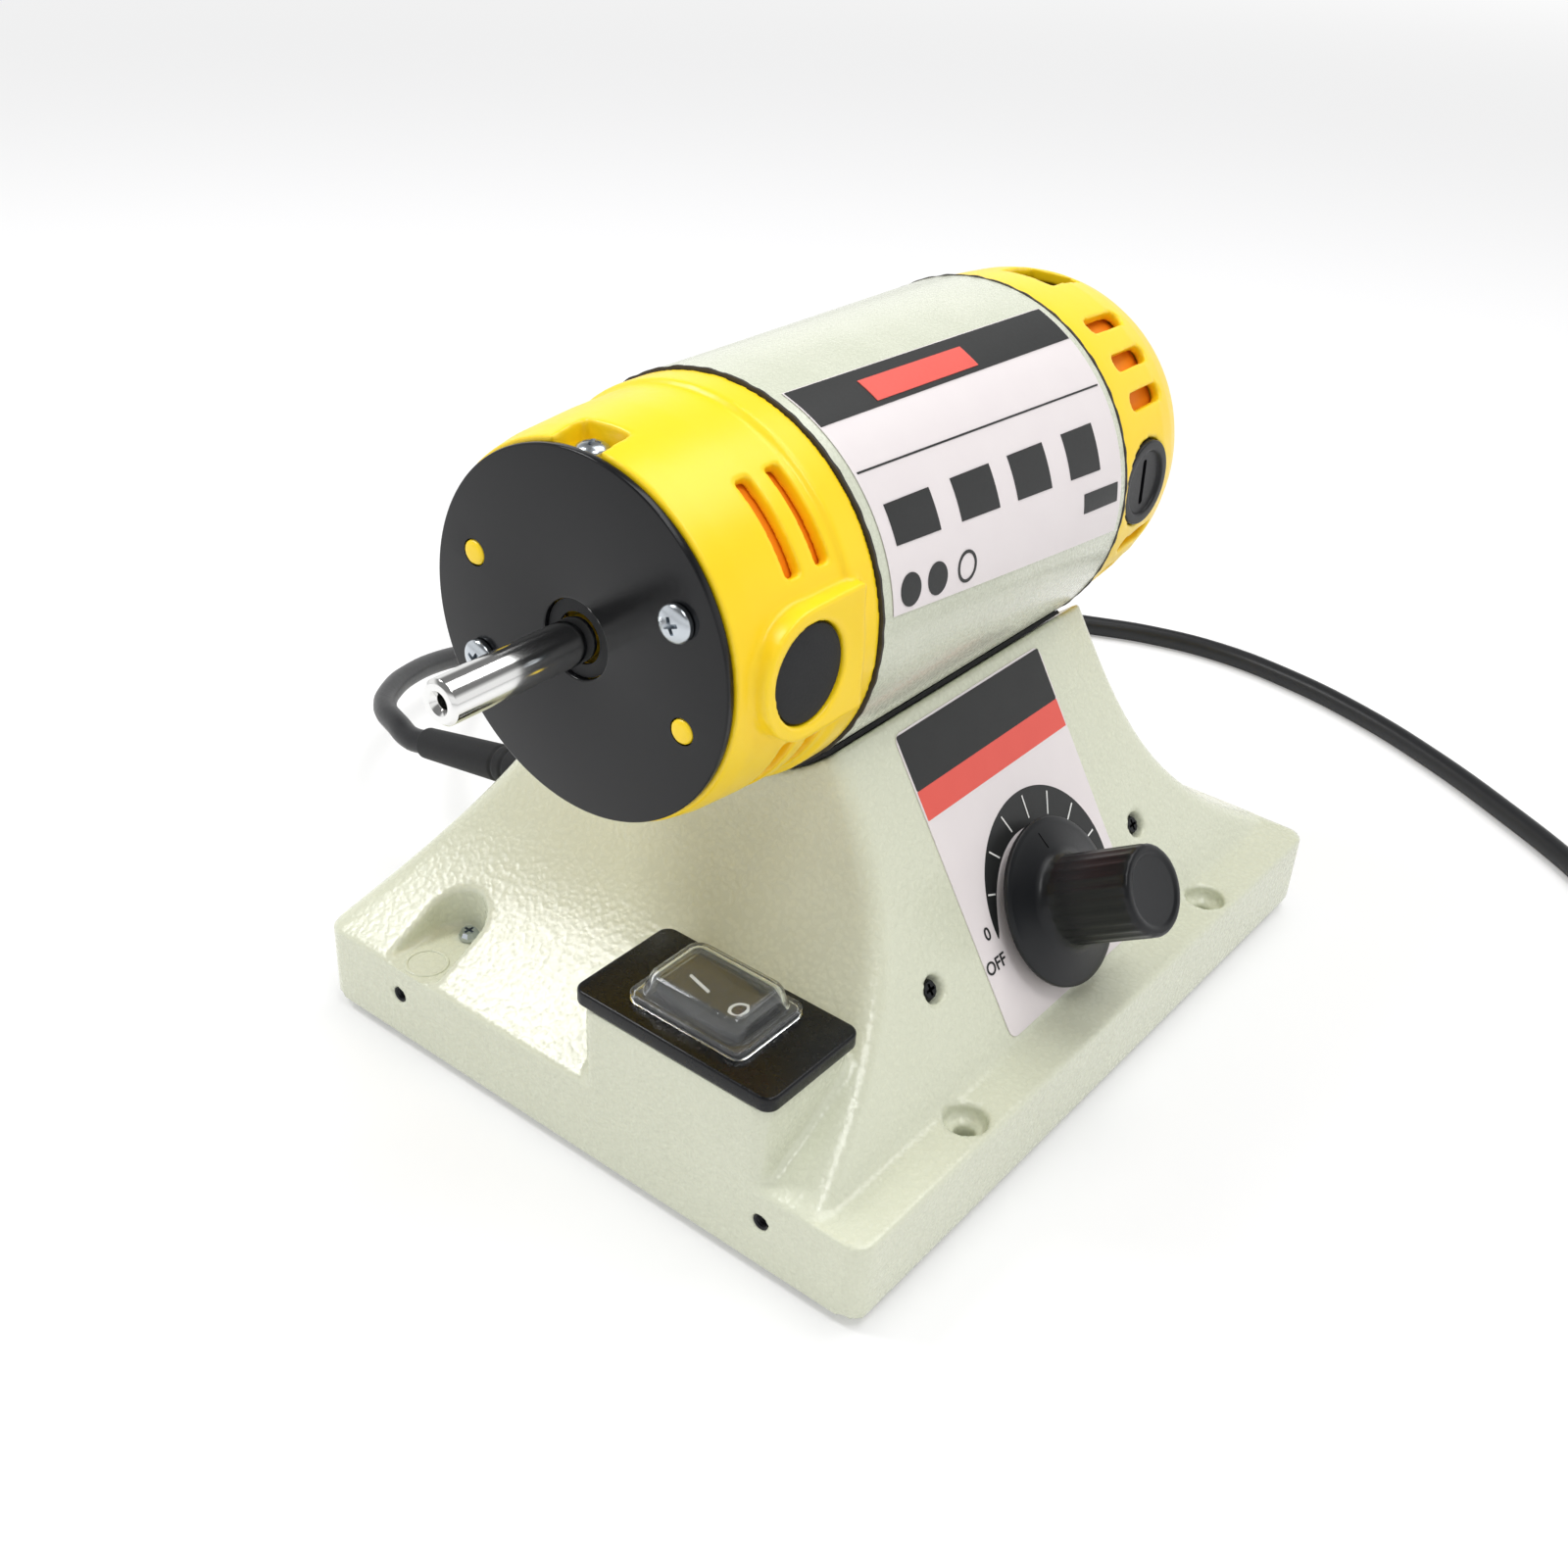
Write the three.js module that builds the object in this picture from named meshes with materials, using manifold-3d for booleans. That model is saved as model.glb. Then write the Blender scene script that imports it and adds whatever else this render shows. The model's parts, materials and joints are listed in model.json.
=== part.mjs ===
// Small bench polishing machine: a brushed motor in a round barrel, bolted on a hollow cast
// base that carries the speed knob, the rocker switch and the mains lead.
// Millimetres. +X is the knob side, -Y the spindle end, +Z up. z = 0 is the floor under the
// feet. x = y = 0 is the middle of the machine's box, measured without its lead.
import * as THREE from 'three';
import { mergeVertices } from 'three/addons/utils/BufferGeometryUtils.js';
import Module from 'manifold-3d';

const wasm = await Module();
wasm.setup();

// Clearances
const seatGap = 0.3;
const cutOverrun = 3;
const weldTolerance = 0.00001;
const facetTolerance = 0.002;

// Facet counts
const barrelSides = 40;
const knobSides = 32;
const rodSides = 16;
const screwSides = 10;
const raceSides = 20;
const cornerSteps = 3;
const rockerBellyFacets = 8;

// Cast base
const plinthLength = 218.4;
const plinthHeight = 21.35;
const plinthCornerRadius = 5;
const towerFootReach = 79.75;
const ledgeWidth = 13;
const panelHeight = 73.75;
const panelLeanShare = 0.626;
const wallLeanShare = 0.517;
const saddleFrontReach = 51.5;
const saddleRearReach = 61;
const saddleTrim = 1.6;
const frontRampShare = 2.85;
const rearRampShare = 3.3;
const rampSkirtDepth = 6;
const rampSkirtInset = 1;
const towerFootInset = 0.15;
const castingWall = 8;
const cradleRoof = 7;
const flangeThickness = 5;
const motorAxisAboveLedge = 106.5;

// Bottom cover, its screws and the feet
const coverThickness = 2;
const coverSideMargin = 8.05;
const coverFootGap = 3.3;
const coverCornerRadius = 4;
const coverFlangeWidth = 6;
const coverScrewFromSide = 16.7;
const coverScrewRadius = 1.5;
const coverScrewHeadRadius = 2.8;
const coverScrewHeadHeight = 1.4;
const coverScrewLength = 5;
const coverScrewSink = 1.2;
const footRadius = 7.5;
const footHeight = 2.7;
const footStemRadius = 2.5;
const footStemHeight = 3.4;
const footFromSide = 16.25;
const footFromEnd = 10.7;

// Holes in the casting
const ledgeHoleRadius = 2.7;
const ledgeCounterboreRadius = 5.3;
const ledgeCounterboreDepth = 4;
const ledgeHoleFromEdge = 7.4;
const ledgeHoleSpacing = 118.8;
const frontHoleRadius = 2.1;
const frontHoleDepth = 6.5;
const frontHoleSpacing = 117.6;
const frontHoleHeight = 12.6;
const pocketRadius = 8.5;
const pocketWall = 4.5;
const pocketX = -48.5;
const pocketReach = 24.5;
const pocketMarkRadius = 5.6;
const pocketMarkWidth = 0.8;
const pocketMarkDepth = 0.4;
const pocketMarkFromEdge = 6.5;
const pocketScrewFromEnd = 3.6;
const pocketScrewRadius = 1.5;
const pocketScrewHeadRadius = 2.7;
const pocketScrewHeadHeight = 2.2;
const pocketScrewLength = 8;

// Saddle between the base and the motor
const gasketThickness = 1;
const gasketHalfAngle = 44;
const saddleBoltRadius = 2.5;
const saddleBoltHeadRadius = 4.4;
const saddleBoltHeadHeight = 3.6;
const saddleBoltFrontY = -25;
const saddleBoltRearY = 30;
const saddleBoltSides = 6;

// Motor barrel
const barrelRadius = 46.7;
const barrelWall = 2.2;
const barrelFrontY = -53.5;
const barrelRearY = 49.9;

// Front end cap and the black face plate
const capTurn = 2;
const frontCapLength = 41.7;
const frontFaceWall = 5;
const frontFaceRadius = 42.3;
const frontShoulderRadius = 43.4;
const frontShoulderDepth = 5.5;
const frontBodyRadius = 45;
const frontRimRadius = 46.2;
const frontRimWidth = 8.4;
const frontRimStep = 0.6;
const frontShellOverlap = 1;
const capInnerRadius = 41.4;
const spigotLength = 4.5;
const frontHubRadius = 19;
const frontHubLength = 10;
const facePlateRadius = 41.5;
const facePlateThickness = 2;
const facePlateHoleRadius = 9;
const pegX = 29.3;
const pegZ = 11.2;
const pegRadius = 2.9;
const pegProud = 0.5;
const faceScrewX = 28.8;
const faceScrewZ = 13.1;
const faceScrewRadius = 1.6;
const faceScrewHeadRadius = 4.2;
const faceScrewHeadHeight = 2.6;
const faceScrewLength = 11;
const faceScrewBossRadius = 4.2;
const faceScrewBossLength = 7;
const notchHalfWidth = 6.5;
const notchDepth = 9;
const notchFloorRadius = 37.6;
const notchBlockDepth = 13;
const notchBlockBottom = 29;
const notchBlockHalfWidth = 8;
const notchScrewFromFace = 4.5;
const notchScrewRadius = 1.8;
const notchScrewHeadRadius = 3.9;
const notchScrewHeadHeight = 3.4;
const notchScrewLength = 6;
const ventWidth = 4.2;
const ventFrontYs = [-76, -67];
const ventStart = 25;
const ventEnd = 54;
const ventSteps = 6;
const sideBossReach = 46.9;
const sideBossRadius = 14.5;
const sideBossY = -78;
const sideBossRearY = -60;
const sideBossRoot = 38;
const sidePlugRadius = 11;
const sidePlugThickness = 3.4;
const sidePlugInset = 0.4;

// Rear end cap
const rearRimRadius = 46;
const rearCapLength = 51.1;
const rearHubRadius = 15;
const rearHubLip = 1.3;
const rearTailRoom = 4;
const rearBearingFromEnd = 12;
const rearVentFrontY = 59.5;
const rearVentRearY = 77;
const rearVentWidth = 4.6;
const rearVentAngles = [55.5, 41, 27.5, -22, -36, -50];
const topVentAngle = 86;
const topVentHalfWidth = 7.5;
const topVentFrontY = 66;
const topVentRearY = 81;

// Brush gear
const brushY = 64.2;
const brushCapRadius = 11;
const brushCapThickness = 3.2;
const brushCapReach = 44.9;
const brushCapStemRadius = 3.8;
const brushCapStemLength = 3;
const brushCapRecessRadius = 8.2;
const brushCapRecessDepth = 0.9;
const brushCapSlotWidth = 1.8;
const brushCapSlotLength = 12;
const brushCapSlotDepth = 1;
const brushBossRadius = 13.5;
const brushBossRoot = 30;
const brushHolderRadius = 6;
const brushHolderBore = 4.6;
const brushHolderFoot = 13;
const brushRadius = 4.2;
const brushLength = 12;
const brushSpringRadius = 3.6;
const brushSpringBore = 2.4;

// Bearings
const frontBearingRadius = 15;
const frontBearingWidth = 9;
const frontRaceSplit = 10;
const rearBearingRadius = 11;
const rearBearingWidth = 7;
const rearRaceSplit = 7.2;

// Rotor
const spindleRadius = 5;
const spindleTailRadius = 4;
const spindleOverhang = 37.7;
const spindleChamfer = 0.8;
const spindleBoreRadius = 1.6;
const spindleBoreDepth = 12;
const spindleSinkRadius = 2.7;
const spindleSinkDepth = 1.3;
const spindleTailLength = 10.5;
const coreRadius = 22.5;
const coreHalfLength = 30;
const coreSlots = 12;
const coreSlotWidth = 3.2;
const coreSlotDepth = 8;
const windingRadius = 19.5;
const windingOverhang = 12;
const commutatorRadius = 12;
const commutatorFrontY = 54;
const commutatorRearY = 74;
const commutatorRiser = 1.6;
const commutatorRiserWidth = 3;
const fanRadius = 36;
const fanHubRadius = 9;
const fanPlateThickness = 1.6;
const fanBladeThickness = 1.4;
const fanBladeWidth = 12;
const fanBlades = 10;
const fanRearY = -59;

// Stator
const airGap = 0.7;
const shoeThickness = 4;
const shoeHalfAngle = 55;
const poleWidth = 20;
const yokeThickness = 6;
const windingWidth = 6;
const windingHeight = 5.4;
const windingEnd = 8;

// Control panel on the slanted face: distance down from the panel's top edge, height off it
const knobDown = 63;
const knobTopHeight = 33.1;
const knobTopRadius = 11.6;
const knobEdge = 1;
const knobGripRadius = 11;
const knobGripStart = 9;
const knobRibs = 24;
const knobSkirtRadius = 21.5;
const knobSkirtGap = 1.4;
const knobSkirtRim = 1.2;
const knobSkirtTop = 7.5;
const knobNeckRadius = 12.8;
const knobRecessRadius = 9.5;
const knobRecessTop = 5.5;
const knobDishRadius = 9;
const knobDishDepth = 0.4;
const shaftRadius = 3;
const shaftTop = 22;
const shaftBottom = -5;
const bushingRadius = 4.5;
const bushingTop = 3.4;
const potRadius = 8.5;
const potDepth = 9;
const nutRadius = 7;
const nutHeight = 2.2;
const nutSides = 6;
const panelScrewDown = 62.3;
const panelScrewSpacing = 96.4;
const panelScrewHeadRadius = 2.8;
const panelScrewHeadHeight = 2.2;
const panelScrewSink = 3.9;
const panelScrewRadius = 1.7;
const panelBossRadius = 5;
const boardHeight = -20.6;
const boardThickness = 1.6;
const boardScrewMargin = 6.8;
const boardTop = 45;
const boardBottom = 79;
const heatSinkTop = 50;
const heatSinkBottom = 74;
const heatSinkHeight = 12;
const heatSinkLength = 40;
const heatSinkY = 18;
const heatSinkPlate = 2.5;
const heatSinkFins = 6;
const heatSinkFin = 1.6;
const screwTipProud = 1;

// Switch on its boss at the front edge
const bossLeftX = 11;
const bossRightX = 65;
const bossHeight = 22.65;
const bossDepth = 31;
const bossCornerRadius = 4;
const switchPlateLeftX = 9.1;
const switchPlateRightX = 66.6;
const switchPlateFront = 0.4;
const switchPlateDepth = 32.2;
const switchPlateThickness = 4;
const switchX = 37.5;
const switchFromFront = 16.2;
const housingLength = 27.4;
const housingWidth = 19.4;
const housingDepth = 21;
const housingCavityLength = 24.6;
const housingCavityWidth = 14.6;
const housingCavityDepth = 7.5;
const bezelLength = 30.4;
const bezelWidth = 21;
const bezelHeight = 0.8;
const blindWellDepth = 27;
const clearCoverLength = 33.4;
const clearCoverWidth = 23.6;
const clearCoverBase = 2;
const clearCoverShell = 0.9;
const clearDomeLength = 29;
const clearDomeWidth = 20.4;
const clearDomeTopLength = 25.4;
const clearDomeTopWidth = 17;
const clearCoverHeight = 7.4;
const clearCoverCorner = 3;
const rockerHalfLength = 11.4;
const rockerWidth = 14;
const rockerEndHeight = 4.6;
const rockerMiddleHeight = 2.7;
const rockerEndDrop = 1.2;
const rockerBellyRadius = 5.2;
const rockerBellyDepth = 4.16;
const rockerPivotDepth = 1.6;
const rockerRestTilt = 7;

// Strain relief on the left wall
const reliefY = -46.7;
const reliefAboveLedge = 23.2;
const reliefDroop = 11;
const reliefLength = 42.6;
const reliefRootRadius = 5.6;
const reliefTipRadius = 4.5;
const reliefFlangeRadius = 8;
const reliefFlangeThickness = 2.2;
const reliefNeckRadius = 4.6;
const reliefCollarRadius = 7;
const reliefCollarThickness = 2;

// Mains lead
const cordRadius = 3.5;
const cordSides = 8;
const cordSteps = 66;
const coilSides = 6;
const coilStepsPerTurn = 24;
const coilCentreX = 205;
const coilCentreY = 212;
const coilOuterRadius = 46.5;
const coilPitch = 8.8;
const coilLayerTurns = 2.375;
const coilClimbTurns = 0.5;
const coilStartAngle = 239.3;
const coilFloorHeight = 3.7;
const coilLayerRise = 7.6;
const coilLeadIn = 7;
const coilLeadOut = 28;
const plugBodyLength = 42;
const plugNeckLength = 8;
const plugNeckRadius = 6.5;
const plugShoulderLength = 16;
const plugWidth = 33;
const plugThickness = 22;
const plugCorner = 6;
const pinRadius = 2.4;
const pinSpacing = 19;
const pinLength = 19;

// The lead's route where it isn't coiled, chosen by hand: over the floor behind the machine.
const cordRoute = [
  [-136.3, -30.6, 37.6],
  [-150.6, -23.4, 34.8],
  [-164.2, -9.0, 30.6],
  [-175.3, 8.6, 25.2],
  [-184.0, 27.0, 19.0],
  [-190.2, 47.0, 12.4],
  [-193.4, 70.0, 7.2],
  [-191.6, 95.0, 4.2],
  [-182.4, 122.0, 3.7],
  [-163.6, 151.0, 3.7],
  [-137.6, 179.0, 3.7],
  [-108.2, 203.0, 3.7],
  [-79.4, 221.6, 3.7],
  [-52.0, 235.8, 3.7],
  [-31.8, 244.6, 3.7],
  [-6.2, 250.2, 3.7],
  [22.0, 249.0, 3.7],
  [52.4, 242.1, 3.7],
  [85.6, 228.8, 3.7],
  [116.0, 212.6, 3.7],
  [139.8, 198.0, 3.7],
];

// Levels and places worked out from the sizes above
const footTop = footHeight;
const castingBottom = footTop + seatGap;
const ledgeZ = castingBottom + plinthHeight;
const panelTopZ = ledgeZ + panelHeight;
const saddleTopZ = panelTopZ - saddleTrim;
const motorZ = ledgeZ + motorAxisAboveLedge;
const gasketInner = barrelRadius + seatGap;
const gasketOuter = gasketInner + gasketThickness;
const cradleRadius = gasketOuter + seatGap;
const hollowRoofZ = motorZ - cradleRadius - cradleRoof;
const flangeTopZ = castingBottom + flangeThickness;
const coverBottomZ = castingBottom + seatGap;
const coverTopZ = coverBottomZ + coverThickness;
const coverScrewTopZ = coverBottomZ + coverScrewSink + coverScrewLength;
const plinthHalf = plinthLength / 2;
const plinthRightX = towerFootReach + ledgeWidth;
const plinthMiddleX = ledgeWidth / 2;
const footReachX = plinthRightX - plinthMiddleX - footFromSide;
const footReachY = plinthHalf - footFromEnd;
const coverReachX = towerFootReach - coverSideMargin;
const boardReach = panelScrewSpacing / 2 + boardScrewMargin;
const coverReachY = footReachY - footRadius - coverFootGap;
const coverScrewX = coverReachX - coverScrewFromSide;
const panelTopX = towerFootReach - panelLeanShare * panelHeight;
const panelTilt = Math.PI / 2 - Math.atan(panelLeanShare);
const wallTilt = Math.atan(wallLeanShare) - Math.PI / 2;
const panelWall = castingWall * Math.sin(panelTilt);
const sideWall = -castingWall * Math.sin(wallTilt);
const barrelBore = barrelRadius - barrelWall;
const statorRadius = barrelBore - seatGap;
const frontCapFaceY = barrelFrontY - seatGap - frontCapLength;
const facePlateFrontY = frontCapFaceY - seatGap - facePlateThickness;
const spindleTipY = facePlateFrontY - spindleOverhang;
const frontBearingY = frontCapFaceY + frontFaceWall;
const notchScrewY = frontCapFaceY + notchScrewFromFace;
const rearCapFaceY = barrelRearY + seatGap;
const rearCapEndY = rearCapFaceY + rearCapLength;
const rearBearingEndY = rearCapEndY - rearBearingFromEnd;
const rearBearingY = rearBearingEndY - rearBearingWidth;
const bossTopZ = ledgeZ + bossHeight;
const switchPlateBottomZ = bossTopZ + seatGap;
const switchPlateTopZ = switchPlateBottomZ + switchPlateThickness;
const switchY = -plinthHalf + switchFromFront;
const bezelBottomZ = switchPlateTopZ + seatGap;
const bezelTopZ = bezelBottomZ + bezelHeight;
const rockerPivotZ = bezelTopZ - rockerPivotDepth;
const pocketFloorZ = ledgeZ - seatGap;
const pocketEndY = plinthHalf - pocketReach;
const pocketCentreY = -pocketEndY - pocketRadius;
const pocketScrewY = -pocketEndY - pocketScrewFromEnd;
const reliefRootX = towerFootReach - wallLeanShare * reliefAboveLedge;
const reliefRootZ = ledgeZ + reliefAboveLedge;
const knobReach = panelTopX + knobDown * Math.cos(panelTilt)
  + (knobTopHeight - knobEdge) * Math.sin(panelTilt) + knobTopRadius * Math.cos(panelTilt);
const originX = (knobReach - towerFootReach) / 2;
const originY = (spindleTipY + plinthHalf) / 2;

// Colours and finishes
function finish(color, roughness, metalness) {
  return new THREE.MeshStandardMaterial({ color, roughness, metalness });
}

const castPaint = finish('#d9dcc6', 0.45, 0.1);
const yellowPlastic = finish('#ffd21f', 0.4, 0);
const blackPlastic = finish('#2b2c2e', 0.45, 0);
const blackRubber = finish('#232426', 0.8, 0);
const clearPlastic = finish('#e9eef0', 0.08, 0);
const polishedSteel = finish('#c9c9c7', 0.2, 1);
const zincSteel = finish('#b9bec4', 0.3, 1);
const darkSteel = finish('#3b3c3e', 0.4, 0.8);
const laminatedSteel = finish('#7d7f80', 0.5, 0.9);
const copper = finish('#b4673a', 0.35, 1);
const brass = finish('#c2a04c', 0.35, 1);
const carbon = finish('#303032', 0.7, 0.1);
const boardGreen = finish('#2f6b45', 0.5, 0);
const aluminium = finish('#b8babb', 0.4, 1);

// Solids: every shape is a closed mesh; joins and cuts are made on welded copies
function weld(geometry) {
  const bare = geometry.clone();
  bare.deleteAttribute('normal');
  bare.deleteAttribute('uv');
  const merged = mergeVertices(bare, weldTolerance);
  const points = merged.attributes.position.array;
  const faces = [];
  for (let i = 0; i < merged.index.count; i += 3) {
    const face = [merged.index.getX(i), merged.index.getX(i + 1), merged.index.getX(i + 2)];
    if (new Set(face).size === 3) faces.push(face);
  }
  const corner = (index) => new THREE.Vector3().fromArray(points, 3 * index);
  const volume = faces.reduce((sum, [a, b, c]) => sum + corner(a).dot(corner(b).cross(corner(c))), 0);
  const outward = volume < 0 ? faces.map(([a, b, c]) => [a, c, b]) : faces;
  return { points, triangles: Uint32Array.from(outward.flat()) };
}

function toSolid(geometry) {
  const { points, triangles } = weld(geometry);
  return new wasm.Manifold(new wasm.Mesh({ numProp: 3, vertProperties: points, triVerts: triangles }));
}

function toGeometry(solid) {
  const mesh = solid.getMesh();
  const geometry = new THREE.BufferGeometry();
  geometry.setAttribute('position', new THREE.BufferAttribute(mesh.vertProperties, mesh.numProp));
  geometry.setIndex(new THREE.BufferAttribute(mesh.triVerts, 1));
  const faceted = geometry.toNonIndexed();
  faceted.computeVertexNormals();
  return faceted;
}

function join(first, ...rest) {
  return toGeometry(rest.reduce((solid, geometry) => solid.add(toSolid(geometry)), toSolid(first)));
}

function cut(body, ...tools) {
  return toGeometry(tools.reduce((solid, tool) => solid.subtract(toSolid(tool)), toSolid(body)));
}

function keep(body, region) {
  return toGeometry(toSolid(body).intersect(toSolid(region)));
}

// Basic shapes
function moved(geometry, x, y, z) {
  return geometry.clone().translate(x, y, z);
}

function block(x0, x1, y0, y1, z0, z1) {
  const geometry = new THREE.BoxGeometry(x1 - x0, y1 - y0, z1 - z0);
  return geometry.translate((x0 + x1) / 2, (y0 + y1) / 2, (z0 + z1) / 2);
}

function rod(radius, from, to, axis = 'z', sides = rodSides) {
  const geometry = new THREE.CylinderGeometry(radius, radius, to - from, sides);
  geometry.translate(0, (from + to) / 2, 0);
  if (axis === 'z') geometry.rotateX(Math.PI / 2);
  if (axis === 'x') geometry.rotateZ(-Math.PI / 2);
  return geometry;
}

function spin(profile, sides, axis = 'y') {
  const points = profile.map(([radius, height]) => new THREE.Vector2(radius, height));
  const geometry = new THREE.LatheGeometry(points, sides);
  if (axis === 'z') geometry.rotateX(Math.PI / 2);
  if (axis === 'x') geometry.rotateZ(-Math.PI / 2);
  return geometry;
}

function ring(outer, inner, from, to, sides, axis = 'y') {
  return spin([[inner, from], [outer, from], [outer, to], [inner, to], [inner, from]], sides, axis);
}

// A ring of points round a rectangle with round corners, anticlockwise seen from above
function roundedRing(left, right, front, back, radius, z, steps = cornerSteps) {
  const corners = [
    [right - radius, front + radius, -90],
    [right - radius, back - radius, 0],
    [left + radius, back - radius, 90],
    [left + radius, front + radius, 180],
  ];
  return corners.flatMap(([x, y, start]) => Array.from({ length: steps + 1 }, (_, i) => {
    const angle = THREE.MathUtils.degToRad(start + 90 * i / steps);
    return new THREE.Vector3(x + radius * Math.cos(angle), y + radius * Math.sin(angle), z);
  }));
}

// A closed skin over a stack of rings that all have the same number of points
function loft(rings) {
  const count = rings[0].length;
  const points = rings.flat();
  const triangles = [];
  for (let level = 0; level + 1 < rings.length; level += 1) {
    for (let i = 0; i < count; i += 1) {
      const a = level * count + i;
      const b = level * count + (i + 1) % count;
      triangles.push(a, b, b + count, a, b + count, a + count);
    }
  }
  const middle = (rim) => rim.reduce((sum, p) => sum.add(p), new THREE.Vector3()).divideScalar(count);
  const bottom = points.push(middle(rings[0])) - 1;
  const top = points.push(middle(rings[rings.length - 1])) - 1;
  const last = (rings.length - 1) * count;
  for (let i = 0; i < count; i += 1) {
    const next = (i + 1) % count;
    triangles.push(bottom, next, i, top, last + i, last + next);
  }
  const geometry = new THREE.BufferGeometry().setFromPoints(points);
  geometry.setIndex(triangles);
  return geometry;
}

function roundedBlock(left, right, front, back, radius, bottom, top) {
  const bottomRing = roundedRing(left, right, front, back, radius, bottom);
  const topRing = roundedRing(left, right, front, back, radius, top);
  return loft([bottomRing, topRing]);
}

function centredRing(length, width, radius, z) {
  return roundedRing(-length / 2, length / 2, -width / 2, width / 2, radius, z);
}

function extrudeAlongY(outline, from, to) {
  const shape = new THREE.Shape(outline.map(([x, z]) => new THREE.Vector2(x, z)));
  const geometry = new THREE.ExtrudeGeometry(shape, { depth: to - from, bevelEnabled: false });
  return geometry.rotateX(Math.PI / 2).translate(0, to, 0);
}

// The same part of the sheet that a round wall leaves between two angles, in degrees from +X
function arcOutline(inner, outer, start, end, steps) {
  const at = (radius, i) => {
    const angle = THREE.MathUtils.degToRad(start + (end - start) * i / steps);
    return [radius * Math.cos(angle), radius * Math.sin(angle)];
  };
  const outerEdge = Array.from({ length: steps + 1 }, (_, i) => at(outer, i));
  const innerEdge = Array.from({ length: steps + 1 }, (_, i) => at(inner, steps - i));
  return [...outerEdge, ...innerEdge];
}

function screw(headRadius, headHeight, shankRadius, length) {
  const shoulder = headRadius * 0.75;
  const profile = [
    [0, -length], [shankRadius, -length], [shankRadius, 0], [headRadius, 0],
    [headRadius, headHeight * 0.5], [shoulder, headHeight], [0, headHeight],
  ];
  const reach = headRadius * 0.55;
  const arm = headRadius * 0.14;
  const floor = headHeight * 0.45;
  return cut(
    spin(profile, screwSides, 'z'),
    block(-reach, reach, -arm, arm, floor, headHeight + cutOverrun),
    block(-arm, arm, -reach, reach, floor, headHeight + cutOverrun),
  );
}

// Places on the two slanted walls: x runs down the panel, y along the machine, z out of it
function onPanel(geometry) {
  return geometry.clone().rotateY(panelTilt).translate(panelTopX, 0, panelTopZ);
}

function onWall(geometry) {
  return geometry.clone().rotateY(wallTilt).translate(-reliefRootX, reliefY, reliefRootZ);
}

// Cast base
function rampReach(z, topReach, share) {
  const climb = THREE.MathUtils.clamp((z - ledgeZ) / panelHeight, 0, 1);
  return topReach + (plinthHalf - topReach) * (1 - climb) ** share;
}

function towerRing(z, inset) {
  const climb = Math.max(z - ledgeZ, 0);
  const left = towerFootReach - wallLeanShare * climb - inset;
  const right = towerFootReach - panelLeanShare * climb - inset;
  const front = rampReach(z, saddleFrontReach, frontRampShare) - inset;
  const back = rampReach(z, saddleRearReach, rearRampShare) - inset;
  return roundedRing(-left, right, -front, back, plinthCornerRadius, z);
}

const rampLevelShares = [0, 0.03, 0.07, 0.12, 0.18, 0.26, 0.36, 0.5, 0.72, 1];

function tower() {
  const climb = saddleTopZ - ledgeZ;
  const levels = rampLevelShares.map(
    (share) => towerRing(ledgeZ + climb * share, share > 0 ? 0 : towerFootInset),
  );
  return loft([towerRing(ledgeZ - rampSkirtDepth, rampSkirtInset), ...levels]);
}

function plinth() {
  return roundedBlock(
    -towerFootReach, plinthRightX, -plinthHalf, plinthHalf, plinthCornerRadius, castingBottom, ledgeZ,
  );
}

function switchBoss() {
  return roundedBlock(
    bossLeftX, bossRightX, -plinthHalf, -plinthHalf + bossDepth, bossCornerRadius,
    ledgeZ - rampSkirtDepth, bossTopZ,
  );
}

function pocketColumn(side, radius, bottom) {
  const inner = side * (pocketCentreY + radius);
  const outer = side * (-plinthHalf - 2 * radius);
  return roundedBlock(
    pocketX - radius, pocketX + radius, Math.min(inner, outer), Math.max(inner, outer),
    radius, bottom, panelTopZ,
  );
}

function panelScrewPlaces() {
  return [-panelScrewSpacing / 2, panelScrewSpacing / 2];
}

function panelBoss(y) {
  return onPanel(
    moved(rod(panelBossRadius, boardHeight + boardThickness + seatGap, 0), panelScrewDown, y, 0),
  );
}

function hollow() {
  const climb = hollowRoofZ - ledgeZ;
  const levels = rampLevelShares.map((share) => towerRing(ledgeZ + climb * share, castingWall));
  const room = loft([towerRing(flangeTopZ, castingWall), ...levels.slice(1)]);
  const opening = roundedBlock(
    -coverReachX + coverFlangeWidth, coverReachX - coverFlangeWidth,
    -coverReachY + coverFlangeWidth, coverReachY - coverFlangeWidth,
    coverCornerRadius, castingBottom - cutOverrun, flangeTopZ + cutOverrun,
  );
  const rebate = roundedBlock(
    -coverReachX - seatGap, coverReachX + seatGap, -coverReachY - seatGap, coverReachY + seatGap,
    coverCornerRadius, castingBottom - cutOverrun, coverTopZ + seatGap,
  );
  const switchWell = block(
    switchX - housingLength / 2 - seatGap, switchX + housingLength / 2 + seatGap,
    switchY - housingWidth / 2 - seatGap, switchY + housingWidth / 2 + seatGap,
    bossTopZ - blindWellDepth, bossTopZ + cutOverrun,
  );
  const pockets = [1, -1].map((side) => pocketColumn(side, pocketRadius + pocketWall, castingBottom));
  const posts = panelScrewPlaces().map(panelBoss);
  return join(cut(room, ...pockets, ...posts), opening, rebate, switchWell);
}

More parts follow.
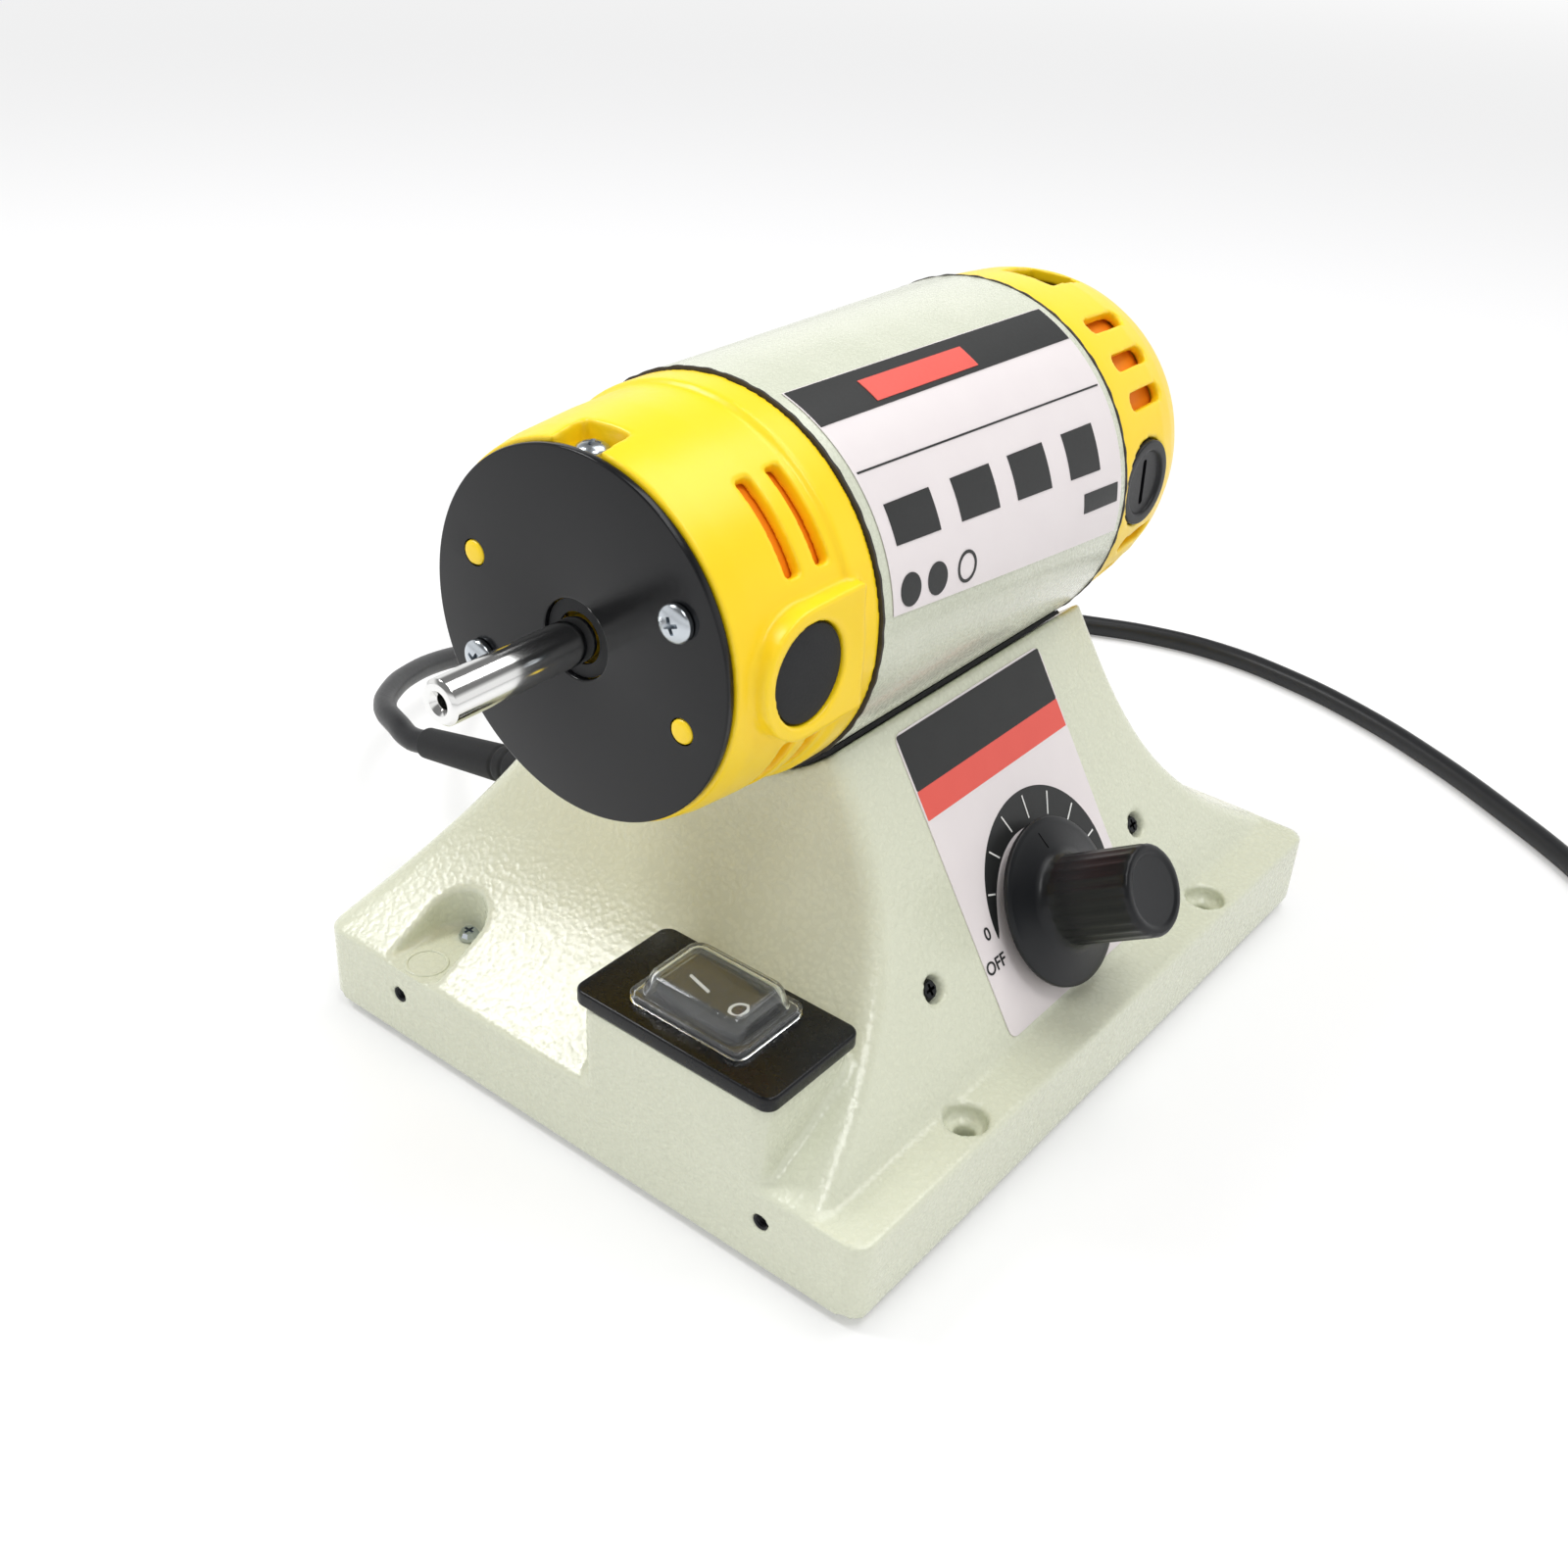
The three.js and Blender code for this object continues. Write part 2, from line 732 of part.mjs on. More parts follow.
function ledgeHoles() {
  return [-ledgeHoleSpacing / 2, ledgeHoleSpacing / 2].flatMap((y) => [
    moved(rod(ledgeHoleRadius, -cutOverrun, ledgeZ + cutOverrun), plinthRightX - ledgeHoleFromEdge, y, 0),
    moved(
      rod(ledgeCounterboreRadius, ledgeZ - ledgeCounterboreDepth, ledgeZ + cutOverrun),
      plinthRightX - ledgeHoleFromEdge, y, 0,
    ),
  ]);
}

function frontHoles() {
  const hole = rod(frontHoleRadius, -plinthHalf - cutOverrun, -plinthHalf + frontHoleDepth, 'y');
  const height = castingBottom + frontHoleHeight;
  return [-frontHoleSpacing / 2, frontHoleSpacing / 2].map(
    (x) => moved(hole, plinthMiddleX + x, 0, height),
  );
}

function pocketCuts(side) {
  const markY = side * (-plinthHalf + pocketMarkFromEdge);
  const mark = ring(
    pocketMarkRadius, pocketMarkRadius - pocketMarkWidth,
    pocketFloorZ - pocketMarkDepth, ledgeZ, rodSides, 'z',
  );
  const screwHole = rod(
    pocketScrewRadius + seatGap, pocketFloorZ - pocketScrewLength - seatGap, ledgeZ, 'z', screwSides,
  );
  return [
    pocketColumn(side, pocketRadius, pocketFloorZ),
    moved(mark, pocketX, markY, 0),
    moved(screwHole, pocketX, side * pocketScrewY, 0),
  ];
}

function panelCuts() {
  const shankHole = rod(panelScrewRadius + seatGap, boardHeight - cutOverrun, cutOverrun, 'z', screwSides);
  const headHole = rod(panelScrewHeadRadius + seatGap, -panelScrewSink, cutOverrun, 'z', rodSides);
  const bushingHole = rod(bushingRadius + seatGap, -panelWall - cutOverrun, cutOverrun);
  return [
    ...panelScrewPlaces().flatMap(
      (y) => [moved(shankHole, panelScrewDown, y, 0), moved(headHole, panelScrewDown, y, 0)],
    ),
    moved(bushingHole, knobDown, 0, 0),
  ].map(onPanel);
}

function saddleBoltPlaces() {
  return [saddleBoltFrontY, saddleBoltRearY];
}

function saddleBoltHoles() {
  const hole = rod(saddleBoltRadius + seatGap, hollowRoofZ - cutOverrun, motorZ, 'z', screwSides);
  return saddleBoltPlaces().map((y) => moved(hole, 0, y, 0));
}

function footPlaces() {
  return [
    ['front_left', -1, -1], ['front_right', 1, -1], ['rear_left', -1, 1], ['rear_right', 1, 1],
  ].map(([name, sideX, sideY]) => ({
    name, x: plinthMiddleX + sideX * footReachX, y: sideY * footReachY,
  }));
}

function footHoles() {
  const top = castingBottom + footStemHeight + seatGap;
  const hole = rod(footStemRadius + seatGap, castingBottom - cutOverrun, top, 'z', screwSides);
  return footPlaces().map(({ x, y }) => moved(hole, x, y, 0));
}

function coverScrewPlaces() {
  const y = coverReachY - coverFlangeWidth / 2;
  return [
    ['front_left', -1, -1], ['front_right', 1, -1], ['rear_left', -1, 1], ['rear_right', 1, 1],
  ].map(([name, sideX, sideY]) => ({ name, x: sideX * coverScrewX, y: sideY * y }));
}

function coverScrewHoles(radius, bottom, top) {
  const hole = rod(radius, bottom, top, 'z', screwSides);
  return coverScrewPlaces().map(({ x, y }) => moved(hole, x, y, 0));
}

function baseCasting() {
  const top = rod(cradleRadius, -plinthLength, plinthLength, 'y', barrelSides);
  const reliefHole = rod(reliefNeckRadius + seatGap, -sideWall - cutOverrun * 2, cutOverrun, 'z', rodSides);
  return cut(
    join(plinth(), tower(), switchBoss()),
    hollow(),
    moved(top, 0, 0, motorZ),
    ...pocketCuts(1),
    ...pocketCuts(-1),
    ...ledgeHoles(),
    ...frontHoles(),
    ...panelCuts(),
    ...saddleBoltHoles(),
    ...footHoles(),
    ...coverScrewHoles(coverScrewRadius + seatGap, coverBottomZ, coverScrewTopZ + seatGap),
    onWall(reliefHole),
  );
}

// Underside
function bottomCover() {
  const plate = roundedBlock(
    -coverReachX, coverReachX, -coverReachY, coverReachY, coverCornerRadius, coverBottomZ, coverTopZ,
  );
  const from = coverBottomZ - cutOverrun;
  return cut(
    plate,
    ...coverScrewHoles(coverScrewRadius + seatGap, from, coverTopZ + cutOverrun),
    ...coverScrewHoles(coverScrewHeadRadius + seatGap, from, coverBottomZ + coverScrewSink),
  );
}

function coverScrew() {
  const head = screw(coverScrewHeadRadius, coverScrewHeadHeight, coverScrewRadius, coverScrewLength);
  return head.rotateX(Math.PI);
}

function foot() {
  const waist = footRadius * 0.9;
  const profile = [
    [0, 0], [waist, 0], [footRadius, footHeight * 0.3], [footRadius, footHeight],
    [footStemRadius, footHeight], [footStemRadius, footHeight + footStemHeight],
    [0, footHeight + footStemHeight],
  ];
  return spin(profile, rodSides, 'z');
}

// Saddle
function saddleGasket() {
  const outline = arcOutline(
    gasketInner, gasketOuter, -90 - gasketHalfAngle, -90 + gasketHalfAngle, barrelSides / 4,
  );
  const sheet = extrudeAlongY(outline, -saddleFrontReach, barrelRearY);
  const hole = rod(saddleBoltRadius + seatGap, -cradleRadius, -gasketInner + cutOverrun, 'z', screwSides);
  return cut(sheet, ...saddleBoltPlaces().map((y) => moved(hole, 0, y, 0)));
}

function saddleBolt() {
  const head = rod(saddleBoltHeadRadius, -saddleBoltHeadHeight, 0, 'z', saddleBoltSides);
  const reach = motorZ - barrelBore - hollowRoofZ;
  return join(head, rod(saddleBoltRadius, -saddleBoltHeadHeight / 2, reach, 'z', screwSides));
}

// Motor casing, in the motor's own frame: y along the spindle, z up
function motorBarrel() {
  const tube = ring(barrelRadius, barrelBore, barrelFrontY, barrelRearY, barrelSides);
  const hole = rod(
    saddleBoltRadius + seatGap, -barrelRadius - cutOverrun, -barrelBore + cutOverrun, 'z', screwSides,
  );
  return cut(tube, ...saddleBoltPlaces().map((y) => moved(hole, 0, y, 0)));
}

function frontCapShell() {
  const pocketFloorY = frontBearingY - seatGap;
  return spin([
    [facePlateHoleRadius, frontCapFaceY],
    [frontFaceRadius, frontCapFaceY],
    [frontShoulderRadius, frontCapFaceY + frontShoulderDepth],
    [frontBodyRadius, barrelFrontY - seatGap - frontRimWidth],
    [frontRimRadius, barrelFrontY - seatGap - frontRimWidth + frontRimStep],
    [frontRimRadius, barrelFrontY - seatGap],
    [statorRadius, barrelFrontY - seatGap],
    [statorRadius, barrelFrontY + spigotLength],
    [capInnerRadius, barrelFrontY + spigotLength],
    [capInnerRadius, frontBearingY],
    [frontHubRadius, frontBearingY],
    [frontHubRadius, frontBearingY + frontHubLength],
    [frontBearingRadius + seatGap, frontBearingY + frontHubLength],
    [frontBearingRadius + seatGap, pocketFloorY],
    [facePlateHoleRadius, pocketFloorY],
    [facePlateHoleRadius, frontCapFaceY],
  ], barrelSides);
}

function frontCapBore() {
  return rod(capInnerRadius, frontBearingY, barrelFrontY + spigotLength + cutOverrun, 'y', barrelSides);
}

function sideBoss(side) {
  const from = side > 0 ? sideBossRoot : -sideBossReach;
  const to = side > 0 ? sideBossReach : -sideBossRoot;
  const body = join(
    moved(rod(sideBossRadius, from, to, 'x', knobSides), 0, sideBossY, 0),
    block(from, to, sideBossY, sideBossRearY, -sideBossRadius, sideBossRadius),
  );
  return cut(body, frontCapBore());
}

function sidePlugHole(side) {
  const from = side > 0 ? sideBossRoot : -sideBossReach - cutOverrun;
  const to = side > 0 ? sideBossReach + cutOverrun : -sideBossRoot;
  return moved(rod(sidePlugRadius + seatGap, from, to, 'x', knobSides), 0, sideBossY, 0);
}

function arcSlot(y, start, end) {
  const outline = arcOutline(
    capInnerRadius - cutOverrun, frontBodyRadius + cutOverrun, start, end, ventSteps,
  );
  return extrudeAlongY(outline, y - ventWidth / 2, y + ventWidth / 2);
}

function frontVents() {
  const spans = [[ventStart, ventEnd], [-ventEnd, -ventStart]];
  const both = spans.flatMap(([start, end]) => [[start, end], [180 + start, 180 + end]]);
  return ventFrontYs.flatMap((y) => both.map(([start, end]) => arcSlot(y, start, end)));
}

function faceScrewPlaces() {
  return [['right', 1], ['left', -1]].map(
    ([name, side]) => ({ name, x: side * faceScrewX, z: side * faceScrewZ }),
  );
}

function notchBlock() {
  return keep(
    block(
      -notchBlockHalfWidth, notchBlockHalfWidth, frontCapFaceY, frontCapFaceY + notchBlockDepth,
      notchBlockBottom, frontBodyRadius,
    ),
    rod(
      capInnerRadius + frontShellOverlap, frontCapFaceY, frontCapFaceY + notchBlockDepth, 'y', barrelSides,
    ),
  );
}

function frontEndCap() {
  const pegs = [1, -1].map((side) => moved(
    rod(pegRadius, facePlateFrontY - pegProud, frontBearingY - seatGap, 'y', screwSides),
    side * pegX, 0, -side * pegZ,
  ));
  const screwBosses = faceScrewPlaces().map(({ x, z }) => moved(
    rod(faceScrewBossRadius, frontCapFaceY + seatGap, frontBearingY + faceScrewBossLength, 'y'), x, 0, z,
  ));
  const screwHoles = faceScrewPlaces().map(({ x, z }) => moved(
    rod(
      faceScrewRadius + seatGap, frontCapFaceY - cutOverrun,
      frontCapFaceY + faceScrewLength, 'y', screwSides,
    ),
    x, 0, z,
  ));
  const notch = block(
    -notchHalfWidth, notchHalfWidth, frontCapFaceY - cutOverrun, frontCapFaceY + notchDepth,
    notchFloorRadius, frontRimRadius + cutOverrun,
  );
  const notchHole = rod(
    notchScrewRadius + seatGap, notchFloorRadius - notchScrewLength - seatGap,
    notchFloorRadius + cutOverrun,
    'z', screwSides,
  );
  return cut(
    join(frontCapShell(), sideBoss(1), sideBoss(-1), notchBlock(), ...pegs, ...screwBosses),
    sidePlugHole(1),
    sidePlugHole(-1),
    notch,
    moved(notchHole, 0, notchScrewY, 0),
    ...screwHoles,
    ...frontVents(),
  );
}

function facePlate() {
  const disc = ring(
    facePlateRadius, facePlateHoleRadius, facePlateFrontY,
    facePlateFrontY + facePlateThickness, barrelSides,
  );
  const through = (radius, x, z) => moved(
    rod(
      radius + seatGap, facePlateFrontY - cutOverrun,
      facePlateFrontY + facePlateThickness + cutOverrun, 'y', screwSides,
    ),
    x, 0, z,
  );
  return cut(
    disc,
    ...faceScrewPlaces().map(({ x, z }) => through(faceScrewRadius, x, z)),
    through(pegRadius, pegX, -pegZ),
    through(pegRadius, -pegX, pegZ),
  );
}

function faceScrew() {
  return screw(
    faceScrewHeadRadius, faceScrewHeadHeight, faceScrewRadius, faceScrewLength,
  ).rotateX(Math.PI / 2);
}

function sidePlug() {
  const top = sideBossReach - sidePlugInset;
  const edge = sidePlugThickness * 0.12;
  return spin([
    [0, top - sidePlugThickness], [sidePlugRadius, top - sidePlugThickness],
    [sidePlugRadius, top - edge], [sidePlugRadius - edge, top], [0, top],
  ], knobSides, 'x');
}

// The rear cap's skin, as shares of its radius and length from the seam to the crown
const rearOuterShares = [
  [0.995, 0.16], [0.975, 0.4], [0.95, 0.58], [0.895, 0.75], [0.79, 0.875], [0.62, 0.955], [0.36, 0.99],
  [0, 1],
];
const rearInnerShares = [[0.9, 0.36], [0.885, 0.56], [0.8, 0.73], [0.62, 0.86]];

function onRearCap([radiusShare, lengthShare]) {
  return [rearRimRadius * radiusShare, rearCapFaceY + rearCapLength * lengthShare];
}

function rearCapShell() {
  const skin = rearInnerShares.map(onRearCap);
  const hubRootY = skin[skin.length - 1][1];
  const inner = [...skin, [rearHubRadius, hubRootY], [rearHubRadius, rearBearingY - rearHubLip]];
  return spin([
    [0, rearBearingEndY + rearTailRoom],
    [spindleTailRadius + rearTailRoom, rearBearingEndY + rearTailRoom],
    [spindleTailRadius + rearTailRoom, rearBearingEndY + seatGap],
    [rearBearingRadius + seatGap, rearBearingEndY + seatGap],
    [rearBearingRadius + seatGap, rearBearingY - rearHubLip],
    ...inner.reverse(),
    [capInnerRadius, barrelRearY - spigotLength],
    [statorRadius, barrelRearY - spigotLength],
    [statorRadius, rearCapFaceY],
    [rearRimRadius, rearCapFaceY],
    ...rearOuterShares.map(onRearCap),
  ], barrelSides);
}

function rearVents() {
  const slot = block(
    capInnerRadius * 0.8, rearRimRadius + cutOverrun, rearVentFrontY, rearVentRearY,
    -rearVentWidth / 2, rearVentWidth / 2,
  );
  const angles = rearVentAngles.flatMap((angle) => [angle, 180 - angle]);
  return angles.map((angle) => slot.clone().rotateY(-THREE.MathUtils.degToRad(angle)));
}

function topVent() {
  const slot = block(
    capInnerRadius * 0.8, rearRimRadius + cutOverrun, topVentFrontY, topVentRearY,
    -topVentHalfWidth, topVentHalfWidth,
  );
  return slot.rotateY(-THREE.MathUtils.degToRad(topVentAngle));
}

function brushBoss(side) {
  const from = side > 0 ? brushBossRoot : -rearRimRadius;
  const to = side > 0 ? rearRimRadius : -brushBossRoot;
  const skin = rearCapSkin();
  return keep(moved(rod(brushBossRadius, from, to, 'x', knobSides), 0, brushY, 0), skin);
}

function rearCapSkin() {
  const outline = rearOuterShares.map(onRearCap);
  return spin([[0, rearCapFaceY], [rearRimRadius, rearCapFaceY], ...outline], barrelSides);
}

function brushHoles() {
  const seat = brushCapReach - brushCapThickness - seatGap;
  const through = rod(brushHolderRadius + seatGap, -rearRimRadius, rearRimRadius, 'x');
  const right = rod(brushCapRadius + seatGap, seat, rearRimRadius + cutOverrun, 'x', knobSides);
  const left = rod(brushCapRadius + seatGap, -rearRimRadius - cutOverrun, -seat, 'x', knobSides);
  return [through, right, left].map((hole) => moved(hole, 0, brushY, 0));
}

function rearEndCap() {
  return cut(
    join(rearCapShell(), brushBoss(1), brushBoss(-1)), ...brushHoles(), ...rearVents(), topVent(),
  );
}

// Brush gear, made for the +X side
function brushCap() {
  const seat = brushCapReach - brushCapThickness;
  const body = spin([
    [0, seat - brushCapStemLength], [brushCapStemRadius, seat - brushCapStemLength],
    [brushCapStemRadius, seat], [brushCapRadius, seat], [brushCapRadius, brushCapReach],
    [brushCapRecessRadius, brushCapReach], [brushCapRecessRadius, brushCapReach - brushCapRecessDepth],
    [0, brushCapReach - brushCapRecessDepth],
  ], knobSides, 'x');
  return cut(body, block(
    brushCapReach - brushCapRecessDepth - brushCapSlotDepth, brushCapReach,
    -brushCapSlotWidth / 2, brushCapSlotWidth / 2, -brushCapSlotLength / 2, brushCapSlotLength / 2,
  ));
}

function brushHolder() {
  const end = brushCapReach - brushCapThickness - 2 * seatGap;
  return ring(brushHolderRadius, brushHolderBore, brushHolderFoot, end, rodSides, 'x');
}

function carbonBrush() {
  const face = commutatorRadius + seatGap;
  return rod(brushRadius, face, face + brushLength, 'x');
}

function brushSpring() {
  const start = commutatorRadius + seatGap + brushLength + seatGap;
  const end = brushCapReach - brushCapThickness - brushCapStemLength - seatGap;
  return ring(brushSpringRadius, brushSpringBore, start, end, rodSides, 'x');
}

// Rotor
function spindle() {
  const boreEnd = spindleTipY + spindleBoreDepth;
  return spin([
    [0, boreEnd],
    [spindleBoreRadius, boreEnd],
    [spindleBoreRadius, spindleTipY + spindleSinkDepth],
    [spindleSinkRadius, spindleTipY],
    [spindleRadius - spindleChamfer, spindleTipY],
    [spindleRadius, spindleTipY + spindleChamfer],
    [spindleRadius, rearBearingY - seatGap],
    [spindleTailRadius, rearBearingY - seatGap],
    [spindleTailRadius, rearBearingY + spindleTailLength - seatGap],
    [0, rearBearingY + spindleTailLength - seatGap],
  ], rodSides);
}

function coreSlotsAround(width, depth, from, to) {
  const slot = block(coreRadius - depth, coreRadius + cutOverrun, from, to, -width / 2, width / 2);
  return Array.from({ length: coreSlots }, (_, i) => slot.clone().rotateY(2 * Math.PI * i / coreSlots));
}

function armatureCore() {
  const core = ring(coreRadius, spindleRadius + seatGap, -coreHalfLength, coreHalfLength, knobSides);
  const slots = coreSlotsAround(
    coreSlotWidth, coreSlotDepth, -coreHalfLength - cutOverrun, coreHalfLength + cutOverrun,
  );
  return cut(core, ...slots);
}

function armatureWinding() {
  const inner = spindleRadius + seatGap;
  const start = coreHalfLength + seatGap;
  const end = start + windingOverhang;
  const shoulder = windingOverhang * 0.2;
  const coils = [[-end, -start], [start, end]].map(([from, to]) => spin([
    [inner, from], [windingRadius - shoulder, from], [windingRadius, from + shoulder],
    [windingRadius, to - shoulder], [windingRadius - shoulder, to], [inner, to], [inner, from],
  ], rodSides));
  const width = coreSlotWidth - 2 * seatGap;
  const bar = block(
    coreRadius - coreSlotDepth + seatGap, windingRadius,
    -end + shoulder, end - shoulder, -width / 2, width / 2,
  );
  const bars = Array.from(
    { length: coreSlots }, (_, i) => bar.clone().rotateY(2 * Math.PI * i / coreSlots),
  );
  return join(...coils, ...bars);
}

function commutator() {
  const riser = commutatorRadius + commutatorRiser;
  const inner = spindleRadius + seatGap;
  return spin([
    [inner, commutatorFrontY], [riser, commutatorFrontY], [riser, commutatorFrontY + commutatorRiserWidth],
    [commutatorRadius, commutatorFrontY + commutatorRiserWidth], [commutatorRadius, commutatorRearY],
    [inner, commutatorRearY], [inner, commutatorFrontY],
  ], rodSides);
}

function coolingFan() {
  const inner = spindleRadius + seatGap;
  const hub = ring(fanHubRadius, inner, fanRearY - fanBladeWidth - fanPlateThickness, fanRearY, rodSides);
  const plate = ring(fanRadius, inner, fanRearY - fanPlateThickness, fanRearY, knobSides);
  const blade = block(
    (inner + fanHubRadius) / 2, fanRadius, fanRearY - fanBladeWidth, fanRearY - fanPlateThickness / 2,
    -fanBladeThickness / 2, fanBladeThickness / 2,
  );
  const blades = Array.from(
    { length: fanBlades }, (_, i) => blade.clone().rotateY(2 * Math.PI * i / fanBlades),
  );
  return join(hub, plate, ...blades);
}

// Stator: a ring with an upper and a lower pole, and a coil round each pole's neck
function statorCore() {
  const yoke = ring(
    statorRadius, statorRadius - yokeThickness, -coreHalfLength, coreHalfLength, barrelSides,
  );
  const shoeInner = coreRadius + airGap;
  const shoe = (middle) => extrudeAlongY(
    arcOutline(
      shoeInner, shoeInner + shoeThickness, middle - shoeHalfAngle, middle + shoeHalfAngle, barrelSides / 4,
    ),
    -coreHalfLength, coreHalfLength,
  );
  const neckFrom = shoeInner + shoeThickness / 2;
  const neckTo = statorRadius - yokeThickness / 2;
  const neck = (from, to) => block(
    -poleWidth / 2, poleWidth / 2, -coreHalfLength, coreHalfLength, from, to,
  );
  return join(yoke, shoe(90), shoe(-90), neck(neckFrom, neckTo), neck(-neckTo, -neckFrom));
}

function fieldWinding() {
  const halfWidth = poleWidth / 2 + seatGap;
  const halfLength = coreHalfLength + seatGap;
  const bottom = coreRadius + airGap + shoeThickness + seatGap;
  const corner = windingWidth * 0.8;
  return cut(
    roundedBlock(
      -halfWidth - windingWidth, halfWidth + windingWidth,
      -halfLength - windingEnd, halfLength + windingEnd,
      corner, bottom, bottom + windingHeight,
    ),
    block(
      -halfWidth, halfWidth, -halfLength, halfLength,
      bottom - cutOverrun, bottom + windingHeight + cutOverrun,
    ),
  );
}

// Speed control, in the panel's frame
function controlBoard() {
  const board = block(
    boardTop, boardBottom, -boardReach, boardReach, boardHeight, boardHeight + boardThickness,
  );
  const hole = rod(
    panelScrewRadius + seatGap, boardHeight - cutOverrun,
    boardHeight + boardThickness + cutOverrun, 'z', screwSides,
  );
  return cut(board, ...panelScrewPlaces().map((y) => moved(hole, panelScrewDown, y, 0)));
}

function heatSink() {
  const top = boardHeight - seatGap;
  const bottom = top - heatSinkHeight;
  const plate = block(
    heatSinkTop, heatSinkBottom, heatSinkY - heatSinkLength / 2,
    heatSinkY + heatSinkLength / 2, top - heatSinkPlate, top,
  );
  const pitch = (heatSinkBottom - heatSinkTop - heatSinkFin) / (heatSinkFins - 1);
  const fins = Array.from({ length: heatSinkFins }, (_, i) => block(
    heatSinkTop + pitch * i, heatSinkTop + pitch * i + heatSinkFin,
    heatSinkY - heatSinkLength / 2, heatSinkY + heatSinkLength / 2, bottom, top - heatSinkPlate / 2,
  ));
  return join(plate, ...fins);
}

function panelScrew() {
  const length = seatGap - panelScrewSink - boardHeight + screwTipProud;
  return screw(panelScrewHeadRadius, panelScrewHeadHeight, panelScrewRadius, length);
}

function potentiometerBody() {
  const seat = -panelWall - seatGap;
  return spin([
    [shaftRadius + seatGap, bushingTop], [bushingRadius, bushingTop], [bushingRadius, seat],
    [potRadius, seat], [potRadius, seat - potDepth], [0, seat - potDepth], [0, shaftBottom - seatGap],
    [shaftRadius + seatGap, shaftBottom - seatGap], [shaftRadius + seatGap, bushingTop],
  ], rodSides, 'z');
}

function potentiometerNut() {
  const body = rod(nutRadius, seatGap, seatGap + nutHeight, 'z', nutSides);
  return cut(body, rod(bushingRadius + seatGap, -cutOverrun, nutHeight + cutOverrun));
}

function potentiometerShaft() {
  return rod(shaftRadius, shaftBottom, shaftTop);
}

function knobGrip() {
  const tip = knobTopHeight - knobEdge;
  const steps = knobRibs * 2;
  const outline = Array.from({ length: steps }, (_, i) => {
    const angle = 2 * Math.PI * i / steps;
    const radius = i % 2 === 0 ? knobTopRadius : knobGripRadius;
    return new THREE.Vector2(radius * Math.cos(angle), radius * Math.sin(angle));
  });
  const depth = tip - knobGripStart;
  return new THREE.ExtrudeGeometry(new THREE.Shape(outline), { depth, bevelEnabled: false })
    .translate(0, 0, knobGripStart);
}

function speedKnob() {
  const body = spin([
    [0, knobSkirtGap], [knobSkirtRadius, knobSkirtGap], [knobSkirtRadius, knobSkirtGap + knobSkirtRim],
    [knobNeckRadius, knobSkirtTop], [knobGripRadius, knobGripStart + knobEdge],
    [knobGripRadius, knobTopHeight - knobEdge], [knobGripRadius - knobEdge, knobTopHeight],
    [knobDishRadius, knobTopHeight], [knobDishRadius - knobDishDepth, knobTopHeight - knobDishDepth],
    [0, knobTopHeight - knobDishDepth],
  ], knobSides, 'z');
  return cut(
    join(body, knobGrip()),
    rod(knobRecessRadius, -cutOverrun, knobRecessTop),
    rod(shaftRadius + seatGap, 0, shaftTop + seatGap),
  );
}

// Switch, in its own frame: z = 0 at the top of the switch plate
function switchPlate() {
  const plate = roundedBlock(
    switchPlateLeftX, switchPlateRightX, -plinthHalf - switchPlateFront,
    -plinthHalf - switchPlateFront + switchPlateDepth,
    bossCornerRadius, switchPlateBottomZ, switchPlateTopZ,
  );
  return cut(plate, block(
    switchX - housingLength / 2 - seatGap, switchX + housingLength / 2 + seatGap,
    switchY - housingWidth / 2 - seatGap, switchY + housingWidth / 2 + seatGap,
    switchPlateBottomZ - cutOverrun, switchPlateTopZ + cutOverrun,
  ));
}

function switchHousing() {
  const top = seatGap + bezelHeight;
  const body = block(
    -housingLength / 2, housingLength / 2, -housingWidth / 2, housingWidth / 2, -housingDepth, top,
  );
  const bezel = loft([seatGap, top].map((z) => centredRing(bezelLength, bezelWidth, clearCoverShell, z)));
  const cavity = block(
    -housingCavityLength / 2, housingCavityLength / 2, -housingCavityWidth / 2, housingCavityWidth / 2,
    top - housingCavityDepth, top + cutOverrun,
  );
  return cut(join(body, bezel), cavity);
}

function clearShell(inset, bottom) {
  const base = seatGap + clearCoverBase - inset;
  const top = seatGap + clearCoverHeight - inset;
  return join(
    loft([bottom, base].map((z) => centredRing(
      clearCoverLength - 2 * inset, clearCoverWidth - 2 * inset, clearCoverCorner - inset, z,
    ))),
    loft([
      centredRing(
        clearDomeLength - 2 * inset, clearDomeWidth - 2 * inset, clearCoverCorner - inset, bottom,
      ),
      centredRing(clearDomeLength - 2 * inset, clearDomeWidth - 2 * inset, clearCoverCorner - inset, base),
      centredRing(
        clearDomeTopLength - 2 * inset, clearDomeTopWidth - 2 * inset, clearCoverCorner - inset, top,
      ),
    ]),
  );
}

function clearCover() {
  return cut(clearShell(0, seatGap), clearShell(clearCoverShell, -cutOverrun));
}

// Rocker about its pivot, level; the machine's rest state tilts it to its OFF side
function rocker() {
  const belly = Array.from({ length: rockerBellyFacets + 1 }, (_, i) => {
    const angle = Math.PI * i / rockerBellyFacets;
    return [rockerBellyRadius * Math.cos(angle), -rockerBellyDepth * Math.sin(angle)];
  });
  const outline = [
    [-rockerHalfLength, rockerEndDrop], ...belly.reverse(), [rockerHalfLength, rockerEndDrop],
    [rockerHalfLength, rockerEndHeight], [0, rockerMiddleHeight], [-rockerHalfLength, rockerEndHeight],
  ];
  return extrudeAlongY(outline, -rockerWidth / 2, rockerWidth / 2);
}

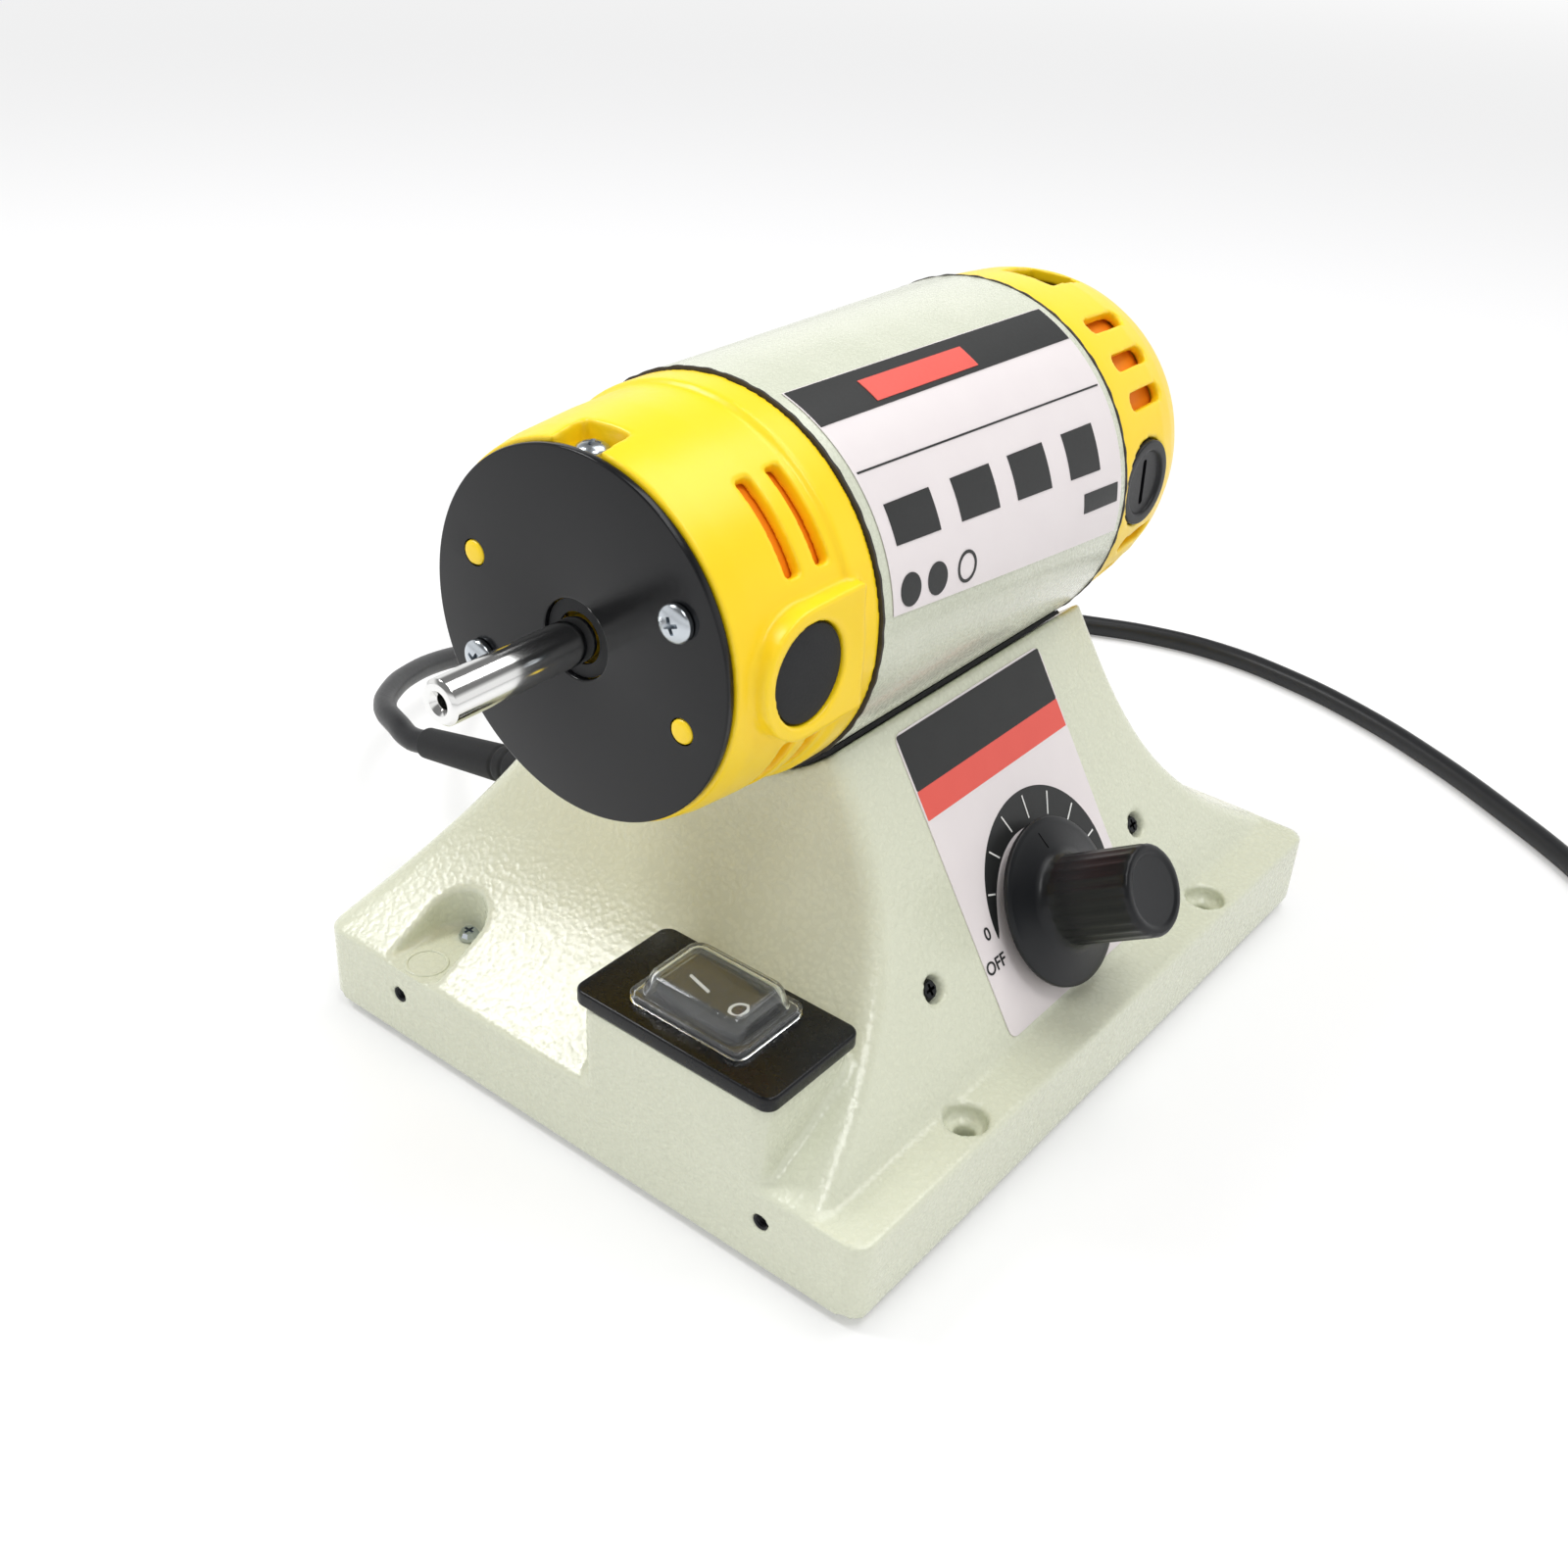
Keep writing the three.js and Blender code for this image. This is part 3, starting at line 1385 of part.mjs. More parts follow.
// Strain relief, in the left wall's frame: z out of the wall
function strainRelief() {
  const droop = Math.PI / 2 + wallTilt + THREE.MathUtils.degToRad(reliefDroop);
  const boot = spin([
    [0, -reliefRootRadius], [reliefRootRadius, -reliefRootRadius],
    [reliefTipRadius, reliefLength], [0, reliefLength],
  ], rodSides, 'z').rotateY(-droop);
  const outside = block(
    -reliefLength * 2, reliefLength * 2, -reliefLength, reliefLength, seatGap, reliefLength * 2,
  );
  const flange = rod(reliefFlangeRadius, seatGap, seatGap + reliefFlangeThickness);
  const inner = -sideWall - seatGap;
  const neck = rod(
    reliefNeckRadius, inner - reliefCollarThickness / 2, seatGap + reliefFlangeThickness / 2,
  );
  const collar = rod(reliefCollarRadius, inner - reliefCollarThickness, inner);
  return join(keep(boot, outside), flange, neck, collar);
}

// Mains lead, in the machine's frame
function coilPoints() {
  const turns = 2 * coilLayerTurns + coilClimbTurns;
  const innerRadius = coilOuterRadius - coilPitch * coilLayerTurns;
  const count = Math.round(turns * coilStepsPerTurn);
  return Array.from({ length: count + 1 }, (_, i) => {
    const turn = turns * i / count;
    const climb = THREE.MathUtils.clamp((turn - coilLayerTurns) / coilClimbTurns, 0, 1);
    const out = Math.max(turn - coilLayerTurns - coilClimbTurns, 0);
    const inward = Math.min(turn, coilLayerTurns);
    const radius = coilOuterRadius - coilPitch * inward + coilPitch * out;
    const angle = THREE.MathUtils.degToRad(coilStartAngle) + 2 * Math.PI * turn;
    return new THREE.Vector3(
      coilCentreX + radius * Math.cos(angle),
      coilCentreY + radius * Math.sin(angle),
      coilFloorHeight + coilLayerRise * THREE.MathUtils.smoothstep(climb, 0, 1),
    );
  });
}

function coilPath() {
  const points = coilPoints();
  const last = points.length - 1;
  const into = points[0].clone().sub(points[1]).setZ(0).setLength(coilLeadIn);
  const out = points[last].clone().sub(points[last - 1]).setZ(0).setLength(coilLeadOut);
  return [points[0].clone().add(into), ...points, points[last].clone().add(out)];
}

function directionAt(path, index) {
  const before = path[Math.max(index - 1, 0)];
  const after = path[Math.min(index + 1, path.length - 1)];
  return after.clone().sub(before).normalize();
}

function tubeRing(centre, direction, radius, sides) {
  const side = new THREE.Vector3(0, 0, 1).cross(direction).normalize();
  const up = direction.clone().cross(side);
  return Array.from({ length: sides }, (_, i) => {
    const angle = 2 * Math.PI * (i + 0.5) / sides;
    return centre.clone()
      .addScaledVector(side, radius * Math.cos(angle))
      .addScaledVector(up, radius * Math.sin(angle));
  });
}

function cordCoil() {
  const path = coilPath();
  return loft(path.map((point, i) => tubeRing(point, directionAt(path, i), cordRadius, coilSides)));
}

function leastCoilGap() {
  const path = coilPath();
  let least = Infinity;
  for (let i = 0; i < path.length; i += 1) {
    for (let j = i + coilStepsPerTurn / 4; j < path.length; j += 1) {
      least = Math.min(least, path[i].distanceTo(path[j]) - 2 * cordRadius);
    }
  }
  return least;
}

function reliefTip() {
  const droop = THREE.MathUtils.degToRad(reliefDroop);
  const direction = new THREE.Vector3(-Math.cos(droop), 0, -Math.sin(droop));
  const root = new THREE.Vector3(-reliefRootX - originX, reliefY - originY, reliefRootZ);
  return { point: root.clone().addScaledVector(direction, reliefLength), direction };
}

function cordStretch() {
  const { point, direction } = reliefTip();
  const path = coilPath();
  const arrival = directionAt(path, 0);
  const end = path[0].clone().addScaledVector(arrival, -seatGap);
  const points = [
    point.clone().addScaledVector(direction, seatGap),
    point.clone().addScaledVector(direction, seatGap + 2 * cordRadius),
    ...cordRoute.map(([x, y, z]) => new THREE.Vector3(x, y, z)),
    end.clone().addScaledVector(arrival, -2 * cordRadius),
    end,
  ];
  const curve = new THREE.CatmullRomCurve3(points, false, 'centripetal');
  const section = new THREE.Shape(Array.from({ length: cordSides }, (_, i) => {
    const angle = 2 * Math.PI * i / cordSides;
    return new THREE.Vector2(cordRadius * Math.cos(angle), cordRadius * Math.sin(angle));
  }));
  const length = curve.getLength();
  return {
    geometry: new THREE.ExtrudeGeometry(section, { steps: cordSteps, extrudePath: curve }),
    length,
  };
}

function mainsPlug() {
  const rings = [
    [0, plugNeckRadius * 2, plugNeckRadius * 2],
    [plugNeckLength, plugNeckRadius * 2, plugNeckRadius * 2],
    [plugShoulderLength, plugWidth * 0.88, plugThickness * 0.9],
    [plugBodyLength * 0.55, plugWidth, plugThickness],
    [plugBodyLength, plugWidth, plugThickness],
  ].map(([z, width, thickness]) => {
    const corner = Math.min(plugCorner, thickness / 2 - seatGap);
    return centredRing(width, thickness, corner, z);
  });
  const pin = rod(pinRadius, plugBodyLength - cutOverrun, plugBodyLength + pinLength, 'z', screwSides);
  return join(loft(rings), moved(pin, -pinSpacing / 2, 0, 0), moved(pin, pinSpacing / 2, 0, 0));
}

// Assembly
function piece(name, geometry, material) {
  const mesh = new THREE.Mesh(toGeometry(toSolid(geometry).simplify(facetTolerance)), material);
  mesh.name = name;
  return mesh;
}

function placedPiece(name, geometry, material, x, y, z) {
  const mesh = piece(name, geometry, material);
  mesh.position.set(x, y, z);
  return mesh;
}

function baseGroup() {
  const group = new THREE.Group();
  group.add(piece('base_casting', baseCasting(), castPaint));
  group.add(piece('bottom_cover', bottomCover(), darkSteel));
  for (const { name, x, y } of footPlaces()) {
    group.add(placedPiece(`foot_${name}`, foot(), blackRubber, x, y, 0));
  }
  const coverScrewZ = coverBottomZ + coverScrewSink - seatGap;
  for (const { name, x, y } of coverScrewPlaces()) {
    group.add(
      placedPiece(`cover_screw_${name}`, coverScrew(), zincSteel, x, y, coverScrewZ),
    );
  }
  const pocketScrew = screw(
    pocketScrewHeadRadius, pocketScrewHeadHeight, pocketScrewRadius, pocketScrewLength,
  );
  group.add(
    placedPiece('pocket_screw_front', pocketScrew, zincSteel, pocketX, pocketScrewY, pocketFloorZ + seatGap),
  );
  group.add(
    placedPiece('pocket_screw_rear', pocketScrew, zincSteel, pocketX, -pocketScrewY, pocketFloorZ + seatGap),
  );
  group.add(
    placedPiece('saddle_bolt_front', saddleBolt(), zincSteel, 0, saddleBoltFrontY, hollowRoofZ - seatGap),
  );
  group.add(
    placedPiece('saddle_bolt_rear', saddleBolt(), zincSteel, 0, saddleBoltRearY, hollowRoofZ - seatGap),
  );
  return group;
}

function switchGroup() {
  const group = new THREE.Group();
  group.add(piece('switch_plate', switchPlate(), blackPlastic));
  const unit = new THREE.Group();
  unit.position.set(switchX, switchY, switchPlateTopZ);
  unit.add(piece('switch_housing', switchHousing(), blackPlastic));
  unit.add(piece('switch_cover', clearCover(), clearPlastic));
  const rockerMesh = placedPiece(
    'switch_rocker', rocker(), blackPlastic, 0, 0, rockerPivotZ - switchPlateTopZ,
  );
  rockerMesh.rotation.y = THREE.MathUtils.degToRad(rockerRestTilt);
  unit.add(rockerMesh);
  group.add(unit);
  return group;
}

function panelGroup() {
  const group = new THREE.Group();
  group.position.set(panelTopX, 0, panelTopZ);
  group.rotation.y = panelTilt;
  group.add(piece('control_board', controlBoard(), boardGreen));
  group.add(piece('triac_heat_sink', heatSink(), aluminium));
  const [frontScrewY, rearScrewY] = panelScrewPlaces();
  const screwHeight = seatGap - panelScrewSink;
  group.add(
    placedPiece('panel_screw_front', panelScrew(), darkSteel, panelScrewDown, frontScrewY, screwHeight),
  );
  group.add(
    placedPiece('panel_screw_rear', panelScrew(), darkSteel, panelScrewDown, rearScrewY, screwHeight),
  );
  group.add(placedPiece('potentiometer_body', potentiometerBody(), zincSteel, knobDown, 0, 0));
  group.add(placedPiece('potentiometer_nut', potentiometerNut(), brass, knobDown, 0, 0));
  group.add(placedPiece('potentiometer_shaft', potentiometerShaft(), aluminium, knobDown, 0, 0));
  group.add(placedPiece('speed_knob', speedKnob(), blackPlastic, knobDown, 0, 0));
  return group;
}

function casingGroup() {
  const group = new THREE.Group();
  group.add(piece('saddle_gasket', saddleGasket(), blackRubber));
  group.add(piece('motor_barrel', motorBarrel(), castPaint));
  const turned = new THREE.Group();
  turned.rotation.y = -THREE.MathUtils.degToRad(capTurn);
  turned.add(piece('front_end_cap', frontEndCap(), yellowPlastic));
  turned.add(piece('rear_end_cap', rearEndCap(), yellowPlastic));
  turned.add(piece('face_plate', facePlate(), blackPlastic));
  for (const { name, x, z } of faceScrewPlaces()) {
    turned.add(
      placedPiece(`face_plate_screw_${name}`, faceScrew(), zincSteel, x, facePlateFrontY - seatGap, z),
    );
  }
  const notchScrew = screw(notchScrewHeadRadius, notchScrewHeadHeight, notchScrewRadius, notchScrewLength);
  turned.add(placedPiece('cap_screw', notchScrew, zincSteel, 0, notchScrewY, notchFloorRadius + seatGap));
  for (const [name, turn] of [['right', 0], ['left', Math.PI]]) {
    const side = new THREE.Group();
    side.rotation.y = turn;
    side.add(placedPiece(`side_plug_${name}`, sidePlug(), blackRubber, 0, sideBossY, 0));
    side.add(placedPiece(`brush_cap_${name}`, brushCap(), blackPlastic, 0, brushY, 0));
    side.add(placedPiece(`brush_holder_${name}`, brushHolder(), brass, 0, brushY, 0));
    side.add(placedPiece(`carbon_brush_${name}`, carbonBrush(), carbon, 0, brushY, 0));
    side.add(placedPiece(`brush_spring_${name}`, brushSpring(), zincSteel, 0, brushY, 0));
    turned.add(side);
  }
  group.add(turned);
  return group;
}

function motorInternals() {
  const group = new THREE.Group();
  group.add(piece('stator_core', statorCore(), laminatedSteel));
  group.add(piece('field_winding_upper', fieldWinding(), copper));
  const lower = piece('field_winding_lower', fieldWinding(), copper);
  lower.rotation.y = Math.PI;
  group.add(lower);
  const frontOuter = ring(frontBearingRadius, frontRaceSplit, 0, frontBearingWidth, raceSides);
  group.add(placedPiece('front_bearing_outer_race', frontOuter, polishedSteel, 0, frontBearingY, 0));
  const rearOuter = ring(rearBearingRadius, rearRaceSplit, 0, rearBearingWidth, raceSides);
  group.add(placedPiece('rear_bearing_outer_race', rearOuter, polishedSteel, 0, rearBearingY, 0));
  return group;
}

function rotorGroup() {
  const group = new THREE.Group();
  group.add(piece('spindle', spindle(), polishedSteel));
  group.add(piece('armature_core', armatureCore(), laminatedSteel));
  group.add(piece('armature_winding', armatureWinding(), copper));
  group.add(piece('commutator', commutator(), copper));
  group.add(piece('cooling_fan', coolingFan(), blackPlastic));
  const frontInner = ring(
    frontRaceSplit - seatGap, spindleRadius + seatGap, 0, frontBearingWidth, raceSides,
  );
  group.add(placedPiece('front_bearing_inner_race', frontInner, polishedSteel, 0, frontBearingY, 0));
  const rearInner = ring(
    rearRaceSplit - seatGap, spindleTailRadius + seatGap, 0, rearBearingWidth, raceSides,
  );
  group.add(placedPiece('rear_bearing_inner_race', rearInner, polishedSteel, 0, rearBearingY, 0));
  return group;
}

function machine() {
  const group = new THREE.Group();
  group.position.set(-originX, -originY, 0);
  const motor = new THREE.Group();
  motor.position.z = motorZ;
  motor.add(casingGroup(), motorInternals(), rotorGroup());
  const relief = piece('strain_relief', strainRelief(), blackRubber);
  relief.position.set(-reliefRootX, reliefY, reliefRootZ);
  relief.rotation.y = wallTilt;
  group.add(baseGroup(), switchGroup(), panelGroup(), motor, relief);
  return group;
}

function lead() {
  const group = new THREE.Group();
  const stretch = cordStretch();
  group.add(piece('cord_stretch', stretch.geometry, blackRubber));
  group.add(piece('cord_coil', cordCoil(), blackRubber));
  const path = coilPath();
  const last = path.length - 1;
  const direction = directionAt(path, last);
  const plug = piece('mains_plug', mainsPlug(), blackRubber);
  const side = new THREE.Vector3(0, 0, 1).cross(direction).normalize();
  plug.quaternion.setFromRotationMatrix(new THREE.Matrix4().makeBasis(
    side, direction.clone().cross(side), direction,
  ));
  plug.position.copy(path[last]).addScaledVector(direction, seatGap);
  group.add(plug);
  const coilLength = path.slice(1).reduce((sum, p, i) => sum + p.distanceTo(path[i]), 0);
  console.log(`lead: ${stretch.length.toFixed(0)} mm free, ${coilLength.toFixed(0)} mm in the coil`);
  console.log(`least gap between turns of the coil: ${leastCoilGap().toFixed(2)} mm`);
  return group;
}

const model = new THREE.Group();
model.add(machine(), lead());

export default model;
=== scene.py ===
"""Dresses the small bench polishing machine: cast base, motor, speed knob, switch and mains lead.

Sizes are millimetres in the machine's own frame, whose X and Y are zero on the motor's axis at the
middle of the base, and whose Z is zero on the floor. Finished meshes are made in metres.
"""
import json
import logging
from dataclasses import dataclass
from enum import Enum
from math import atan, ceil, cos, pi, radians, sin, tau
from typing import Callable, Iterable, Sequence

import bmesh
import bpy
from mathutils import Matrix, Vector


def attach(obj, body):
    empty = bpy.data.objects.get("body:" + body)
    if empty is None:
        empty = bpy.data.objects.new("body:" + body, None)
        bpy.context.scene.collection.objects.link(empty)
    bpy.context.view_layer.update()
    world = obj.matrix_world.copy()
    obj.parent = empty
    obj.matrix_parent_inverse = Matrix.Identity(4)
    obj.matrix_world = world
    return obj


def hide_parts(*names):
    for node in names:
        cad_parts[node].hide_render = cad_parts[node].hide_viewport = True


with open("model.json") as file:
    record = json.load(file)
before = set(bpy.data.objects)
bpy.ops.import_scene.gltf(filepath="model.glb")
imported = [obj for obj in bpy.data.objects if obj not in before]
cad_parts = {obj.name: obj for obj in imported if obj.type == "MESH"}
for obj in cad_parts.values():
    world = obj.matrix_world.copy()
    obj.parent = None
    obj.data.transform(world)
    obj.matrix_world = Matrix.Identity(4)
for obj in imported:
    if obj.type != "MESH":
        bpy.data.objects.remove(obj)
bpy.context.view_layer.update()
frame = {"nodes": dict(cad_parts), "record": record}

LOG = logging.getLogger("polishing_machine")
MM = 0.001
# Pieces that rest on each other stand this far apart
SEAT_GAP = 0.3
# Cutting tools reach this far past what they cut
OVERRUN = 3.0
# Corners closer than this, in metres, become one
WELD = 1e-7
# The sharpest upright corner of a block, and the facets on its eased edges
LEAST_CORNER = 0.05
EDGE_STEPS = 4
# A rounded corner takes at most this share of a side
CORNER_SHARE = 0.45
HOLE_SIDES = 48

RECORD = frame["record"]
JOINTS = {joint["name"]: joint for joint in RECORD["behaviour"]["joints"]}
SPINDLE_PLACE = Vector(JOINTS["spindle_spin"]["pos_m"]) / MM
ROCKER_PLACE = Vector(JOINTS["switch_rock"]["pos_m"]) / MM
MOTOR_HEIGHT = SPINDLE_PLACE.z
TO_ROW = Matrix.Translation((SPINDLE_PLACE.x, SPINDLE_PLACE.y, 0.0))
TO_MOTOR = TO_ROW @ Matrix.Translation((0.0, 0.0, MOTOR_HEIGHT))

UP = Vector((0.0, 0.0, 1.0))

Pair = tuple[float, float]
Triple = tuple[float, float, float]
Quad = tuple[float, float, float, float]
Pairs = tuple[Pair, ...]
Profile = Sequence[Pair]
Ring = list[Vector]
Piece = bpy.types.Object


class Axis(Enum):
    """The direction that a turned piece's height is laid along."""

    X = Matrix(((0, 0, 1), (0, 1, 0), (-1, 0, 0))).to_4x4()
    Y = Matrix(((1, 0, 0), (0, 0, 1), (0, -1, 0))).to_4x4()
    Z = Matrix.Identity(4)


class Body(Enum):
    """The machine's moving bodies, by the record's names."""

    BASE = "base"
    ROTOR = "rotor"
    KNOB = "speed_knob"
    ROCKER = "switch_rocker"


class Pattern(Enum):
    """How a surface was made, which decides the relief it shows."""

    HAMMERED = "hammered"
    MOULDED = "moulded"
    TURNED = "turned"
    PLATED = "plated"
    PRINTED = "printed"
    LAYERED = "layered"
    CLEAR = "clear"


# Materials

# Clouds of colour are about eleven grains wide
CLOUD_SHARE = 0.09
# Hammertone islands are warped by a pattern this coarse against them, this far in millimetres
WARP_SHARE = 0.6
WARP_REACH = 1.6
ISLAND_SOFTNESS = 0.7
# How wide tool marks are along the axis against their length round it
RING_STRETCH = 0.04
# Depth and roughness of the fine grain
GRAIN_DETAIL = 3.0
GRAIN_ROUGHNESS = 0.6
# Socket numbers of a Mix node's two colours
MIX_A, MIX_B = 6, 7


def linear(hex_colour: str) -> Quad:
    """Turns an sRGB hex colour to linear values.

    Args:
        hex_colour: A colour such as "#dde0cb".

    Returns:
        Linear red, green, blue and an alpha of 1.
    """
    channels = [int(hex_colour[i:i + 2], 16) / 255 for i in (1, 3, 5)]
    red, green, blue = (c / 12.92 if c <= 0.04045 else ((c + 0.055) / 1.055) ** 2.4 for c in channels)
    return (red, green, blue, 1.0)


def add_node(tree: bpy.types.NodeTree, kind: str, settings: dict | None = None,
             links: dict | None = None, **attributes: object) -> bpy.types.Node:
    """Adds a node with its settings and its incoming links.

    Args:
        tree: The node tree to add to.
        kind: The node's type name.
        settings: Values by input name or index.
        links: Output sockets by input name or index.
        attributes: The node's own properties.

    Returns:
        The new node.
    """
    node = tree.nodes.new(kind)
    for key, value in attributes.items():
        setattr(node, key, value)
    for key, value in (settings or {}).items():
        node.inputs[key].default_value = value
    for key, socket in (links or {}).items():
        tree.links.new(socket, node.inputs[key])
    return node


@dataclass(frozen=True)
class Finish:
    """One real material with the way its surface was made."""

    name: str
    colour: str
    roughness: float
    pattern: Pattern
    grain_mm: float
    relief_mm: float
    shade: str
    metallic: float = 0.0
    ior: float = 1.5
    coat: float = 0.0
    worn: float = 0.08
    clearness: float = 0.0
    coat_roughness: float = 0.12

    def material(self) -> bpy.types.Material:
        """Returns the material, made once."""
        known = bpy.data.materials.get(self.name)
        return known if known else self.build()

    def build(self) -> bpy.types.Material:
        """Builds the node tree.

        Returns:
            A material with its colour variation, roughness variation and relief.
        """
        material = bpy.data.materials.new(self.name)
        material.use_nodes = True
        tree = material.node_tree
        shader = tree.nodes["Principled BSDF"]
        for name, value in (("Metallic", self.metallic), ("Coat Weight", self.coat),
                            ("Coat Roughness", self.coat_roughness), ("Transmission Weight", self.clearness)):
            shader.inputs[name].default_value = value
        if self.metallic == 0:
            shader.inputs["IOR"].default_value = self.ior
        place = add_node(tree, "ShaderNodeTexCoord").outputs["Object"]
        height = self.relief(tree, place)
        cloud = add_node(tree, "ShaderNodeTexNoise", {
            "Scale": CLOUD_SHARE / (self.grain_mm * MM), "Detail": GRAIN_DETAIL,
        }, {"Vector": place})
        tone = add_node(tree, "ShaderNodeMix", {MIX_A: linear(self.colour), MIX_B: linear(self.shade)},
                        {0: cloud.outputs["Fac"]}, data_type="RGBA")
        spread = add_node(tree, "ShaderNodeMapRange", {
            "To Min": max(self.roughness - self.worn, 0.0), "To Max": min(self.roughness + self.worn, 1.0),
        }, {"Value": height})
        bump = add_node(tree, "ShaderNodeBump", {"Strength": 1.0, "Distance": self.relief_mm * MM},
                        {"Height": height})
        tree.links.new(tone.outputs[2], shader.inputs["Base Color"])
        tree.links.new(spread.outputs["Result"], shader.inputs["Roughness"])
        tree.links.new(bump.outputs["Normal"], shader.inputs["Normal"])
        return material

    def relief(self, tree: bpy.types.NodeTree, place: bpy.types.NodeSocket) -> bpy.types.NodeSocket:
        """Builds the height pattern of the surface.

        Args:
            tree: The material's tree.
            place: Object coordinates in metres.

        Returns:
            The height output, from 0 to 1.
        """
        per_metre = 1 / (self.grain_mm * MM)
        if self.pattern is Pattern.HAMMERED:
            # Paint that pulls into small rounded islands as it dries
            warp = add_node(tree, "ShaderNodeTexNoise", {
                "Scale": per_metre * WARP_SHARE, "Detail": 2.0,
            }, {"Vector": place})
            push = add_node(tree, "ShaderNodeVectorMath", {1: (WARP_REACH * MM,) * 3},
                            {0: warp.outputs["Color"]}, operation="MULTIPLY")
            warped = add_node(tree, "ShaderNodeVectorMath", None,
                              {0: place, 1: push.outputs["Vector"]}, operation="ADD")
            islands = add_node(tree, "ShaderNodeTexVoronoi", {
                "Scale": per_metre, "Smoothness": ISLAND_SOFTNESS,
            }, {"Vector": warped.outputs["Vector"]}, feature="SMOOTH_F1")
            raised = add_node(tree, "ShaderNodeMath", {0: 1.0}, {1: islands.outputs["Distance"]},
                              operation="SUBTRACT")
            return raised.outputs["Value"]
        if self.pattern in (Pattern.TURNED, Pattern.LAYERED):
            # Tool marks or stacked sheets: fine rings across the motor's axis
            stretch = add_node(tree, "ShaderNodeMapping", {"Scale": (RING_STRETCH, 1.0, RING_STRETCH)},
                               {"Vector": place})
            rings = add_node(tree, "ShaderNodeTexNoise", {"Scale": per_metre, "Detail": 2.0},
                             {"Vector": stretch.outputs["Vector"]})
            return rings.outputs["Fac"]
        grain = add_node(tree, "ShaderNodeTexNoise", {
            "Scale": per_metre, "Detail": GRAIN_DETAIL, "Roughness": GRAIN_ROUGHNESS,
        }, {"Vector": place})
        return grain.outputs["Fac"]


# Stove-baked hammertone enamel on cast metal: rounded islands 1.5 mm wide that break up highlights
HAMMERTONE = Finish("hammertone_enamel", "#d8dbc6", 0.27, Pattern.HAMMERED, 1.5, 0.13, "#d3d6c0", coat=0.2,
                    worn=0.05)
# The same enamel sprayed thinner on the drawn steel barrel, so its islands are smaller
BARREL_ENAMEL = Finish("barrel_enamel", "#d5d8c6", 0.27, Pattern.HAMMERED, 1.0, 0.1, "#cbcfbb", coat=0.3)
# Injection-moulded ABS, a warm yellow with a satin sheen
YELLOW_ABS = Finish("yellow_abs", "#ffdc16", 0.34, Pattern.MOULDED, 1.6, 0.012, "#ffd511", ior=1.52)
# The same plastic inside the vents, painted deep orange: painted shade there, and painted glow of the light
# that reaches it through the wall
SHADED_YELLOW_ABS = Finish("painted_shade_yellow_abs", "#ff9b10", 0.5, Pattern.MOULDED, 1.6, 0.012, "#fb8c0a", ior=1.52)
# Moulded ABS in black, satin
BLACK_ABS = Finish("black_abs", "#111215", 0.4, Pattern.MOULDED, 0.7, 0.015, "#0d0e11", ior=1.4)
# The same plastic from a polished mould, so that it mirrors what stands on it
GLOSS_ABS = Finish("gloss_black_abs", "#101114", 0.27, Pattern.MOULDED, 2.0, 0.004, "#0c0d10", ior=1.34,
                   worn=0.04)
# Moulded glass-filled nylon, nearly matt
NYLON = Finish("black_nylon", "#2c2c2b", 0.62, Pattern.MOULDED, 0.4, 0.01, "#252524", ior=1.4)
# Sheet steel under sprayed satin lacquer, smoother than the mouldings
BLACK_LACQUER = Finish("black_lacquer", "#101114", 0.2, Pattern.PLATED, 3.0, 0.003, "#0c0d0f", ior=1.38,
                       worn=0.05)
# Moulded phenolic, semi-gloss with a faint orange peel
PHENOLIC = Finish("black_phenolic", "#101216", 0.34, Pattern.MOULDED, 0.9, 0.01, "#0c0e11", ior=1.4)
# Ground and polished steel: fine rings round the bar, drawn as coarse as they need to show
POLISHED_STEEL = Finish("polished_steel", "#9c9993", 0.24, Pattern.TURNED, 0.12, 0.006, "#8a8782",
                        metallic=1.0)
# Bright zinc plate with a slight blue cast
ZINC_PLATE = Finish("zinc_plate", "#cdd3d8", 0.24, Pattern.PLATED, 0.5, 0.01, "#b4bac0", metallic=1.0)
# Chemically blackened steel, dark with a dull metal sheen
BLACK_STEEL = Finish("blackened_steel", "#3a3b3d", 0.4, Pattern.PLATED, 0.4, 0.01, "#2e2f31", metallic=1.0)
# Stacked electrical sheet under varnish: fine dark and light lines across the motor's axis
SHEET_STACK = Finish("sheet_stack", "#7b7d7e", 0.5, Pattern.LAYERED, 0.5, 0.03, "#5f6061", metallic=1.0)
# Enamelled copper wire, wound: reddish brown and glossy
COPPER_WIRE = Finish("enamelled_copper", "#b0633a", 0.32, Pattern.LAYERED, 0.6, 0.05, "#8d4a2a", metallic=1.0)
# A dark brown band along each seam where a cap meets the barrel: painted shade in the gap between them
SEAM_SHADE = Finish("painted_seam_shade", "#3b342c", 0.6, Pattern.MOULDED, 0.4, 0.03, "#2a2621")
# Drawn brass with fine lines along it
BRASS = Finish("drawn_brass", "#c6a758", 0.3, Pattern.TURNED, 0.3, 0.006, "#a98c45", metallic=1.0)
# Pressed carbon, dull and slightly sooty
CARBON = Finish("pressed_carbon", "#2f3032", 0.72, Pattern.MOULDED, 0.3, 0.02, "#262729")
# Glass-fibre circuit board under green solder resist, with a soft shine
BOARD = Finish("solder_resist", "#2c6a42", 0.38, Pattern.MOULDED, 0.8, 0.01, "#235535")
# Extruded aluminium, pale and softly lined
ALUMINIUM = Finish("extruded_aluminium", "#b9bbbc", 0.38, Pattern.TURNED, 0.4, 0.008, "#a3a5a6", metallic=1.0)
# Vulcanised rubber, dull with a very fine tooth
RUBBER = Finish("black_rubber", "#1d1e20", 0.66, Pattern.MOULDED, 0.5, 0.02, "#17181a", ior=1.42)
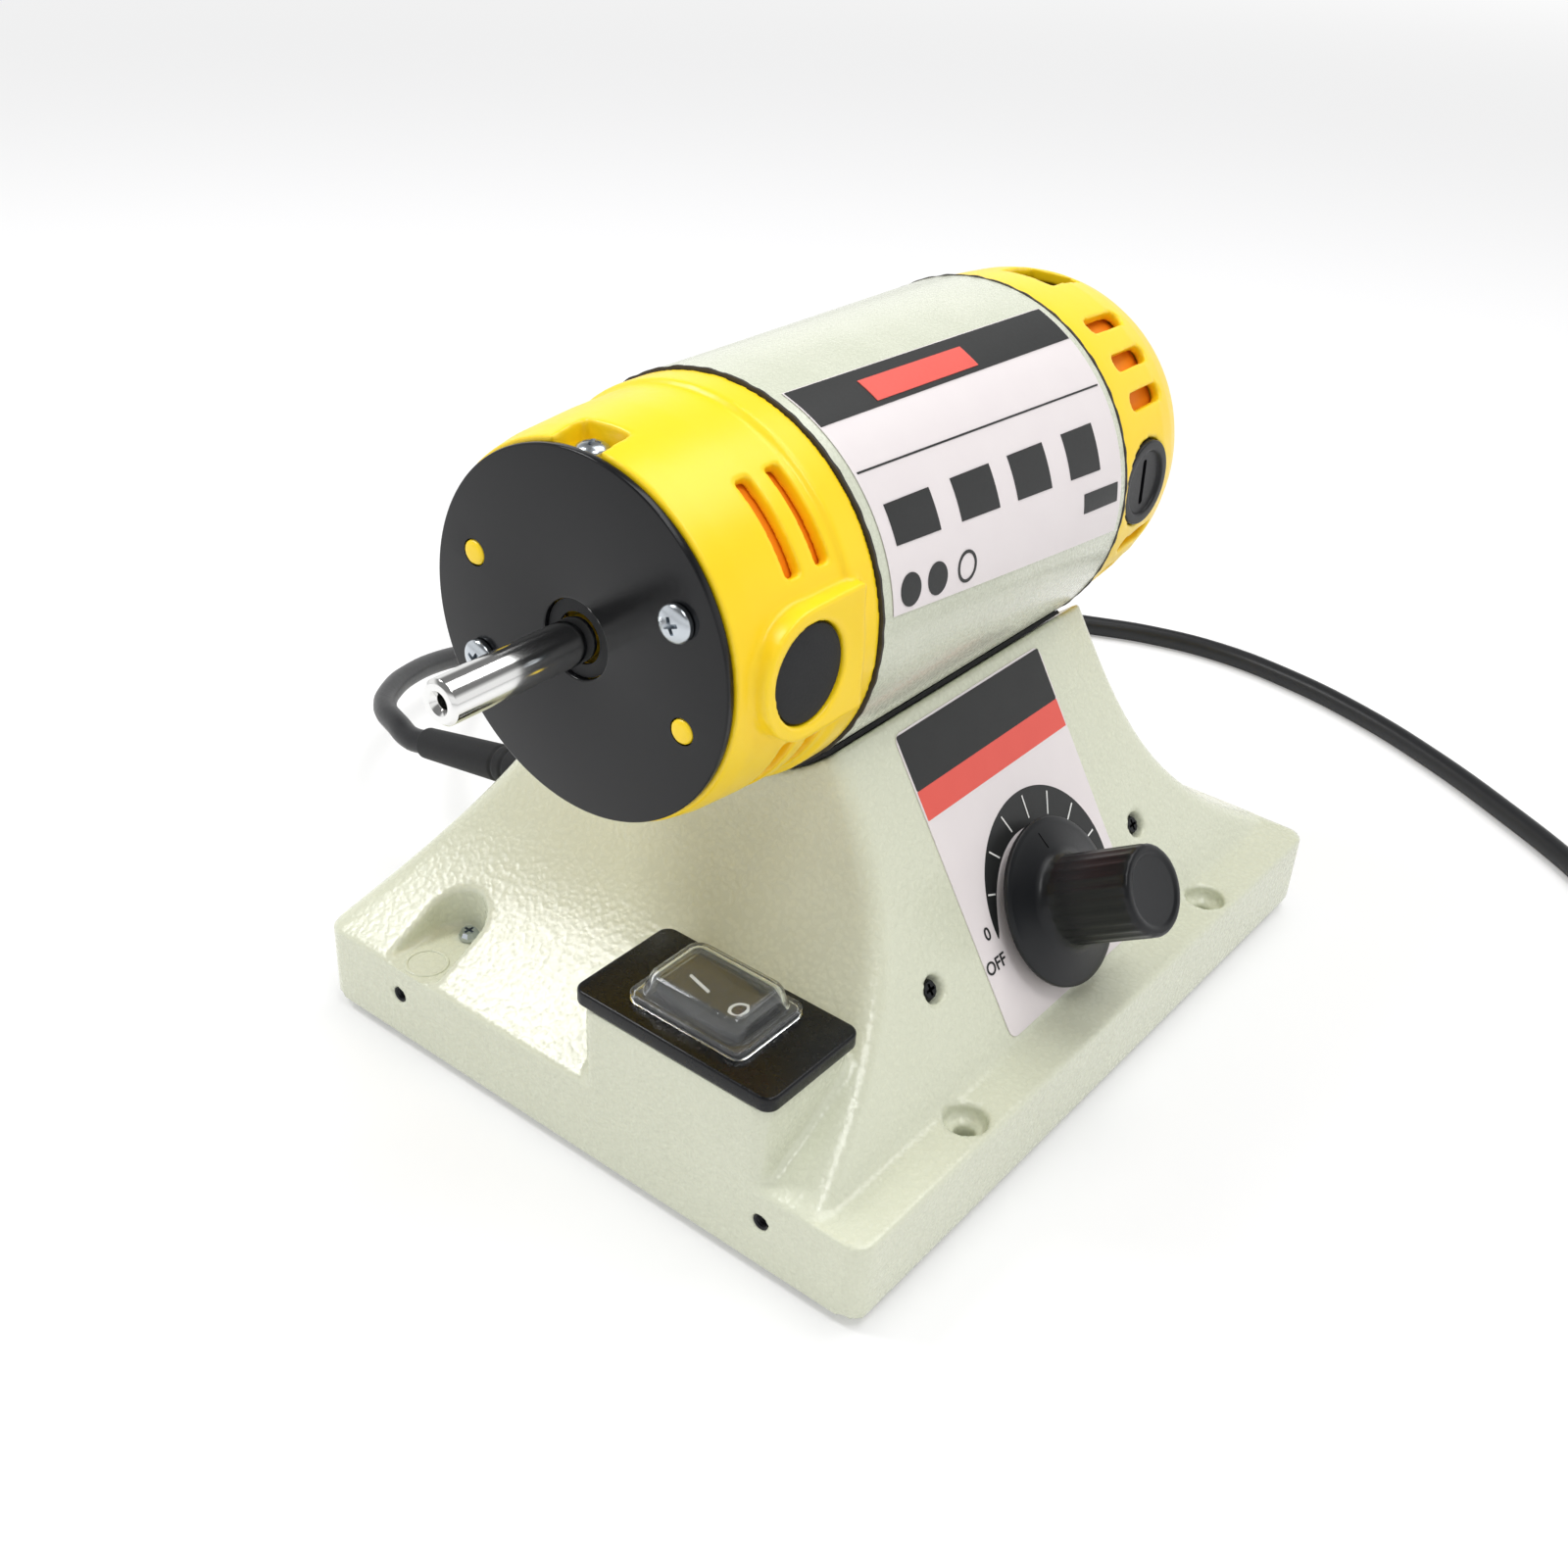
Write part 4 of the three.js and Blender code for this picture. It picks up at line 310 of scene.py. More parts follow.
# Extruded PVC sheath with a soft sheen
PVC_SHEATH = Finish("pvc_sheath", "#1b1c1f", 0.4, Pattern.MOULDED, 1.2, 0.012, "#151618", ior=1.42)
# Moulded clear soft PVC, which lets the rocker show and glints at its edges
CLEAR_PVC = Finish("clear_pvc", "#f4f6f7", 0.08, Pattern.CLEAR, 3.0, 0.004, "#eef1f2", ior=1.36, worn=0.03,
                   clearness=0.97)
# Polyester foil, a pale ground for the print
LABEL_FOIL = Finish("label_foil", "#e9e2e2", 0.4, Pattern.PRINTED, 1.0, 0.006, "#e4dcdd")
# Screen-printed inks, flat and a little dull
DARK_INK = Finish("dark_ink", "#2a2b2b", 0.42, Pattern.PRINTED, 0.8, 0.004, "#242525", ior=1.4)
RED_INK = Finish("red_ink", "#e85c50", 0.42, Pattern.PRINTED, 0.8, 0.004, "#e2564a")
WHITE_INK = Finish("white_ink", "#f2f2ef", 0.45, Pattern.PRINTED, 0.8, 0.004, "#ecece9")
# Painted shade in the bottom of an engraved line: near black and dull, so that it sends almost nothing back
GROOVE_SHADE = Finish("painted_groove_shade", "#08080a", 0.9, Pattern.PRINTED, 0.8, 0.004, "#050506", ior=1.1)

SLOT_FINISHES: dict[str, Finish] = {
    "hammered_paint": HAMMERTONE, "cover_steel": BLACK_LACQUER, "rubber": RUBBER,
    "cord_rubber": PVC_SHEATH, "yellow_plastic": YELLOW_ABS, "black_plastic": BLACK_ABS,
    "knob_plastic": PHENOLIC, "clear_plastic": CLEAR_PVC, "polished_steel": POLISHED_STEEL,
    "bearing_steel": POLISHED_STEEL, "zinc_steel": ZINC_PLATE, "dark_steel": BLACK_STEEL,
    "spring_steel": ZINC_PLATE, "laminated_steel": SHEET_STACK, "copper": COPPER_WIRE,
    "brass": BRASS, "carbon": CARBON, "board": BOARD, "aluminium": ALUMINIUM,
}


# Mesh making


def put_mesh(name: str, points: Iterable[Vector], faces: Iterable[Sequence[int]],
             place: Matrix = TO_ROW) -> Piece:
    """Makes an object from points in millimetres.

    Args:
        name: The piece's name.
        points: Corners in the frame that place leads from.
        faces: Corner numbers of each face.
        place: Leads from the points' frame to the row frame, in millimetres.

    Returns:
        The new object, with outward faces and its origin at the row's origin.
    """
    mesh = bpy.data.meshes.new(name)
    to_metres = Matrix.Scale(MM, 4) @ place
    mesh.from_pydata([to_metres @ Vector(point) for point in points], [], list(faces))
    work = bmesh.new()
    work.from_mesh(mesh)
    bmesh.ops.remove_doubles(work, verts=work.verts, dist=WELD)
    bmesh.ops.recalc_face_normals(work, faces=work.faces)
    work.to_mesh(mesh)
    work.free()
    piece = bpy.data.objects.new(name, mesh)
    bpy.context.scene.collection.objects.link(piece)
    return piece


def skin(name: str, rings: Sequence[Ring], place: Matrix = TO_ROW) -> Piece:
    """Lays a closed skin over a stack of rings with equal numbers of points.

    Args:
        name: The piece's name.
        rings: Rings from one end to the other.
        place: Leads from the rings' frame to the row frame.

    Returns:
        The closed piece.
    """
    count = len(rings[0])
    points = [point for ring in rings for point in ring]
    faces: list[Sequence[int]] = []
    for level in range(len(rings) - 1):
        for i in range(count):
            a, b = level * count + i, level * count + (i + 1) % count
            faces.append((a, b, b + count, a + count))
    faces.append(tuple(reversed(range(count))))
    faces.append(tuple(range(len(points) - count, len(points))))
    return put_mesh(name, points, faces, place)


def turned(name: str, profile: Profile, place: Matrix, axis: Axis = Axis.Y, sides: int = 96,
           ripple: Callable[[float, float], float] | None = None) -> Piece:
    """Turns a profile round an axis into a closed piece.

    Args:
        name: The piece's name.
        profile: Radius and height of each point; the ends lie on the axis or meet.
        place: Leads from the profile's frame to the row frame.
        axis: The direction of the heights.
        sides: Number of facets round the axis.
        ripple: Adds to the radius, from an angle and a height.

    Returns:
        The closed piece.
    """
    points = []
    for radius, height in profile:
        for i in range(sides):
            angle = tau * i / sides
            extra = ripple(angle, height) if ripple and radius > 0 else 0.0
            points.append(Vector(((radius + extra) * cos(angle), (radius + extra) * sin(angle), height)))
    faces = []
    for level in range(len(profile) - 1):
        if profile[level][0] == 0 and profile[level + 1][0] == 0:
            continue
        for i in range(sides):
            a, b = level * sides + i, level * sides + (i + 1) % sides
            faces.append((a, b, b + sides, a + sides))
    return put_mesh(name, points, faces, place @ axis.value)


def eased(corners: Profile, radius: float, closed: bool = False, steps: int = 4) -> list[Pair]:
    """Rounds the corners of an outline or a profile.

    Args:
        corners: The outline's corners.
        radius: How far each round reaches along the sides, at most 45% of a side.
        closed: Whether the last corner joins the first.
        steps: Facets on each round.

    Returns:
        The rounded outline.
    """
    points = [Vector(corner) for corner in corners]
    count = len(points)
    out: list[Pair] = []
    for i, point in enumerate(points):
        if not closed and i in (0, count - 1):
            out.append(tuple(point))
            continue
        before, after = points[i - 1] - point, points[(i + 1) % count] - point
        start = point + before.normalized() * min(radius, before.length * CORNER_SHARE)
        end = point + after.normalized() * min(radius, after.length * CORNER_SHARE)
        for step in range(steps + 1):
            t = step / steps
            out.append(tuple(start * (1 - t) ** 2 + point * 2 * t * (1 - t) + end * t ** 2))
    return out


def rounded_ring(left: float, right: float, front: float, back: float, radius: float, z: float,
                 steps: int = 8) -> Ring:
    """Makes a ring of points round a rectangle with round corners.

    Args:
        left: Lowest X.
        right: Highest X.
        front: Lowest Y.
        back: Highest Y.
        radius: Corner radius.
        z: The ring's height.
        steps: Facets on each corner.

    Returns:
        The points, anticlockwise from above.
    """
    corners = ((right - radius, front + radius, -90), (right - radius, back - radius, 0),
               (left + radius, back - radius, 90), (left + radius, front + radius, 180))
    return [Vector((x + radius * cos(radians(start + 90 * i / steps)),
                    y + radius * sin(radians(start + 90 * i / steps)), z))
            for x, y, start in corners for i in range(steps + 1)]


def rounded_block(name: str, sides: Quad, radius: float, bottom: float, top: float,
                  place: Matrix = TO_ROW, edge: float = 0.0) -> Piece:
    """Makes a block with round upright corners and, if asked, eased top and bottom edges.

    Args:
        name: The piece's name.
        sides: Left, right, front and back.
        radius: Upright corner radius.
        bottom: Lowest Z.
        top: Highest Z.
        place: Leads to the row frame.
        edge: Size of the eased edges.

    Returns:
        The closed block.
    """
    left, right, front, back = sides

    def level(inset: float, z: float) -> Ring:
        """Returns the ring at one height."""
        return rounded_ring(left + inset, right - inset, front + inset, back - inset,
                            max(radius - inset, LEAST_CORNER), z)

    if edge == 0:
        return skin(name, [level(0, bottom), level(0, top)], place)
    turn = [radians(90 * i / EDGE_STEPS) for i in range(EDGE_STEPS + 1)]
    lower = [level(edge * (1 - sin(a)), bottom + edge * (1 - cos(a))) for a in turn]
    upper = [level(edge * (1 - cos(a)), top - edge * (1 - sin(a))) for a in turn]
    return skin(name, [*lower, *upper], place)


def plain_block(name: str, x: Pair, y: Pair, z: Pair, place: Matrix = TO_ROW) -> Piece:
    """Makes a sharp-cornered block to cut with, between pairs of limits."""
    ring = [(x[0], y[0]), (x[1], y[0]), (x[1], y[1]), (x[0], y[1])]
    return skin(name, [[Vector((a, b, level)) for a, b in ring] for level in z], place)


def bored(radius: float, start: float, end: float, place: Matrix, axis: Axis = Axis.Z,
          sides: int = HOLE_SIDES) -> Piece:
    """Makes a cylinder from start to end along an axis, to cut a hole with or to join on."""
    return turned("cutter", [(0, start), (radius, start), (radius, end), (0, end)], place, axis, sides)


def sunk(radii: Pair, levels: Triple, place: Matrix) -> Piece:
    """Makes the tool for a screw's hole and the wider seat above it, from three heights."""
    (narrow, wide), (foot, seat, top) = radii, levels
    return turned("cutter", [(0, foot), (narrow, foot), (narrow, seat), (wide, seat), (wide, top), (0, top)],
                  place, Axis.Z, HOLE_SIDES)


def settle(piece: Piece) -> Piece:
    """Applies a piece's modifiers to its mesh.

    Args:
        piece: The piece to change.

    Returns:
        The same piece, without modifiers.
    """
    graph = bpy.context.evaluated_depsgraph_get()
    graph.update()
    baked = bpy.data.meshes.new_from_object(piece.evaluated_get(graph))
    old = piece.data
    piece.modifiers.clear()
    piece.data = baked
    baked.name = piece.name
    bpy.data.meshes.remove(old)
    return piece


def carve(piece: Piece, tools: Sequence[Piece], operation: str = "DIFFERENCE") -> Piece:
    """Cuts with, adds or keeps what lies in each of several closed tools, which are used up.

    Args:
        piece: The piece to change.
        tools: The cutting or joining solids.
        operation: A Boolean modifier's operation.

    Returns:
        The changed piece.
    """
    for tool in tools:
        change = piece.modifiers.new("carve", "BOOLEAN")
        change.operation = operation
        change.solver = "EXACT"
        change.object = tool
    settle(piece)
    for tool in tools:
        bpy.data.objects.remove(tool)
    return piece


def soften(piece: Piece, voxel: float, passes: int) -> Piece:
    """Gives a piece the even, slightly rounded skin of a casting or moulding.

    Args:
        piece: The sharp-edged solid.
        voxel: Size of the new facets in millimetres.
        passes: How often the skin is smoothed.

    Returns:
        The softened piece.
    """
    remesh = piece.modifiers.new("skin", "REMESH")
    remesh.mode = "VOXEL"
    remesh.voxel_size = voxel * MM
    settle(piece)
    smooth = piece.modifiers.new("ease", "SMOOTH")
    smooth.factor = 0.5
    smooth.iterations = passes
    return settle(piece)


def moved(x: float = 0.0, y: float = 0.0, z: float = 0.0) -> Matrix:
    """Returns the matrix that moves a piece by some millimetres."""
    return Matrix.Translation((x, y, z))


def finish_piece(piece: Piece, finish: Finish, slot: str, *nodes: str, body: Body = Body.BASE,
                 angle: float = 35.0) -> Piece:
    """Dresses a piece, hangs it on its body and hides the CAD nodes that it replaces.

    Args:
        piece: The finished shape.
        finish: Its material.
        slot: The record's material slot; not used.
        nodes: CAD nodes that it replaces.
        body: The body that it moves with.
        angle: Edges sharper than this, in degrees, stay crisp.

    Returns:
        The piece.
    """
    piece.data.materials.clear()
    piece.data.materials.append(finish.material())
    if isinstance(piece.data, bpy.types.Mesh):
        piece.data.shade_smooth()
        piece.data.set_sharp_from_angle(angle=radians(angle))
    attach(piece, body.value)
    if nodes:
        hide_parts(*nodes)
    LOG.info("made %s on %s", piece.name, body.value)
    return piece


# Studio

WHITE = (1.0, 1.0, 1.0, 1.0)


@dataclass(frozen=True)
class SoftBox:
    """One square lamp, with its place and side in metres."""

    name: str
    place: Triple
    size: float
    watts: float

    def hang(self, aim: Triple) -> None:
        """Hangs the lamp so that it looks at a point.

        Args:
            aim: The point, in metres.
        """
        data = bpy.data.lights.new(self.name, "AREA")
        data.size = self.size
        data.energy = self.watts
        lamp = bpy.data.objects.new(self.name, data)
        lamp.location = self.place
        way = Vector(aim) - lamp.location
        lamp.rotation_euler = way.to_track_quat("-Z", "Y").to_euler()
        bpy.context.scene.collection.objects.link(lamp)


@dataclass
class Studio:
    """Camera, floor, world and lamps."""

    azimuth: float = 36.775
    elevation: float = 31.755
    roll: float = 3.479
    lens: float = 40.6546
    sensor: float = 36.0
    place: Triple = (221.34, -319.33, 301.02)
    near_clip: float = 0.01
    floor_reach: float = 4000.0
    paper: tuple[str, str] = ("#f7f7f8", "#fafafa")
    paper_clouds: float = 3.0
    paper_glow: float = 0.3
    paper_fade: Pair = (0.9, 2.6)
    world_light: float = 0.62
    ceiling_light: float = 0.22
    backdrop_rim: Pair = (0.34, 0.56)
    lamps: tuple[SoftBox, ...] = (
        SoftBox("soft_box_top", (0.15, 0.5, 1.25), 0.8, 5.8),
        SoftBox("soft_box_left", (-0.66, -0.34, 1.0), 0.3, 4.8),
        SoftBox("soft_box_right", (0.5, -0.2, 1.2), 0.35, 3.3),
    )
    lamp_aim: Triple = (0.0, 0.0, 0.08)

    def camera(self) -> None:
        """Sets the camera at the photograph's place."""
        turn, lift, roll = (radians(angle) for angle in (self.azimuth, self.elevation, self.roll))
        back = Vector((sin(turn) * cos(lift), -cos(turn) * cos(lift), sin(lift)))
        level = Vector((cos(turn), sin(turn), 0.0))
        upright = back.cross(level)
        right = level * cos(roll) + upright * sin(roll)
        up = upright * cos(roll) - level * sin(roll)
        data = bpy.data.cameras.new("camera")
        data.lens = self.lens
        data.sensor_width = self.sensor
        data.sensor_fit = "HORIZONTAL"
        data.clip_start = self.near_clip
        camera = bpy.data.objects.new("camera", data)
        camera.matrix_world = Matrix.Translation(Vector(self.place) * MM) @ Matrix(
            (right, up, back)).transposed().to_4x4()
        bpy.context.scene.collection.objects.link(camera)
        bpy.context.scene.camera = camera

    def floor(self) -> None:
        """Lays the pale floor, which keeps the machine's shadow."""
        reach = self.floor_reach
        corners = [Vector((x, y, 0.0)) for x, y in ((-reach, -reach), (reach, -reach), (reach, reach),
                                                    (-reach, reach))]
        floor = put_mesh("floor", corners, [(0, 1, 2, 3)])
        material = bpy.data.materials.new("white_paper")
        material.use_nodes = True
        tree = material.node_tree
        tree.nodes.clear()
        grain = add_node(tree, "ShaderNodeTexNoise", {"Scale": self.paper_clouds})
        tones = [linear(colour) for colour in self.paper]
        tone = add_node(tree, "ShaderNodeMix", {MIX_A: tones[0], MIX_B: tones[1]},
                        {0: grain.outputs["Fac"]}, data_type="RGBA")
        paper = add_node(tree, "ShaderNodeBsdfDiffuse", None, {"Color": tone.outputs[2]})
        white = add_node(tree, "ShaderNodeEmission", {"Color": WHITE, "Strength": 1.0})
        # The paper turns plain white away from the machine, where no shadow falls on it
        place = add_node(tree, "ShaderNodeTexCoord")
        away = add_node(tree, "ShaderNodeVectorMath", None, {0: place.outputs["Object"]}, operation="LENGTH")
        near, far = self.paper_fade
        share = add_node(tree, "ShaderNodeMapRange", {
            "From Min": near, "From Max": far, "To Min": self.paper_glow, "To Max": 1.0,
        }, {"Value": away.outputs["Value"]})
        rays = add_node(tree, "ShaderNodeLightPath")
        seen = add_node(tree, "ShaderNodeMath", None, {
            0: rays.outputs["Is Camera Ray"], 1: share.outputs["Result"]}, operation="MULTIPLY")
        mixed = add_node(tree, "ShaderNodeMixShader", None, {
            0: seen.outputs["Value"], 1: paper.outputs["BSDF"], 2: white.outputs["Emission"]})
        add_node(tree, "ShaderNodeOutputMaterial", None, {"Surface": mixed.outputs["Shader"]})
        floor.data.materials.append(material)

    def world(self) -> None:
        """Sets a plain world that looks white and lights gently."""
        world = bpy.data.worlds.new("studio")
        bpy.context.scene.world = world
        world.use_nodes = True
        tree = world.node_tree
        tree.nodes.clear()
        rays = add_node(tree, "ShaderNodeLightPath")
        looked = add_node(tree, "ShaderNodeMath", None, {
            0: rays.outputs["Is Camera Ray"], 1: rays.outputs["Is Transmission Ray"]}, operation="MAXIMUM")
        gentle = add_node(tree, "ShaderNodeBackground", {"Color": WHITE, "Strength": self.world_light})
        white = add_node(tree, "ShaderNodeBackground", {"Color": WHITE, "Strength": 1.0})
        # Shiny pieces mirror the white backdrop up to its rim and the dim ceiling above it
        way = add_node(tree, "ShaderNodeTexCoord")
        split = add_node(tree, "ShaderNodeSeparateXYZ", None, {"Vector": way.outputs["Generated"]})
        low, high = self.backdrop_rim
        rise = add_node(tree, "ShaderNodeMapRange", {
            "From Min": low, "From Max": high, "To Min": 1.0, "To Max": self.ceiling_light,
        }, {"Value": split.outputs["Z"]})
        mirrored = add_node(tree, "ShaderNodeBackground", {"Color": WHITE},
                            {"Strength": rise.outputs["Result"]})
        lit = add_node(tree, "ShaderNodeMixShader", None, {
            0: rays.outputs["Is Glossy Ray"], 1: gentle.outputs["Background"],
            2: mirrored.outputs["Background"]})
        mixed = add_node(tree, "ShaderNodeMixShader", None, {
            0: looked.outputs["Value"], 1: lit.outputs["Shader"], 2: white.outputs["Background"]})
        add_node(tree, "ShaderNodeOutputWorld", None, {"Surface": mixed.outputs["Shader"]})

    def build(self) -> None:
        """Builds the whole studio."""
        self.camera()
        self.floor()
        self.world()
        for lamp in self.lamps:
            lamp.hang(self.lamp_aim)
        bpy.context.scene.view_settings.view_transform = "Standard"


# The mains lead


@dataclass
class MainsLead:
    """The lead with its strain relief and plug, in the row frame."""

    radius: float = 3.5
    wall_lean: float = 0.517
    foot_reach: float = 79.75
    relief_y: float = -46.7
    relief_rise: float = 23.2
    ledge: float = 24.35
    droop: float = 11.0
    relief_length: float = 42.6
    relief_root: float = 5.6
    relief_tip: float = 4.5
    flange_radius: float = 8.0
    flange_thickness: float = 2.2
    relief_beads: tuple[float, ...] = (0.16, 0.26)
    # A bead's half width as a share of the relief's length, its groove's depth and the step beyond it
    bead_width: float = 0.02
    bead_depth: float = 0.5
    bead_step: float = 0.02
    relief_edge: float = 0.5
    flange_edge: float = 0.7
    flange_rise: float = 1.3
    # Radius, foot and top of the parts in the wall's hole
    inner_neck: Triple = (4.6, -9.7, 1.0)
    inner_collar: Triple = (7.0, -9.7, -7.7)
    behind_reach: float = 30.0
    behind_depth: float = 40.0
    relief_sides: int = 48
    coil_centre: Pair = (205.0, 212.0)
    coil_outer: float = 46.5
    pitch: float = 8.8
    layer_turns: float = 2.375
    climb_turns: float = 0.5
    start_angle: float = 239.3
    floor_height: float = 3.7
    layer_rise: float = 7.6
    points_per_turn: int = 20
    lead_in: float = 7.0
    lead_out: float = 28.0
    plug_length: float = 42.0
    plug_width: float = 33.0
    plug_thickness: float = 22.0
    neck_radius: float = 6.5
    pin_radius: float = 2.4
    pin_length: float = 19.0
    pin_spacing: float = 19.0
    pin_root: float = 2.0
    pin_nose: float = 1.4
    pin_blunt: float = 0.45
    pin_edge: float = 0.9
    pin_sides: int = 32
    # The neck's stations: shares of the plug's length and of the neck's width and thickness
    neck_stations: tuple[Triple, ...] = (
        (0.0, 0.8, 0.8), (0.04, 1.0, 1.0), (0.1, 1.0, 1.0), (0.13, 0.86, 0.86), (0.17, 0.86, 0.86),
        (0.2, 1.02, 1.02))
    neck_power: float = 2.2
    # The body's stations: shares of its length, width and thickness, and how square it is
    body_stations: tuple[Quad, ...] = (
        (0.3, 0.62, 0.72, 2.3), (0.4, 0.86, 0.9, 2.6), (0.5, 0.96, 0.98, 3.0), (0.62, 1.0, 1.0, 3.4),
        (0.8, 0.97, 0.97, 3.8), (0.95, 0.98, 0.98, 4.2), (0.985, 0.965, 0.965, 4.2), (1.0, 0.93, 0.93, 4.2))
    smooth_angle: float = 50.0
    cord_facets: int = 5
    plug_sides: int = 64
    real_length: float = 1.81
    # The lead's route where it isn't coiled, listed in metres
    route: tuple[Triple, ...] = (
        (-0.1363, -0.0306, 0.0376), (-0.1506, -0.0234, 0.0348), (-0.1642, -0.0090, 0.0306),
        (-0.1753, 0.0086, 0.0252), (-0.1840, 0.0270, 0.0190), (-0.1902, 0.0470, 0.0124),
        (-0.1934, 0.0700, 0.0072), (-0.1916, 0.0950, 0.0042), (-0.1824, 0.1220, 0.0037),
        (-0.1636, 0.1510, 0.0037), (-0.1376, 0.1790, 0.0037), (-0.1082, 0.2030, 0.0037),
        (-0.0794, 0.2216, 0.0037), (-0.0520, 0.2358, 0.0037), (-0.0318, 0.2446, 0.0037),
        (-0.0062, 0.2502, 0.0037), (0.0220, 0.2490, 0.0037), (0.0524, 0.2421, 0.0037),
        (0.0856, 0.2288, 0.0037), (0.1160, 0.2126, 0.0037), (0.1398, 0.1980, 0.0037),
    )

    def relief_line(self) -> tuple[Vector, Vector]:
        """Returns where the relief leaves the wall and the way it points, in the row frame."""
        root = Vector((-(self.foot_reach - self.wall_lean * self.relief_rise), self.relief_y,
                       self.ledge + self.relief_rise))
        droop = radians(self.droop)
        return TO_ROW @ root, Vector((-cos(droop), 0.0, -sin(droop)))

    def wall_frame(self) -> Matrix:
        """Returns the frame of the relief's seat, with Z out of the casting's wall."""
        root, _ = self.relief_line()
        normal = Vector((-1.0, 0.0, self.wall_lean)).normalized()
        return Matrix.Translation(root) @ UP.rotation_difference(normal).to_matrix().to_4x4()

    def coil_points(self) -> list[Vector]:
        """Works out the coil: in on the floor, up half a turn, and out again on top.

        Returns:
            Its points, from the straight lead-in to the straight lead-out.
        """
        turns = 2 * self.layer_turns + self.climb_turns
        count = ceil(turns * self.points_per_turn)
        centre = Vector((*self.coil_centre, 0.0))
        points = []
        for i in range(count + 1):
            turn = turns * i / count
            climb = min(max((turn - self.layer_turns) / self.climb_turns, 0.0), 1.0)
            inward = min(turn, self.layer_turns)
            outward = max(turn - self.layer_turns - self.climb_turns, 0.0)
            radius = self.coil_outer - self.pitch * inward + self.pitch * outward
            angle = radians(self.start_angle) + tau * turn
            height = self.floor_height + self.layer_rise * climb * climb * (3 - 2 * climb)
            points.append(centre + Vector((radius * cos(angle), radius * sin(angle), height)))
        return [self.beyond(points[1], points[0], self.lead_in), *points,
                self.beyond(points[-2], points[-1], self.lead_out * 0.5),
                self.beyond(points[-2], points[-1], self.lead_out)]

    @staticmethod
    def beyond(inner: Vector, outer: Vector, distance: float) -> Vector:
        """Returns the point that lies level with outer, a distance past it as seen from inner."""
        way = Vector((outer.x - inner.x, outer.y - inner.y, 0.0))
        return outer + way.normalized() * distance

    def cord(self) -> None:
        """Lays the whole lead as one round sheath."""
        root, way = self.relief_line()
        tip = root + way * self.relief_length
        coil = self.coil_points()
        arrival = (coil[1] - coil[0]).normalized()
        points = [tip, tip + way * (SEAT_GAP + 2 * self.radius), *(Vector(p) / MM for p in self.route),
                  coil[0] - arrival * (SEAT_GAP + 2 * self.radius), *coil]
        curve = bpy.data.curves.new("mains_cord", "CURVE")
        curve.dimensions = "3D"
        curve.bevel_depth = self.radius * MM
        curve.bevel_resolution = self.cord_facets
        curve.resolution_u = self.cord_facets
        curve.use_fill_caps = True
        spline = curve.splines.new("BEZIER")
        spline.bezier_points.add(len(points) - 1)
        for knot, point in zip(spline.bezier_points, points):
            knot.co = point * MM
            knot.handle_left_type = knot.handle_right_type = "AUTO"
        cord = bpy.data.objects.new("mains_cord", curve)
        bpy.context.scene.collection.objects.link(cord)
        finish_piece(cord, PVC_SHEATH, "cord_rubber", "cord_stretch", "cord_coil")
        plug = self.plug(points)

    def relief(self) -> None:
        """Makes the tapered strain relief with its flange on the wall."""
        root, way = self.relief_line()
        tilt = UP.rotation_difference(way).to_matrix().to_4x4()
        place = Matrix.Translation(root) @ tilt
        length = self.relief_length
        profile = [(0.0, -self.relief_root), (self.relief_root, -self.relief_root)]
        for share in self.relief_beads:
            radius = self.relief_root + (self.relief_tip - self.relief_root) * share
            at, bead = length * share, length * self.bead_width
            profile += [(radius, at - bead), (radius - self.bead_depth, at),
                        (radius - self.bead_step, at + bead)]
        profile += [(self.relief_tip, length), (0.0, length)]
        boot = turned("strain_relief_boot", eased(profile, self.relief_edge), place, Axis.Z,
                      self.relief_sides)
        wall = self.wall_frame()
        crest = SEAT_GAP + self.flange_thickness * self.flange_rise
        rim = [(0.0, SEAT_GAP), (self.flange_radius, SEAT_GAP),
               (self.flange_radius, SEAT_GAP + self.flange_thickness), (self.relief_root, crest),
               (0.0, crest)]
        flange = turned("flange", eased(rim, self.flange_edge), wall, Axis.Z, self.relief_sides)
        across = (-self.behind_reach, self.behind_reach)
        carve(boot, [plain_block("cutter", across, across, (-self.behind_depth, SEAT_GAP), wall)])
        carve(boot, [flange, bored(*self.inner_neck, wall), bored(*self.inner_collar, wall)], "UNION")
        finish_piece(boot, RUBBER, "cord_rubber", "strain_relief")

